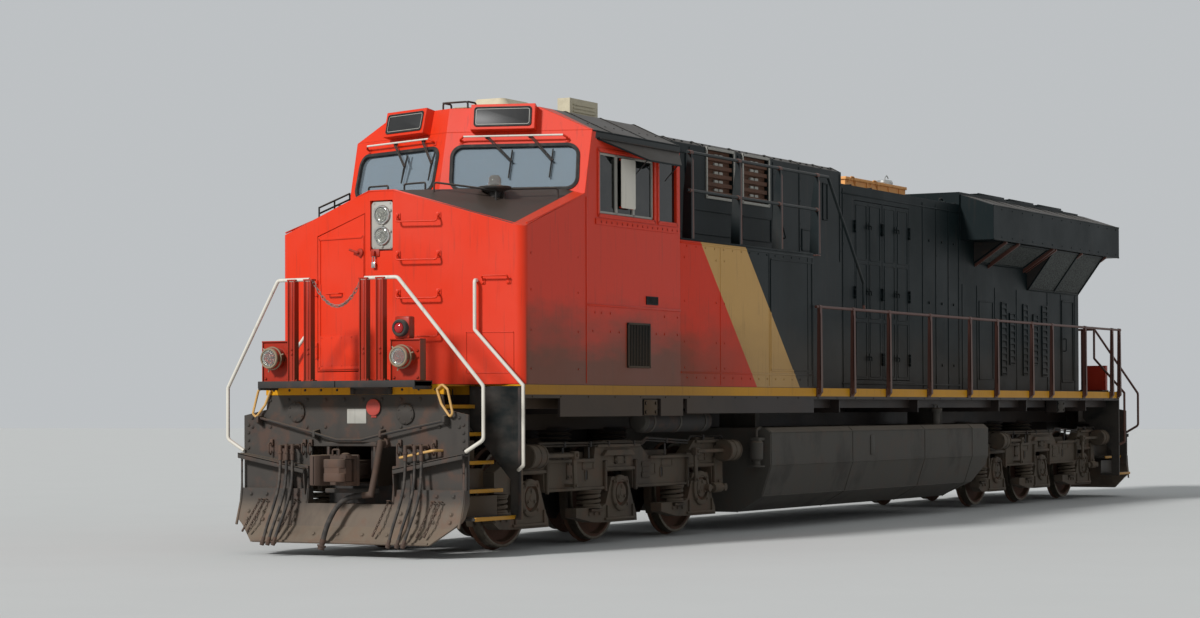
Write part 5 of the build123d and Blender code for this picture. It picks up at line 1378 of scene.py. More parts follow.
@dataclass(frozen=True)
class SideWindowTrim:
    """Frames, sashes, deflectors and sills of the cab's side windows."""

    finish: Finish
    front: Span = (6.88, 8.15)
    rear: Span = (6.33, 6.75)
    heights: Span = (3.60, 4.27)
    frame: float = 0.045

    def build(self) -> None:
        """Build both sides."""
        frames, sashes, shades, sills = (Form() for _ in range(4))
        low, high = self.heights
        for face in side_faces(SIDE):
            for u in (self.front, self.rear):
                w = self.frame
                frames.rim(face, grown(u, w), (low - w, high + w), 0.009, w, 0.03, 0.002)
                places = []
                for step in range(9):
                    z = low - w / 2 + (high - low + w) * step / 8
                    places += [face.at(u[0] - w / 2, z, 0.009), face.at(u[1] + w / 2, z, 0.009)]
                count = max(3, round((u[1] - u[0]) / 0.11))
                for step in range(1, count):
                    across = u[0] + (u[1] - u[0]) * step / count
                    places += [
                        face.at(across, low - w / 2, 0.009), face.at(across, high + w / 2, 0.009)
                    ]
                frames.bolts(places, face.out, 0.006, 0.004)
            for span in ((7.745, 8.14), (7.345, 7.745), (6.89, 7.345)):
                sashes.rim(
                    face, span, (low + 0.005, high - 0.005), -0.006, 0.024, 0.012, 0.002,
                    back=-0.028,
                )
            shades.panel(
                face, (7.385, 7.715), (low + 0.085, high - 0.04), 0.042, 0.002, 0.02, back=0.034
            )
            for x in (7.42, 7.68):
                for z in (low + 0.085, high - 0.06):
                    sills.block(
                        about(x, 0.012), (face.origin[1], face.origin[1] - 0.038 * face.sign),
                        (z, z + 0.02), 0.002,
                    )
            sills.panel(face, (6.26, 8.24), (low - 0.125, low - 0.055), 0.010, 0.003, 0.006)
            places = [face.at(6.32 + 0.12 * i, low - 0.09, 0.010) for i in range(16)]
            sills.bolts(places, face.out, 0.008, 0.005)
        frames.place("side_window_frames", self.finish.red, "red_paint")
        sashes.place("side_window_sashes", self.finish.grey, "horn_metal")
        shades.place("side_window_deflectors", self.finish.white, "rail_paint")
        sills.place("side_window_sills", self.finish.red, "red_paint")


@dataclass(frozen=True)
class CabTrim:
    """Seams, vents, grilles and bolts on the cab's sides, its roof and its awnings."""

    finish: Finish
    seam_z: float = 2.600
    grille: tuple[Span, Span] = ((6.985, 7.525), (1.93, 2.43))

    def build(self) -> None:
        """Build all pieces."""
        self.sides()
        self.grilles()
        self.awnings()
        self.roof()

    def sides(self) -> None:
        """Build the lapped seam, the rear corner strip and the rows of bolts."""
        form = Form()
        for face in side_faces(SIDE):
            form.panel(
                face, (6.235, 8.43), (self.seam_z - 0.012, self.seam_z + 0.012), 0.012, 0.005
            )
            form.panel(face, (8.425, 8.450), (DECK + 0.02, 3.76), 0.006)
            places = [face.at(x, self.seam_z - 0.08) for x in (6.30, 6.62, 7.9, 8.10, 8.25)]
            places += [face.at(x, 2.32) for x in (6.30, 6.62, 6.82, 7.7, 7.9, 8.3)]
            form.bolts(places, face.out, 0.010, 0.006)
            places = [face.at(x, z) for x in (8.62, 9.62) for z in (1.90, 2.30, 2.72, 3.10)]
            form.bolts(places, face.out, 0.009, 0.005)
        form.place("cab_side_seams", self.finish.red, "red_paint")

    def grilles(self) -> None:
        """Build the barred grille and the small vent on each side, each over a dark panel of
        painted shade.
        """
        form, dark = (Form() for _ in range(2))
        for face in side_faces(SIDE):
            u, v = self.grille
            # Dark panel behind the bars: painted shade of the opening.
            dark.panel(face, grown(u, -0.01), grown(v, -0.01), 0.004, 0.0)
            form.rim(face, u, v, 0.016, 0.022, 0.012)
            count = 15
            for step in range(1, count):
                across = u[0] + (u[1] - u[0]) * step / count
                form.panel(face, about(across, 0.007), grown(v, -0.015), 0.014, 0.003)
            u = (6.80, 7.06)
            v = (2.655, 2.725)
            # Dark panel behind the slats: painted shade.
            dark.panel(face, u, v, 0.004, 0.0)
            form.rim(face, grown(u, 0.012), grown(v, 0.012), 0.010, 0.014, 0.006, 0.002)
            for step in range(1, 9):
                across = u[0] + (u[1] - u[0]) * step / 9
                form.panel(face, about(across, 0.004), v, 0.009, 0.001)
        form.place("cab_grilles", self.finish.black, "hood_paint")
        dark.place("cab_grille_shade_panels", self.finish.dark, "hood_paint")

    def awnings(self) -> None:
        """Build the awnings' stays and hinge strips."""
        form = Form()
        for side in SIDES:
            for x in (6.62, 7.36):
                low = (x, side * (SIDE + 0.19), 4.245)
                form.tube([(x, side * (SIDE + 0.01), 4.06), low], 0.007, 8)
                form.tube([low, (x, side * (SIDE + 0.015), 4.395)], 0.007, 8)
            form.tube(
                ((6.27, side * (SIDE + 0.012), 4.415), (8.17, side * (SIDE + 0.012), 4.415)),
                0.010, 8,
            )
        form.place("awning_stays", self.finish.dark, "hood_paint")

    def roof(self) -> None:
        """Build the roof's seams, its guard and small units."""
        form = Form()
        slope = math.atan2(0.27, SIDE - 0.94)
        for x in (6.25, 7.05, 7.85):
            for side in SIDES:
                route = [(x, side * (SIDE - 0.005), 4.497), (x, side * 0.94, 4.767), (x, 0, 4.769)]
                form.tube(route, 0.008, 6)
        for side in SIDES:
            form.tube(
                ((6.24, side * (SIDE - 0.006), 4.490), (8.29, side * (SIDE - 0.006), 4.490)),
                0.012, 8,
            )
            out = Vector((0, side * math.sin(slope), math.cos(slope)))
            places = [
                Vector((6.4 + 0.2 * i, side * 1.30, 4.495 + 0.27 * (SIDE - 1.30) / (SIDE - 0.94)))
                for i in range(9)
            ]
            form.bolts(places, out, 0.009, 0.005)
        form.place("cab_roof_seams", self.finish.black, "hood_paint")
        guard = Form()
        z = 4.765
        foot, top = z - 0.01, z + 0.11
        guard.hoop((8.42, -0.30, foot), (8.42, 0.02, foot), (0, 0, 0.12), 0.011, 0.03, 10)
        for y in (-0.30, 0.02):
            guard.tube([(8.25, y, foot), (8.25, y, top), (8.42, y, top)], 0.011, 10, 0.03)
        guard.place("roof_guard", self.finish.dark, "hood_paint")
        unit = Form()
        unit.block((8.05, 8.33), (-0.24, -0.04), (z - 0.01, z + 0.07), 0.018)
        unit.turned([(0, 0.0), (0, 0.05), (0.09, 0.042), (0.1, 0.0)], (8.0, 0.45, z), UP, 20)
        casing = side_face(1, 0.61)
        for z_slot in (0.05, 0.09, 0.13, 0.17):
            unit.panel(
                casing, (6.60, 7.10), (z + z_slot, z + z_slot + 0.018), 0.010, 0.003, 0.006,
                back=-0.001,
            )
        unit.block((6.50, 7.195), (0.43, 0.63), (z - 0.004, z + 0.012), 0.004)
        unit.place("roof_unit_trim", self.finish.plastic, "unit_plastic")


@dataclass(frozen=True)
class Seams:
    """Raised strips, bolts, handles and lifting eyes over a hood's sides."""

    finish: Finish
    strip: float = 0.022
    proud: float = 0.006

    def build(self) -> None:
        """Build the strips of every hood."""
        self.upper_hood()
        self.cabinet()
        self.engine_hood()
        self.doors()
        self.radiator_hood()

    def strips(self, form: Form, face: Face, xs: Iterable[float], z: Span) -> None:
        """Add upright strips with a row of bolts beside each.

        Args:
            form: the mesh in the making.
            face: the side face.
            xs: where the strips stand.
            z: their span in height.
        """
        for x in xs:
            form.panel(face, about(x, self.strip / 2), z, self.proud)
            count = max(2, round((z[1] - z[0]) / 0.30))
            places = [
                face.at(x + 0.03 * face.sign, z[0] + (z[1] - z[0]) * (i + 0.5) / count, 0.0)
                for i in range(count)
            ]
            form.bolts(places, face.out, 0.008, 0.005)

    def upper_hood(self) -> None:
        """Build the upper hood's panels and the louvres' frames."""
        form, frames, columns, back = (Form() for _ in range(4))
        for face in side_faces(HOOD):
            foot = 3.44 if face.sign < 0 else 1.78
            self.strips(form, face, (6.20, 4.95, 3.62, 2.60, 1.80, 0.50), (foot, 4.62))
            for x, z in (
                ((3.75, 4.86), (3.58, 3.885)), ((2.66, 3.51), (3.58, 3.885)),
                ((1.31, 1.73), (3.53, 3.82)), ((0.9, 1.06), (3.97, 4.47)),
                ((5.05, 6.05), (3.58, 4.55)),
            ):
                form.rim(face, x, z, 0.010, 0.018, 0.012)
            for u in ((3.76, 4.48), (2.745, 3.475)):
                frames.rim(face, grown(u, 0.035), (4.03, 4.66), 0.014, 0.033, 0.006)
                for share in (0.42, 0.60):
                    across = u[1] - (u[1] - u[0]) * share
                    for row in range(5):
                        z = 4.10 + 0.105 * row
                        columns.panel(
                            face, about(across, 0.05), (z, z + 0.07), -0.022, 0.006, 0.012,
                            back=-0.055,
                        )
                for row in range(5):
                    z = 4.085 + 0.105 * row
                    back.panel(
                        face, grown(u, -0.004), (z, z + 0.05), -0.012, 0.004, 0.004, back=-0.035
                    )
                back.panel(face, grown(u, -0.01), (4.06, 4.63), -0.048, 0.0, back=-0.052)
            form.hoop(face.at(2.45, 3.86), face.at(2.33, 3.66), face.out * 0.05, 0.009)
        roof = 4.71
        for x in (6.15, 5.4, 4.65, 3.62, 2.60, 1.80, 1.1, 0.52):
            for side in SIDES:
                form.tube(
                    [(x, side * 1.0, roof - 0.062), (x, side * 0.88, roof), (x, 0, roof + 0.001)],
                    0.010, 6,
                )
                places = [
                    (x + step, side * 0.945, roof - 0.03)
                    for step in (0.15, -0.15, -0.35)
                    if 0.5 < x + step < 6.2
                ]
                form.bolts(places, (0, side * 0.45, 0.89), 0.012, 0.012)
        form.place("upper_hood_panels", self.finish.black, "hood_paint")
        frames.place("louvre_frames", self.finish.grey, "horn_metal")
        columns.place("resistor_insulators", self.finish.grey, "horn_metal")
        back.place("louvre_blades", self.finish.rust, "frame_steel", replaces=("grid_louvres",))

    def cabinet(self) -> None:
        """Build the inverter cabinet's seams, bolts and top edge."""
        form = Form()
        face = side_face(1, SIDE)
        top = 3.42
        for x in (5.19, 3.84, 2.70, 2.56):
            form.panel(face, about(x, 0.006), (DECK + 0.02, top - 0.02), 0.004)
        for z in (top - 0.03, DECK + 0.16):
            form.panel(face, (2.535, 6.22), about(z, 0.012), 0.005)
        form.rim(face, (2.56, 3.80), (DECK + 0.20, top - 0.10), 0.007, 0.02, 0.02, 0.002)
        places = [face.at(x, z) for x in (6.12, 5.30, 5.08) for z in (3.22, 2.72, 2.25, 1.95)]
        places += [face.at(2.7 + 0.24 * i, top - 0.065) for i in range(15)]
        places += [face.at(2.7 + 0.24 * i, DECK + 0.10) for i in range(15)]
        form.bolts(places, face.out, 0.009, 0.006)
        edge = Form()
        edge.block((2.53, 6.23), (1.505, 1.530), (top - 0.001, top + 0.022), 0.004)
        edge.place("walkway_kerb", self.finish.black, "hood_paint")
        tread = Form()
        tread.block((2.54, 6.20), (1.03, 1.50), (top - 0.001, top + 0.006), 0.002)
        tread.place("walkway_tread", self.finish.grip, "hood_paint")
        form.place("cabinet_seams", self.finish.livery, "red_paint")

    def engine_hood(self) -> None:
        """Build the engine hood's seams, lifting eyes, roof hatches and exhaust trim."""
        form = Form()
        low, high = DECK + 0.02, 4.44
        for face in side_faces(HOOD):
            between = () if face.sign < 0 else (-0.45, -0.95, -1.45, -1.95)
            self.strips(form, face, (0.40, *between, -2.45, -2.96, -3.45, -3.87), (low, high))
            for z in ((4.37, 4.39), (1.80, 1.82)):
                form.panel(face, (-3.9, 0.44), z, 0.008)
            for x in (-2.70, -3.20, -3.66):
                for z in (2.1, 3.0, 3.9):
                    form.turned(
                        [(-0.002, 0.0), (-0.002, 0.022), (0.012, 0.02), (0.016, 0.0)],
                        face.at(x, z), face.out, 14,
                    )
        roof = 4.50
        for x in (0.1, -0.6, -3.35, -3.75):
            form.block(about(x, 0.012), (-1.0, 1.0), (roof - SUNK, roof + 0.016), 0.004)
        for x in (0.25, -3.55):
            for y in (-0.85, 0.85):
                form.hoop(
                    *((end, y, roof - 0.01) for end in about(x, 0.06)), (0, 0, 0.08), 0.014, 0.05
                )
        form.place("engine_hood_seams", self.finish.black, "hood_paint")
        stack = Form()
        top = 4.72
        stack.block((-3.17, -0.93), (-0.47, 0.47), (top - 0.035, top + 0.008), 0.006)
        stack.block((-3.17, -0.93), (-0.47, 0.47), (roof - SUNK, roof + 0.030), 0.006)
        for x in (-2.9, -2.5, -2.1, -1.7, -1.3):
            for side in SIDES:
                stack.block(
                    about(x, 0.012), mirrored(side, 0.448, 0.466), (roof + 0.02, top - 0.02), 0.003
                )
        for x in (-1.15, -1.95):
            for side in SIDES:
                stack.tube(
                    [
                        (x - 0.16, side * 0.44, top - 0.12), (x - 0.05, side * 0.475, top + 0.012),
                        (x + 0.05, side * 0.475, top + 0.012), (x + 0.16, side * 0.44, top - 0.12),
                    ],
                    0.010, 8, 0.03,
                )
        stack.place("exhaust_trim", self.finish.tan, "frame_steel")
        cap = Form()
        cap.turned(
            [(0.0, 0.0), (0.0, 0.12), (0.05, 0.125), (0.08, 0.11), (0.09, 0.06), (0.09, 0.0)],
            (-2.72, 0.30, top), UP, 28,
        )
        cap.tube(
            [
                (-2.60, 0.36, top), (-2.60, 0.36, top + 0.11), (-2.66, 0.36, top + 0.15),
                (-2.72, 0.36, top + 0.11),
            ],
            0.008, 8, 0.02,
        )
        cap.place("exhaust_cap", self.finish.spun, "frame_steel")

    def doors(self) -> None:
        """Build the latches and stiffening frames of the four hood doors."""
        posts = (0.030, -0.960, -1.950)
        number = 0
        for front, rear in zip(posts, posts[1:]):
            opening = (rear + 0.023, front - 0.023)
            meet = sum(opening) / 2
            for leaf, edge in (((meet + 0.004, opening[1]), -1), ((opening[0], meet - 0.004), 1)):
                number += 1
                form = Form()
                face = side_face(1, HOOD)
                for z in ((1.90, 2.66), (2.70, 3.46), (3.50, 4.26)):
                    form.rim(face, grown(leaf, -0.05), z, 0.005, 0.014, 0.03, 0.002)
                shut = meet + (0.05 if edge < 0 else -0.05)
                for z in (2.18, 3.08, 3.98):
                    form.panel(face, (shut - 0.02, shut + 0.02), about(z, 0.05), 0.008, 0.002, 0.01)
                    form.tube(
                        [
                            face.at(shut, z, 0.004), face.at(shut, z, 0.028),
                            face.at(shut, z - 0.055, 0.028),
                        ],
                        0.008, 8, 0.008,
                    )
                form.place(
                    f"hood_door_trim_{number}", self.finish.black, "hood_paint",
                    f"hood_door_{number}",
                )

    def radiator_hood(self) -> None:
        """Build the radiator hood's seams, recessed doors and wing edges."""
        form = Form()
        for face in side_faces(HOOD):
            self.strips(
                form, face, (-4.01, -4.615, -5.38, -6.34, -7.77, -8.42, -9.12), (DECK + 0.02, 3.32)
            )
            form.rim(face, (-9.05, -8.46), (1.885, 3.235), 0.012, 0.03, 0.02)
            form.rim(face, (-5.30, -4.70), (1.90, 3.10), 0.008, 0.02, 0.02)
            form.hoop(face.at(-8.55, 2.6), face.at(-8.55, 2.4), face.out * 0.05, 0.008)
        for side in SIDES:
            for z in (3.975, 4.475):
                form.tube(
                    ((-9.865, side * (SIDE - 0.004), z), (-3.955, side * (SIDE - 0.004), z)),
                    0.012, 8,
                )
            for x in (-4.6, -5.25, -5.9, -6.55, -7.2, -7.85, -8.5, -9.15):
                form.tube(((x, side * SIDE, 4.47), (x, side * 0.95, 4.675)), 0.010, 6)
            places = [
                (x / 100, side * SIDE, z) for x in range(-970, -400, 45) for z in (4.02, 4.43)
            ]
            form.bolts(places, (0, side, 0), 0.009, 0.006)
        form.place("radiator_hood_seams", self.finish.black, "hood_paint")
        mesh, braces = (Form() for _ in range(2))
        low_y, high_y = 1.0, 1.45
        for (x0, x1), low, cuts in (((-6.60, -4.50), 3.67, ()), ((-9.25, -6.83), 3.345, (-8.04,))):
            for side in SIDES:
                foot = Vector((x1, side * low_y, low))
                head = Vector((x1, side * high_y, 3.97))
                rise = head - foot
                face = Face(tuple(foot), (-side, 0, 0), tuple(rise))
                long = x1 - x0
                u = (0.0, long) if side > 0 else (-long, 0.0)
                v = (0.0, rise.length)
                mesh.panel(face, grown(u, -0.03), (0.03, v[1] - 0.02), 0.006, 0.0, back=-0.001)
                braces.rim(face, u, v, 0.022, 0.035, back=-0.001)
                for cut in cuts:
                    at = (x1 - cut) * side
                    braces.panel(face, about(at, 0.035), v, 0.022, 0.003, back=-0.001)
        mesh.place("intake_meshes", self.finish.mesh, "frame_steel")
        braces.place("intake_frames", self.finish.black, "hood_paint")
        stays = Form()
        for side in SIDES:
            for x in (-4.55, -5.10, -6.66, -6.78, -8.04, -9.25):
                outline = [
                    (x - 0.02, side * HOOD, 3.60),
                    (x - 0.02, side * HOOD, 3.75),
                    (x - 0.02, side * 1.47, 3.97),
                    (x - 0.02, side * 1.51, 3.97),
                    (x - 0.02, side * 1.51, 3.94),
                ]
                stays.plate(outline, (0.04, 0, 0), 0.004)
        stays.place("wing_stays", self.finish.brown, "frame_steel")
        fins = Form()
        for x0, x1 in ((-6.40, -5.25), (-7.75, -6.60), (-9.10, -7.95)):
            top = 4.74
            count = 22
            for step in range(count):
                x = x0 + 0.04 + (x1 - x0 - 0.08) * step / (count - 1)
                fins.plate(
                    [
                        (x - 0.012, -0.78, top - 0.002), (x - 0.004, -0.78, top - 0.002),
                        (x + 0.018, -0.78, top + 0.03), (x + 0.010, -0.78, top + 0.03),
                    ],
                    (0, 1.56, 0),
                )
            for y in (-0.79, -0.27, 0.26, 0.78):
                fins.block(
                    (x0 + 0.01, x1 - 0.01), (y - 0.008, y + 0.012),
                    (top - 0.002, top + 0.036), 0.003,
                )
        fins.place("roof_shutters", self.finish.black, "hood_paint")


@dataclass(frozen=True)
class RailTrim:
    """Post flanges, feet, brackets and the chain of the handrails."""

    finish: Finish
    post_x: float = 10.94
    posts_y: tuple[float, ...] = (-0.543, -0.341, 0.341, 0.543)
    foot_z: float = DECK + 0.034
    top_z: float = 2.815
    side_posts: tuple[float, ...] = (
        2.4, 1.338, 0.128, -1.342, -2.881, -3.983, -5.497, -6.408, -7.991, -9.366, -9.75
    )
    right_posts: tuple[float, ...] = (5.2, 4.3, 3.4)
    rail_z: float = 2.765
    upper_posts: tuple[float, ...] = (5.90, 4.62, 3.46, 2.33)
    links: int = 21
    sag: float = 0.26

    def build(self) -> None:
        """Build all pieces."""
        self.end_posts()
        self.chain()
        self.side_brackets()

    def end_posts(self) -> None:
        """Build the flanges and feet of the end posts, front and rear."""
        form = Form()
        for y in self.posts_y:
            face = Face((self.post_x + 0.03, y, 0), ACROSS)
            for u in (-0.039, 0.039):
                form.panel(face, about(u, 0.006), (self.foot_z, self.top_z - 0.01), 0.016)
            form.panel(face, (-0.012, 0.012), (self.foot_z, self.top_z - 0.02), 0.006)
            form.block(
                (self.post_x - 0.05, self.post_x + 0.035), about(y, 0.06),
                (self.foot_z - 0.001, self.foot_z + 0.012), 0.003,
            )
            form.bolts(
                [(self.post_x + 0.02, y + s, self.foot_z + 0.012) for s in (-0.05, 0.05)], UP,
                0.010, 0.008,
            )
            form.bolts([face.at(0, 2.10, 0.006), face.at(0, 2.05, 0.006)], AHEAD, 0.010, 0.008)
            form.block(
                (self.post_x - 0.04, self.post_x + 0.04), about(y, 0.055),
                (self.top_z - 0.012, self.top_z + 0.004), 0.003,
            )
        form.place("front_post_trim", self.finish.post, "rail_paint")
        rear = Form()
        for y in self.posts_y:
            x = -self.post_x
            rear.block(
                (x - 0.035, x + 0.05), about(y, 0.06),
                (self.foot_z - 0.001, self.foot_z + 0.012), 0.003,
            )
            rear.block(
                about(x, 0.04), about(y, 0.055), (self.top_z - 0.012, self.top_z + 0.004), 0.003
            )
        rear.place("rear_post_trim", self.finish.brown, "rail_paint")

    def chain(self) -> None:
        """Build the safety chain between the front inner posts."""
        form = Form()
        half = -self.posts_y[1] - 0.045
        top = self.top_z - 0.02
        for step in range(self.links):
            share = (step + 0.5) / self.links * 2 - 1
            slope = 2 * self.sag * share / half
            middle = Vector((self.post_x, share * half, top - self.sag * (1 - share * share)))
            along = Vector((0, 1, slope)).normalized()
            aside = Vector(AHEAD) if step % 2 else along.cross(Vector(AHEAD))
            long, wide = 0.030, 0.014
            loop = []
            for corner in range(13):
                angle = math.tau * corner / 12
                ahead, over = math.cos(angle), math.sin(angle)
                stretch = math.copysign(long - wide, ahead) if abs(ahead) > 0.2 else 0.0
                loop.append(middle + along * (stretch + wide * ahead) + aside * wide * over)
            form.tube(loop, 0.0042, 6)
        for side in SIDES:
            form.tube(
                [
                    (self.post_x, side * (half + 0.01), top),
                    (self.post_x + 0.02, side * (half - 0.005), top - 0.02),
                    (self.post_x, side * (half - 0.015), top),
                ],
                0.006, 6,
            )
        form.place("front_chain", self.finish.chain, "frame_steel")

    def side_brackets(self) -> None:
        """Build the rail sockets and bolted feet of the side posts."""
        form = Form()
        for side in SIDES:
            posts = self.side_posts + (self.right_posts if side < 0 else ())
            for x in posts:
                form.tube(
                    (
                        (x - 0.045, side * (SIDE + 0.03), self.rail_z),
                        (x + 0.045, side * (SIDE + 0.03), self.rail_z),
                    ),
                    0.026, 12,
                )
                face = side_face(side, SIDE)
                form.panel(face, about(x, 0.055), (SILL + 0.035, SILL + 0.16), 0.014, 0.003, 0.012)
                places = [
                    face.at(x + u, SILL + v, 0.014) for u in (-0.042, 0.042) for v in (0.06, 0.135)
                ]
                form.bolts(places, face.out, 0.012, 0.010)
                form.plate(
                    [
                        (x + 0.012, side * (SIDE + 0.045), DECK + 0.1),
                        (x + 0.03, side * (SIDE + 0.045), DECK + 0.1),
                        (x + 0.03, side * (SIDE + 0.056), DECK + 0.1),
                        (x + 0.012, side * (SIDE + 0.056), DECK + 0.1),
                    ],
                    (0, 0, 0.85), 0.0,
                )
        for x in self.upper_posts:
            form.block(about(x, 0.05), (SIDE - 0.14, SIDE - 0.005), (3.419, 3.434), 0.003)
            for z in (4.008, 4.45):
                form.tube(((x - 0.04, SIDE - 0.03, z), (x + 0.04, SIDE - 0.03, z)), 0.026, 12)
            form.plate(
                [
                    (x - 0.015, SIDE - 0.01, 3.45), (x - 0.015, SIDE - 0.01, 4.40),
                    (x - 0.045, SIDE - 0.01, 4.36), (x - 0.055, SIDE - 0.01, 3.45),
                ],
                (0, -0.008, 0), 0.001,
            )
        form.place("side_rail_brackets", self.finish.brown, "rail_paint")


@dataclass(frozen=True)
class DitchLamps:
    """Ditch lamps with their clamping rings, and the red marker lamp."""

    finish: Finish
    y: float = 0.795
    z: float = 2.01
    face_x: float = 11.01
    radius: float = 0.11

    def build(self) -> None:
        """Build all pieces, front and rear."""
        ring, bowl, lens, boxes = (Form() for _ in range(4))
        for turn in ENDS:
            for side in SIDES:
                at = (turn * (self.face_x - 0.004), side * self.y, self.z)
                ahead = (turn, 0, 0)
                sealed_beam(ring, bowl, lens, at, ahead, self.radius * 0.80)
                r = self.radius
                ring.turned(drum(r + 0.012, (-0.05, -0.034), r - 0.001), at, ahead, 36)
                for angle in (0.3, 2.4, 4.4):
                    foot = Vector(at) + Vector(
                        (
                            -0.042 * turn, math.cos(angle) * (r + 0.010),
                            math.sin(angle) * (r + 0.010),
                        )
                    )
                    ring.tube(
                        (foot, foot + Vector((0, math.cos(angle), math.sin(angle))) * 0.03),
                        0.008, 8,
                    )
                x0, x1 = turn * 10.785, turn * 10.885
                y0, y1 = side * self.y - 0.18, side * self.y + 0.18
                boxes.block((x0, turn * 10.90), (y0, y1), (2.178, 2.192), 0.003)
                boxes.block((x0, x1 + turn * 0.01), (y0, y0 + 0.012), (DECK + 0.034, 2.18), 0.003)
                boxes.block((x0, x1 + turn * 0.01), (y1 - 0.012, y1), (DECK + 0.034, 2.18), 0.003)
                boxes.bolts(
                    [
                        (x1, side * self.y + u, DECK + 0.034 + v)
                        for u in (-0.14, 0.14)
                        for v in (0.03, 0.30)
                    ],
                    (turn, 0, 0), 0.010, 0.007,
                )
        ring.place("ditch_lamp_rings", self.finish.lamp_tan, "horn_metal")
        bowl.place("ditch_lamp_bowls", self.finish.mirror, "horn_metal")
        lens.place("ditch_lamp_lenses", self.finish.lens, "lens_glass", replaces=("lamp_lenses",))
        boxes.place("ditch_lamp_boxes", self.finish.post, "rail_paint")
        self.marker()

    def marker(self) -> None:
        """Build the marker lamp on the near box."""
        y, z = 0.755, 2.30
        box = Form()
        box.block((10.79, 10.90), (y - 0.085, y + 0.095), (2.19, 2.42), 0.02)
        box.place("marker_box", self.finish.post, "rail_paint")
        ring = Form()
        ring.turned(
            [
                (0.0, 0.0), (0.0, 0.088), (0.06, 0.088), (0.072, 0.078), (0.072, 0.058),
                (0.058, 0.054), (0.058, 0.0),
            ],
            (10.88, y, z), AHEAD, 32,
        )
        ring.place("marker_ring", self.finish.dark, "horn_metal")
        lens = Form()
        lens.turned(
            [(0.0, 0.0), (0.0, 0.054), (0.018, 0.050), (0.030, 0.034), (0.035, 0.0)],
            (10.936, y, z), AHEAD, 32,
        )
        for radius in (0.020, 0.036):
            lens.turned(
                [
                    (0.0, radius - 0.003), (0.036, radius - 0.003), (0.036, radius + 0.003),
                    (0.0, radius + 0.003),
                ],
                (10.93, y, z), AHEAD, 24,
            )
        lens.place("marker_lens", self.finish.red_lens, "lens_glass")


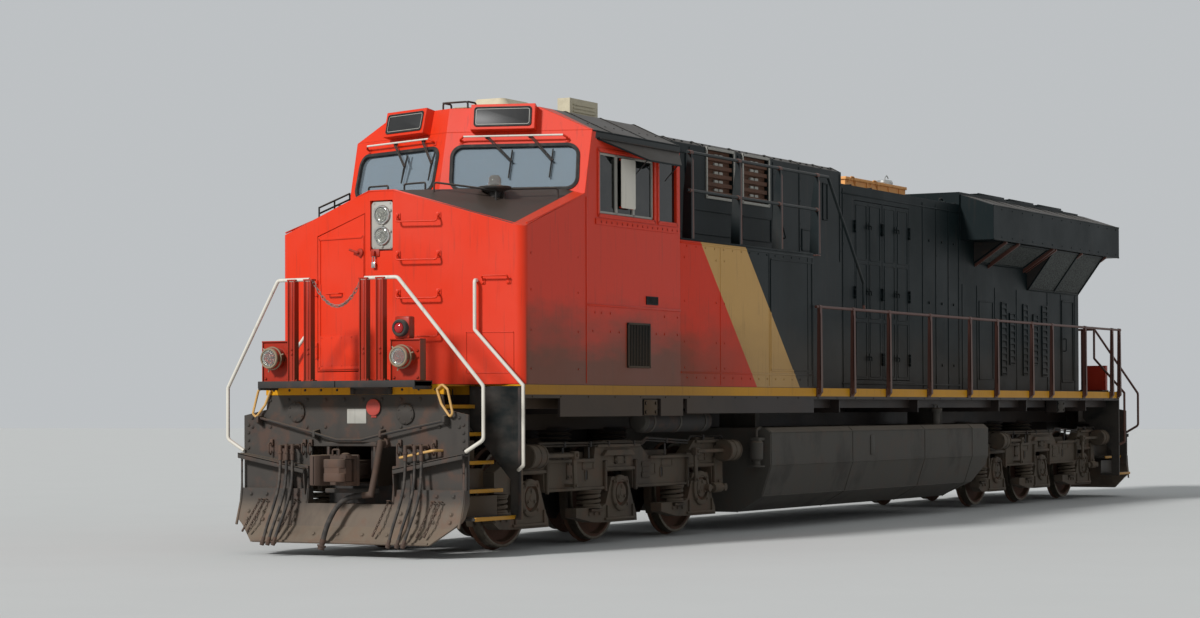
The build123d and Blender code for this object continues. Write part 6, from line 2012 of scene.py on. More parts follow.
@dataclass(frozen=True)
class PilotTrim:
    """Bolts, covers, hooks, brackets and plates on the end sheets and plows."""

    finish: Finish

    def build(self) -> None:
        """Build the front's and the rear's pieces."""
        for name, turn in (("front", 1), ("rear", -1)):
            self.sheet(name, turn)
            self.plow(name, turn)
        self.front_fittings()

    def sheet(self, name: str, turn: int) -> None:
        """Build the covers, the striker and the bolts of one end sheet.

        Args:
            name: front or rear.
            turn: 1 at the front, -1 at the rear.
        """
        form = Form()
        for y, z, r in ((0.642, 1.431, 0.105), (-0.709, 1.455, 0.105)):
            form.turned(
                [
                    (-0.002, 0.0), (-0.002, r), (0.02, r), (0.026, r - 0.01), (0.026, 0.02),
                    (0.032, 0.0),
                ],
                (turn * SHEET, y, z), (turn, 0, 0), 28,
            )
            middle = (turn * (SHEET + 0.02), y, z)
            places = around(middle, r - 0.02, (0.5, 1.6, 2.6, 3.7, 4.7, 5.8), ACROSS)
            form.bolts(places, (turn, 0, 0), 0.010, 0.012)
        places = []
        for step in range(12):
            y = -1.28 + 2.56 * step / 11
            places.append((turn * SHEET, y, 1.395 if abs(y) > 1.05 else 1.58))
            if abs(y) > 0.33:
                places.append((turn * SHEET, y, 1.30))
        for y in (-1.33, 1.33):
            places += [(turn * SHEET, y, z) for z in (1.08, 1.16, 1.24, 1.32)]
        form.bolts(places, (turn, 0, 0), 0.015, 0.012)
        for y in (-0.30, 0.27):
            form.block(
                mirrored(turn, SHEET - SUNK, SHEET + 0.045), (y, y + 0.03), (0.70, 1.125), 0.006
            )
        for z in ((1.10, 1.145), (0.62, 0.665)):
            form.block(mirrored(turn, SHEET - SUNK, SHEET + 0.055), (-0.32, 0.32), z, 0.008)
        for y in (-1.15, -0.434, 0.383, 1.15):
            z = 1.365 if abs(y) > 1 else 1.215
            form.plate(
                [
                    (turn * (SHEET - SUNK), y - 0.015, z - 0.06),
                    (turn * (SHEET + 0.10), y - 0.015, z - 0.02),
                    (turn * (SHEET + 0.10), y - 0.015, z + 0.045),
                    (turn * (SHEET - SUNK), y - 0.015, z + 0.06),
                ],
                (0, 0.03, 0), 0.004,
            )
        form.place(f"pilot_{name}_fittings", self.finish.plow, "frame_steel")
        ledge = Form()
        for y in (-0.02, 0.44):
            ledge.block(
                mirrored(turn, PORCH - SUNK, PORCH + 0.03), (y, y + 0.045),
                (STRIPE + 0.002, DECK - 0.01), 0.006,
            )
        ledge.block(
            mirrored(turn, PORCH - SUNK, PORCH + 0.03), (-0.02, 0.485),
            (STRIPE + 0.06, DECK - 0.015), 0.006,
        )
        ledge.block(
            mirrored(turn, PORCH + 0.001, PORCH + 0.012), (0.02, 0.445),
            (STRIPE + 0.001, STRIPE + 0.062), 0.0,
        )
        for side in SIDES:
            ledge.block(
                mirrored(turn, PORCH + 0.01, 10.98), mirrored(side, 0.935, 0.965),
                (DECK - 0.055, DECK + 0.03), 0.006,
            )
            ledge.block(
                mirrored(turn, 10.962, 10.985), mirrored(side, -0.01, 0.965),
                (DECK - 0.035, DECK + 0.036), 0.005,
            )
        places = [
            (turn * (PORCH + 0.002), y, STRIPE + 0.05)
            for y in (-1.0, -0.8, -0.6, -0.4, -0.2, 0.6, 0.8, 1.0)
        ]
        ledge.bolts(places, (turn, 0, 0), 0.009, 0.006)
        ledge.place(f"ledge_{name}_brackets", self.finish.dark, "hood_paint")

    def plow(self, name: str, turn: int) -> None:
        """Build the plow's edge bars, ribs and bolts.

        Args:
            name: front or rear.
            turn: 1 at the front, -1 at the rear.
        """
        form = Form()
        knee = (10.72, 0.52)
        toe = (10.80, 0.28)
        lip = (10.94, 0.11)
        for y in (-1.375, -0.54, 0.53, 1.365):
            if abs(y) > 1:
                route = [(turn * x, y, z) for x, z in ((10.70, 1.00), (10.70, 0.66), knee, toe)]
            else:
                route = [(turn * x, y, z) for x, z in ((10.70, 0.90), (10.70, 0.66), knee)]
            form.tube(route, 0.014, 8)
        for side in SIDES:
            shelf = [
                (10.64, side * 0.55, 0.872), (10.64, side * 1.385, 1.028),
                (10.765, side * 1.385, 1.028), (10.765, side * 0.55, 0.872),
            ]
            form.plate([(turn * x, y, z) for x, y, z in shelf], (0, 0, -0.014), 0.003)
            edge = [
                (10.751, side * 0.55, 0.874), (10.751, side * 1.385, 1.030),
                (10.751, side * 1.385, 0.975), (10.751, side * 0.55, 0.819),
            ]
            form.plate([(turn * x, y, z) for x, y, z in edge], (turn * 0.014, 0, 0), 0.003)
            brace = [
                (10.66, side * 0.545, 0.868), (10.76, side * 0.545, 0.868),
                (10.735, side * 0.545, 0.60), (10.66, side * 0.545, 0.60),
            ]
            form.plate([(turn * x, y, z) for x, y, z in brace], (0, side * 0.014, 0), 0.003)
        form.tube(
            [
                (turn * (lip[0] - 0.012), -1.08, lip[1] + 0.012),
                (turn * (lip[0] - 0.012), 1.08, lip[1] + 0.012),
            ],
            0.016, 8,
        )
        places = []
        for row, x in ((0.60, 10.71), (0.42, 10.757), (0.34, 10.784)):
            for y in (-1.25, -1.05, -0.85, -0.65, 0.65, 0.85, 1.05, 1.25):
                places.append((turn * x, y, row))
        form.bolts(places, (turn, 0, 0.25), 0.016, 0.012)
        places = [(turn * 10.865, y, 0.20) for y in (-0.95, -0.65, -0.35, -0.05, 0.25, 0.55, 0.85)]
        form.bolts(places, (turn * 0.77, 0, 0.64), 0.018, 0.012)
        for y in (-0.75, 0.75):
            form.plate(
                [
                    (turn * 10.66, y - 0.012, 0.90), (turn * 10.715, y - 0.012, 0.90),
                    (turn * 10.73, y - 0.012, 0.54), (turn * 10.66, y - 0.012, 0.54),
                ],
                (0, 0.024, 0), 0.003,
            )
        form.place(f"plow_{name}_trim", self.finish.plow, "frame_steel")

    def front_fittings(self) -> None:
        """Build the front's red cover, blank plate, hose hooks, chain and loops."""
        red = Form()
        red.turned(
            [(0.0, 0.0), (0.0, 0.085), (0.014, 0.085), (0.018, 0.078), (0.018, 0.0)],
            (SHEET + 0.01, 0.256, 1.50), AHEAD, 32,
        )
        red.block((SHEET - SUNK, SHEET + 0.012), (0.225, 0.287), (1.395, 1.44), 0.004)
        red.place("round_cover", self.finish.signal, "red_paint")
        blank = Form()
        blank.panel(
            Face((SHEET, 0, 0), ACROSS), (-0.078, 0.158), (1.335, 1.485), 0.004, 0.001, 0.008,
            back=-0.001,
        )
        blank.place("blank_plate", self.finish.grey, "rail_paint")
        loops = Form()
        for side in SIDES:
            loop = [
                (10.67, 1.03, 1.68), (10.68, 1.10, 1.73), (10.69, 1.17, 1.68), (10.70, 1.235, 1.44)
            ]
            loop += [(10.69, 1.20, 1.40), (10.68, 1.09, 1.53), (10.67, 1.03, 1.68)]
            loops.tube([(x, side * y, z) for x, y, z in loop], 0.013, 10, 0.03)
        loops.tube(
            [
                (SHEET, 0.62, 0.99), (SHEET + 0.10, 0.62, 0.985), (SHEET + 0.12, 1.05, 1.064),
                (SHEET, 1.08, 1.06),
            ],
            0.014, 10, 0.04,
        )
        loops.place("lever_handles", self.finish.cream_rail, "rail_paint")
        hooks = Form()
        for y in (-1.02, -0.60, -0.52, 0.58, 1.0):
            z = 1.10
            hooks.block((SHEET - SUNK, SHEET + 0.03), about(y, 0.02), (z, z + 0.07), 0.004)
            hooks.tube(
                [
                    (SHEET + 0.02, y, z + 0.03), (SHEET + 0.07, y, z + 0.03),
                    (SHEET + 0.07, y, z - 0.06), (SHEET + 0.035, y, z - 0.10),
                    (SHEET + 0.02, y, z - 0.05),
                ],
                0.008, 8, 0.02,
            )
        for y in (-1.097, -1.033, -0.636, 0.508, 1.037, 1.126):
            x, top = 10.745, 0.505
            feet = [(x - 0.01, end, top + 0.03) for end in (y - 0.02, y + 0.02)]
            hooks.hoop(*feet, (0.04, 0, 0.015), 0.006, 0.012, 6)
            fall = Vector((0.145, -0.075, -0.300)) if y > 0 else Vector((0.145, -0.090, -0.280))
            down = fall.normalized()
            for step in range(10):
                middle = Vector((x + 0.026, y, top + 0.03)) + fall * (step + 0.5) / 10
                aside = Vector(ACROSS) if step % 2 else Vector((1, 0, 0.4)).normalized()
                turns = [math.tau * k / 10 for k in range(11)]
                hooks.tube(
                    [
                        middle + aside * 0.012 * math.cos(a) + down * 0.022 * math.sin(a)
                        for a in turns
                    ],
                    0.0045, 6,
                )
            foot = Vector((x + 0.026, y, top + 0.03)) + fall
            hooks.tube((foot, foot + down * 0.05), 0.012, 8)
        hooks.place("hose_hooks", self.finish.coupler, "frame_steel")
        nuts = Form()
        for y in (-0.835, -0.758, -0.682, 0.710, 0.823, 0.903):
            nuts.tube([(SHEET - 0.001, y, 1.095), (SHEET + 0.03, y, 1.095)], 0.032, 6)
            nuts.tube([(SHEET + 0.120, y, 1.045), (SHEET + 0.120, y, 1.022)], 0.027, 6)
            nuts.tube([(SHEET + 0.120, y, 1.02), (SHEET + 0.120, y, 0.955)], 0.0215, 12)
        nuts.turned(drum(0.052, (0.0, 0.05), 0.034), (SHEET, 0.400, 1.135), AHEAD, 12)
        nuts.place("fitting_nuts", self.finish.coupler, "coupler_steel")


@dataclass(frozen=True)
class StepTrim:
    """Yellow nosings, barred treads and kick bars of the corner steps."""

    finish: Finish
    treads: tuple[Span, ...] = (
        (1.520, 0.564), (1.235, 0.459), (0.943, 0.349), (0.656, 0.239), (0.380, 0.074)
    )
    depth: float = 0.25

    def build(self) -> None:
        """Build the four corners' pieces."""
        nosing, plate, bars = (Form() for _ in range(3))
        for turn in ENDS:
            x = grown(mirrored(turn, 9.805, 10.615), 0.0)
            for top, inside in self.treads:
                for side in SIDES:
                    edge = SIDE - inside
                    y = mirrored(side, edge - 0.018, edge + 0.006)
                    nosing.block(x, y, (top - 0.034, top + 0.005), 0.003)
                    y = mirrored(side, edge - self.depth + 0.012, edge - 0.02)
                    plate.block(x, y, (top - 0.001, top + 0.004), 0.001)
                    for step in range(9):
                        along = x[0] + 0.05 + (x[1] - x[0] - 0.1) * step / 8
                        bars.block(
                            about(along, 0.008),
                            mirrored(side, edge - self.depth - 0.004, edge - self.depth + 0.002),
                            (top, top + 0.17), 0.001,
                        )
        for turn in ENDS:
            for side in SIDES:
                outline = [
                    (0.0, 0.34), (0.0, 1.70), (0.035, 1.70), (0.035, 0.37), (0.11, 0.37),
                    (0.11, 0.34),
                ]
                points = [(turn * 9.828, side * (SIDE - inward), z) for inward, z in outline]
                bars.plate(points, (turn * 0.012, 0, 0), 0.003)
        nosing.place("step_nosings", self.finish.yellow, "rail_paint")
        plate.place("step_plates", self.finish.grip, "hood_paint")
        bars.place("step_bars", self.finish.dark, "hood_paint")
        kerb = Form()
        for side in SIDES:
            for x in (6.945, -6.945):
                face = side_face(side, SIDE - 0.03)
                kerb.panel(face, about(x, 0.16), (SILL - 0.185, SILL - 0.01), 0.020, 0.004, 0.012)
                kerb.bolts(
                    [face.at(x + u, SILL - v, 0.02) for u in (-0.12, 0.12) for v in (0.05, 0.15)],
                    face.out, 0.014, 0.010,
                )
            places = [(x / 10, side * SIDE, SILL + 0.018) for x in range(-96, 98, 6)]
            kerb.bolts(places, (0, side, 0), 0.008, 0.005)
        kerb.place("sill_fittings", self.finish.black, "hood_paint")


@dataclass(frozen=True)
class TruckTrim:
    """Coil springs, caps, pipes, plates and bolts of one truck."""

    finish: Finish
    name: str
    centre: float
    first_wheelset: int
    y: float = 1.08
    spring_dx: float = 0.60
    spring_radius: float = 0.118
    wire: float = 0.0215
    turns: float = 3.4
    spring_z: Span = (0.385, 0.58)
    damper: float = 0.30
    outer: float = 1.15
    brake_y: float = 1.275

    @property
    def body(self) -> str:
        """Give the CAD body that the truck's pieces ride on."""
        return f"truck_{self.name}"

    def axles(self) -> list[float]:
        """Give the axles' places along the locomotive."""
        return [self.centre + dx for dx in (AXLE_STEP, 0.0, -AXLE_STEP)]

    def build(self) -> None:
        """Build all pieces of the truck."""
        self.springs()
        self.frame()
        self.boxes()
        self.brakes()
        self.pipes()
        self.wheel_faces()

    def springs(self) -> None:
        """Build the coil and the seats over each arm."""
        form, seats = (Form() for _ in range(2))
        low, high = self.spring_z
        for x in (axle + self.spring_dx for axle in self.axles()):
            for side in SIDES:
                steps = 84
                route = []
                for step in range(steps + 1):
                    share = step / steps
                    angle = math.tau * self.turns * share
                    ramp = min(max((share - 0.1) / 0.8, 0.0), 1.0)
                    z = low + self.wire + (high - low - 2 * self.wire) * ramp
                    route.append(
                        (
                            x + self.spring_radius * math.cos(angle),
                            side * self.y + self.spring_radius * math.sin(angle), z,
                        )
                    )
                form.tube(route, self.wire, 8)
                for z in (low - 0.002, high - 0.014):
                    seats.turned(drum(0.145, (0.0, 0.016)), (x, side * self.y, z), UP, 28)
                seats.turned(drum(0.055, (0.0, high - low)), (x, side * self.y, low), UP, 16)
        form.place(
            f"coil_springs_{self.name}", self.finish.frame, "frame_steel", self.body,
            replaces=(f"springs_{self.name}",),
        )
        seats.place(f"spring_seats_{self.name}", self.finish.frame, "frame_steel", self.body)

    def frame(self) -> None:
        """Build the side frames' flanges, slots, pads and bolts; the slots are dark panels of
        painted shade inside rims.
        """
        form, dark = (Form() for _ in range(2))
        for side in SIDES:
            face = side_face(side, self.outer, self.centre)
            flanges = (
                ((-1.62, -0.70), 0.925), ((0.62, 2.46), 0.915), ((-0.46, 0.55), 1.070),
                ((-2.52, -1.88), 1.09),
            )
            for (x0, x1), z in flanges:
                form.panel(face, (x0, x1), (z - 0.022, z + 0.012), 0.030, 0.006)
            for x0, x1 in ((-1.66, -0.36), (0.36, 1.68)):
                form.panel(face, (x0, x1), (0.585, 0.615), 0.024, 0.006)
            for axle in (AXLE_STEP, 0.0, -AXLE_STEP):
                for x in (axle - 0.345, axle + 0.370):
                    form.panel(face, about(x, 0.022), (0.56, 0.90), 0.034, 0.007, 0.004)
                form.panel(face, (axle - 0.34, axle + 0.36), (0.79, 0.825), 0.026, 0.006)
                form.panel(face, (axle - 0.11, axle + 0.13), (0.86, 0.95), 0.022, 0.006, 0.02)
                form.bolts(
                    [face.at(axle + u, v, 0.022) for u in (-0.08, 0.10) for v in (0.88, 0.93)],
                    face.out, 0.014, 0.012,
                )
            for x, z in ((0.78, 0.749), (-1.01, 0.749)):
                # Dark panel in each slot: painted shade of the opening.
                dark.panel(face, about(x, 0.025), about(z, 0.055), 0.003, 0.0, 0.024)
                form.rim(face, about(x, 0.037), about(z, 0.067), 0.010, 0.012, 0.036)
            for x, z, w, h in (
                (1.16, 0.807, 0.060, 0.095), (-0.62, 0.72, 0.10, 0.03), (-0.62, 0.845, 0.10, 0.03)
            ):
                form.panel(face, about(x, w), (z - h, z + h), 0.012, 0.004, 0.012)
            for x, z, w, h in (
                (0.74, 0.85, 0.13, 0.045), (-0.70, 0.79, 0.16, 0.067), (-1.15, 0.85, 0.14, 0.045)
            ):
                form.rim(face, about(x, w), (z - h, z + h), 0.008, 0.014, 0.02)
            form.bolts(
                [
                    face.at(1.16 + u, 0.807 + v, 0.012)
                    for u in (-0.035, 0.035)
                    for v in (-0.07, 0.07)
                ],
                face.out, 0.011, 0.010,
            )
            form.block(
                (self.centre - 0.32, self.centre + 0.38), mirrored(side, 1.02, 1.14),
                (1.08, 1.125), 0.010,
            )
            form.block(
                (self.centre - 2.45, self.centre - 1.95), mirrored(side, 1.03, 1.13),
                (1.10, 1.135), 0.010,
            )
            tow = [(-0.30, 0.955), (0.45, 0.955), (0.36, 1.02), (-0.22, 1.02)]
            form.plate([face.at(x, z, -SUNK) for x, z in tow], face.out * 0.05, 0.008)
            x, y, z = self.centre - 2.24, side * 1.20, 0.53
            form.turned(
                [
                    (0.0, 0.0), (0.0, 0.055), (0.015, 0.060), (0.20, 0.060), (0.21, 0.036),
                    (self.damper, 0.036), (self.damper, 0.0),
                ],
                (x, y, z), (-1, 0, 0), 20,
            )
            form.tube(((x + 0.12, y, z), (x, y, z)), 0.022, 12)
            for eye in (x + 0.12, x - self.damper):
                form.turned(drum(0.045, (-0.035, 0.035)), (eye, y, z), ACROSS, 20)
                form.plate(
                    [
                        (eye - 0.04, y - side * 0.03, z), (eye + 0.04, y - side * 0.03, z),
                        (eye + 0.05, y - side * 0.03, z + 0.09),
                        (eye - 0.05, y - side * 0.03, z + 0.09),
                    ],
                    (0, -side * 0.03, 0), 0.004,
                )
        form.place(f"truck_ribs_{self.name}", self.finish.frame, "frame_steel", self.body)
        dark.place(f"truck_slot_shades_{self.name}", self.finish.dark, "frame_steel", self.body)

    def boxes(self) -> None:
        """Build the journal boxes' covers, lugs and bolts, and the arms' pads."""
        form = Form()
        for axle in self.axles():
            for side in SIDES:
                face = side_face(side, self.outer, axle)
                form.turned(
                    [
                        (-0.004, 0.150), (-0.004, 0.205), (0.022, 0.200), (0.030, 0.185),
                        (0.030, 0.150),
                    ],
                    (axle, side * self.outer, AXLE), (0, side, 0), 36,
                )
                places = around(face.at(0, AXLE, 0.028), 0.178, (0.8, 2.35, 3.93, 5.5), AHEAD)
                form.bolts(places, face.out, 0.017, 0.014)
                for low, high, half in ((0.235, 0.262, 0.36), (0.655, 0.680, 0.175)):
                    form.panel(face, (-half, half), (low, high), 0.026, 0.006)
                for x in (-0.30, 0.30):
                    form.panel(face, about(x, 0.016), (0.25, 0.40), 0.020, 0.005)
                form.panel(face, (0.46, 0.72), (0.345, 0.372), 0.040, 0.006, 0.006)
                form.bolts([face.at(u, 0.315) for u in (0.47, 0.59, 0.71)], face.out, 0.016, 0.014)
        form.place(f"journal_trim_{self.name}", self.finish.frame, "frame_steel", self.body)

    def brakes(self) -> None:
        """Build the brake cylinders' flanges, rods and hangers, and the shoes at the treads."""
        form = Form()
        z = 0.975
        for rear, front, rod_end in ((2.03, 2.33, 1.26), (-2.66, -2.37, -1.65)):
            for side in SIDES:
                for at in (rear, front):
                    out = 1 if at == front else -1
                    x = self.centre + at
                    form.turned(
                        [
                            (0.0, 0.0), (0.0, 0.132), (0.022, 0.132), (0.028, 0.10), (0.034, 0.05),
                            (0.034, 0.0),
                        ],
                        (x - out * 0.032, side * self.brake_y, z), (out, 0, 0), 32,
                    )
                    middle = (x - out * 0.010, side * self.brake_y, z)
                    places = around(middle, 0.115, (0.4, 1.45, 2.5, 3.54, 4.6, 5.65), ACROSS)
                    form.bolts(places, (out, 0, 0), 0.012, 0.010)
                form.turned(
                    drum(0.131, (0.13, 0.15), 0.124), (self.centre + rear, side * self.brake_y, z),
                    AHEAD, 28,
                )
                x = self.centre + rod_end
                form.block(
                    about(x, 0.05), mirrored(side, self.brake_y - 0.035, self.brake_y + 0.035),
                    about(z, 0.045), 0.012,
                )
                form.plate(
                    [
                        (x - 0.03, side * (self.brake_y - 0.012), z + 0.03),
                        (x + 0.04, side * (self.brake_y - 0.012), z + 0.03),
                        (x + 0.02, side * (self.brake_y - 0.012), z - 0.36),
                        (x - 0.05, side * (self.brake_y - 0.012), z - 0.36),
                    ],
                    (0, side * 0.024, 0), 0.005,
                )
                form.tube(
                    ((x, side * (self.brake_y - 0.12), z), (x, side * (self.brake_y + 0.05), z)),
                    0.02, 12,
                )
                form.tube(
                    (
                        (x - 0.015, side * 1.14, z - 0.33),
                        (x - 0.015, side * (self.brake_y + 0.03), z - 0.33),
                    ),
                    0.018, 12,
                )
        for axle in self.axles():
            for side in SIDES:
                for out in (1, -1):
                    arc = []
                    for step in range(7):
                        angle = math.radians(-26 + 52 * step / 6)
                        arc.append((math.cos(angle), math.sin(angle)))
                    inner = [
                        (axle + out * 0.545 * c, side * 0.70, AXLE - 0.03 + 0.545 * s)
                        for c, s in arc
                    ]
                    outer = [
                        (axle + out * 0.600 * c, side * 0.70, AXLE - 0.03 + 0.600 * s)
                        for c, s in arc
                    ]
                    form.plate(inner + outer[::-1], (0, side * 0.09, 0), 0.004)
        form.place(f"brake_rigging_{self.name}", self.finish.frame, "frame_steel", self.body)

    def pipes(self) -> None:
        """Build the air pipes along the frame with their clips."""
        form = Form()
        route = (
            (1.95, 0.99), (1.85, 1.106), (-0.50, 1.100), (-0.60, 1.146), (-1.66, 1.100),
            (-1.72, 1.150), (-2.56, 1.145), (-2.60, 1.02),
        )
        for side in SIDES:
            y = side * 1.168
            form.tube([(self.centre + dx, y, z) for dx, z in route], 0.013, 8, 0.05)
            form.tube([(self.centre + dx, y, z - 0.030) for dx, z in route[1:5]], 0.009, 8, 0.05)
            for dx, foot, z in (
                (1.30, 0.90, 1.104), (0.72, 0.90, 1.103), (0.30, 1.04, 1.102), (-0.30, 1.04, 1.101),
                (-1.10, 0.90, 1.124), (-2.05, 1.06, 1.148),
            ):
                x = self.centre + dx
                form.block(about(x, 0.018), mirrored(side, 1.148, 1.156), (foot, z + 0.02), 0.003)
                form.block(
                    about(x, 0.018), mirrored(side, 1.15, 1.186), (z - 0.045, z + 0.018), 0.005
                )
        form.place(f"truck_pipes_{self.name}", self.finish.dark, "frame_steel", self.body)

    def wheel_faces(self) -> None:
        """Build the bearing caps and wheel rims that roll with each wheelset."""
        for number, axle in enumerate(self.axles(), self.first_wheelset):
            form, rims = (Form() for _ in range(2))
            for side in SIDES:
                cap = [
                    (0.0, 0.0), (0.0, 0.112), (0.012, 0.110), (0.018, 0.09), (0.018, 0.04),
                    (0.024, 0.035), (0.024, 0.0),
                ]
                form.turned(cap, (axle, side * 1.158, AXLE), (0, side, 0), 32)
                places = around((axle, side * 1.176, AXLE), 0.075, (1.57, 3.66, 5.76), AHEAD)
                form.bolts(places, (0, side, 0), 0.018, 0.014)
                ring = [
                    (0.716, 0.5345), (0.817, 0.5305), (0.819, 0.524), (0.819, 0.500),
                    (0.816, 0.500), (0.716, 0.520),
                ]
                rims.turned(ring, (axle, 0, AXLE), (0, side, 0), 64)
            form.place(
                f"bearing_caps_{number}", self.finish.frame, "wheel_steel", f"wheelset_{number}"
            )
            rims.place(
                f"wheel_treads_{number}", self.finish.tread, "wheel_steel", f"wheelset_{number}"
            )


@dataclass(frozen=True)
class TankTrim:
    """Weld seams, straps, gauge and fillers of the fuel tank, and the reservoirs' bands."""

    finish: Finish

    def build(self) -> None:
        """Build all pieces."""
        form = Form()
        outline = [(1.454, 1.24), (1.524, 1.18), (1.524, 0.78), (1.40, 0.40), (1.05, 0.20)]
        for x in (3.80, 1.30, -1.20, -3.02):
            for side in SIDES:
                route = [(x, side * (y + 0.001), z) for y, z in outline]
                form.tube(route, 0.008, 6)
        for side in SIDES:
            for y, z in ((1.524, 1.18), (1.524, 0.78), (1.40, 0.40)):
                form.tube(((-2.98, side * y, z), (3.82, side * y, z)), 0.007, 6)
            face = side_face(side, SIDE)
            form.panel(face, (0.60, 0.72), (0.86, 1.12), 0.012, 0.004, 0.02)
            x, y = -2.1, side * 1.33
            form.turned(
                [(0.0, 0.0), (0.0, 0.088), (0.03, 0.088), (0.045, 0.06), (0.045, 0.0)],
                (x, y, 1.435), UP, 24,
            )
            form.hoop((x - 0.06, y, 1.47), (x + 0.06, y, 1.47), (0, 0, 0.05), 0.009)
            for x in (5.15, 5.8, 6.45):
                form.turned(
                    drum(0.137, (0.0, 0.04), 0.129), (x - 0.02, side * 1.18, 1.335), AHEAD, 32
                )
            for x, out in ((5.0, -1), (6.6, 1)):
                form.turned(
                    [(-0.01, 0.0), (-0.01, 0.131), (0.0, 0.131), (0.035, 0.10), (0.05, 0.0)],
                    (x, side * 1.18, 1.335), (out, 0, 0), 32,
                )
            bowl = (3.96, side * 1.40, 0.76)
            form.turned(
                [
                    (0.0, 0.0), (0.0, 0.10), (0.02, 0.10), (0.02, 0.05), (0.07, 0.045),
                    (0.10, 0.08), (0.30, 0.085), (0.33, 0.05), (0.33, 0.0),
                ],
                bowl, UP, 24,
            )
            form.block((3.82, 4.02), mirrored(side, 1.34, 1.46), (1.08, 1.12), 0.008)
            form.tube(
                [(3.96, side * 1.40, 1.10), (3.96, side * 1.40, 1.22), (3.80, side * 1.38, 1.24)],
                0.018, 10, 0.05,
            )
        form.place("tank_trim", self.finish.tank, "tank_paint")
        ducts = Form()
        for middle in (TRUCK, -TRUCK):
            for dx in (1.35, 0.0, -1.35):
                profile = [(0.0, 0.0), (0.0, 0.24)]
                for fold in range(5):
                    profile += [(0.02 + 0.05 * fold, 0.20), (0.045 + 0.05 * fold, 0.25)]
                profile += [(0.27, 0.24), (0.27, 0.0)]
                ducts.turned(profile, (middle + dx, 0.25, 0.99), UP, 28)
            ducts.block((middle - 2.2, middle + 2.2), (-0.20, 0.05), (1.03, 1.24), 0.02)
        for turn in ENDS:
            ducts.block(mirrored(turn, 10.30, 10.33), (-0.52, 0.52), (0.50, 0.70), 0.004)
        ducts.place("blower_ducts", self.finish.dark, "frame_steel")


@dataclass(frozen=True)
class CouplerTrim:
    """Ribs, pin heads and the lock lifter of one coupler."""

    finish: Finish
    name: str
    turn: int

    def build(self) -> None:
        """Build the coupler's and the knuckle's pieces."""
        form = Form()
        z = 0.86
        t = self.turn
        form.turned(
            [(0.0, 0.0), (0.0, 0.045), (0.02, 0.045), (0.03, 0.02), (0.03, 0.0)],
            (t * 11.01, t * 0.15, z + 0.149), UP, 20,
        )
        for side in (0.085, -0.085):
            form.block(
                mirrored(t, 10.52, 10.80), (side - 0.012, side + 0.012), about(z, 0.06), 0.006
            )
        form.block(mirrored(t, 10.86, 10.90), mirrored(t, -0.245, 0.225), about(z, 0.158), 0.012)
        guard = (
            (10.88, -0.240), (11.05, -0.240), (11.10, -0.232), (11.135, -0.205), (11.146, -0.170),
            (11.140, -0.145), (11.09, -0.112), (10.96, -0.078), (10.88, -0.078),
        )
        form.plate([(t * x, t * y, z - 0.156) for x, y in guard], (0, 0, 0.312), 0.016)
        for low, high in ((-0.125, -0.030), (0.030, 0.125)):
            form.block(
                mirrored(t, 10.93, 11.04), mirrored(t, -0.246, -0.225), (z + low, z + high), 0.014
            )
        for low in (-0.156, 0.122):
            form.turned(drum(0.062, (0.0, 0.034), 0.026), (t * 11.01, t * 0.15, z + low), UP, 28)
        form.hoop(*((t * 10.95, t * y, z + 0.15) for y in (-0.05, 0.03)), (0, 0, 0.06), 0.010)
        form.place(
            f"coupler_{self.name}_trim", self.finish.coupler, "coupler_steel",
            f"coupler_{self.name}",
        )
        jaw = Form()
        nose = (
            (11.080, 0.203), (11.098, 0.207), (11.128, 0.192), (11.150, 0.166), (11.155, 0.130),
            (11.155, 0.000), (11.148, -0.025), (11.128, -0.042), (11.090, -0.045), (11.066, -0.040),
            (11.056, -0.020), (11.056, 0.055), (11.080, 0.075),
        )
        for low, high in ((-0.115, -0.024), (0.024, 0.115)):
            jaw.plate([(t * x, t * y, z + low) for x, y in nose], (0, 0, high - low), 0.013)
        jaw.place(
            f"knuckle_{self.name}_trim", self.finish.coupler, "coupler_steel",
            f"knuckle_{self.name}",
        )


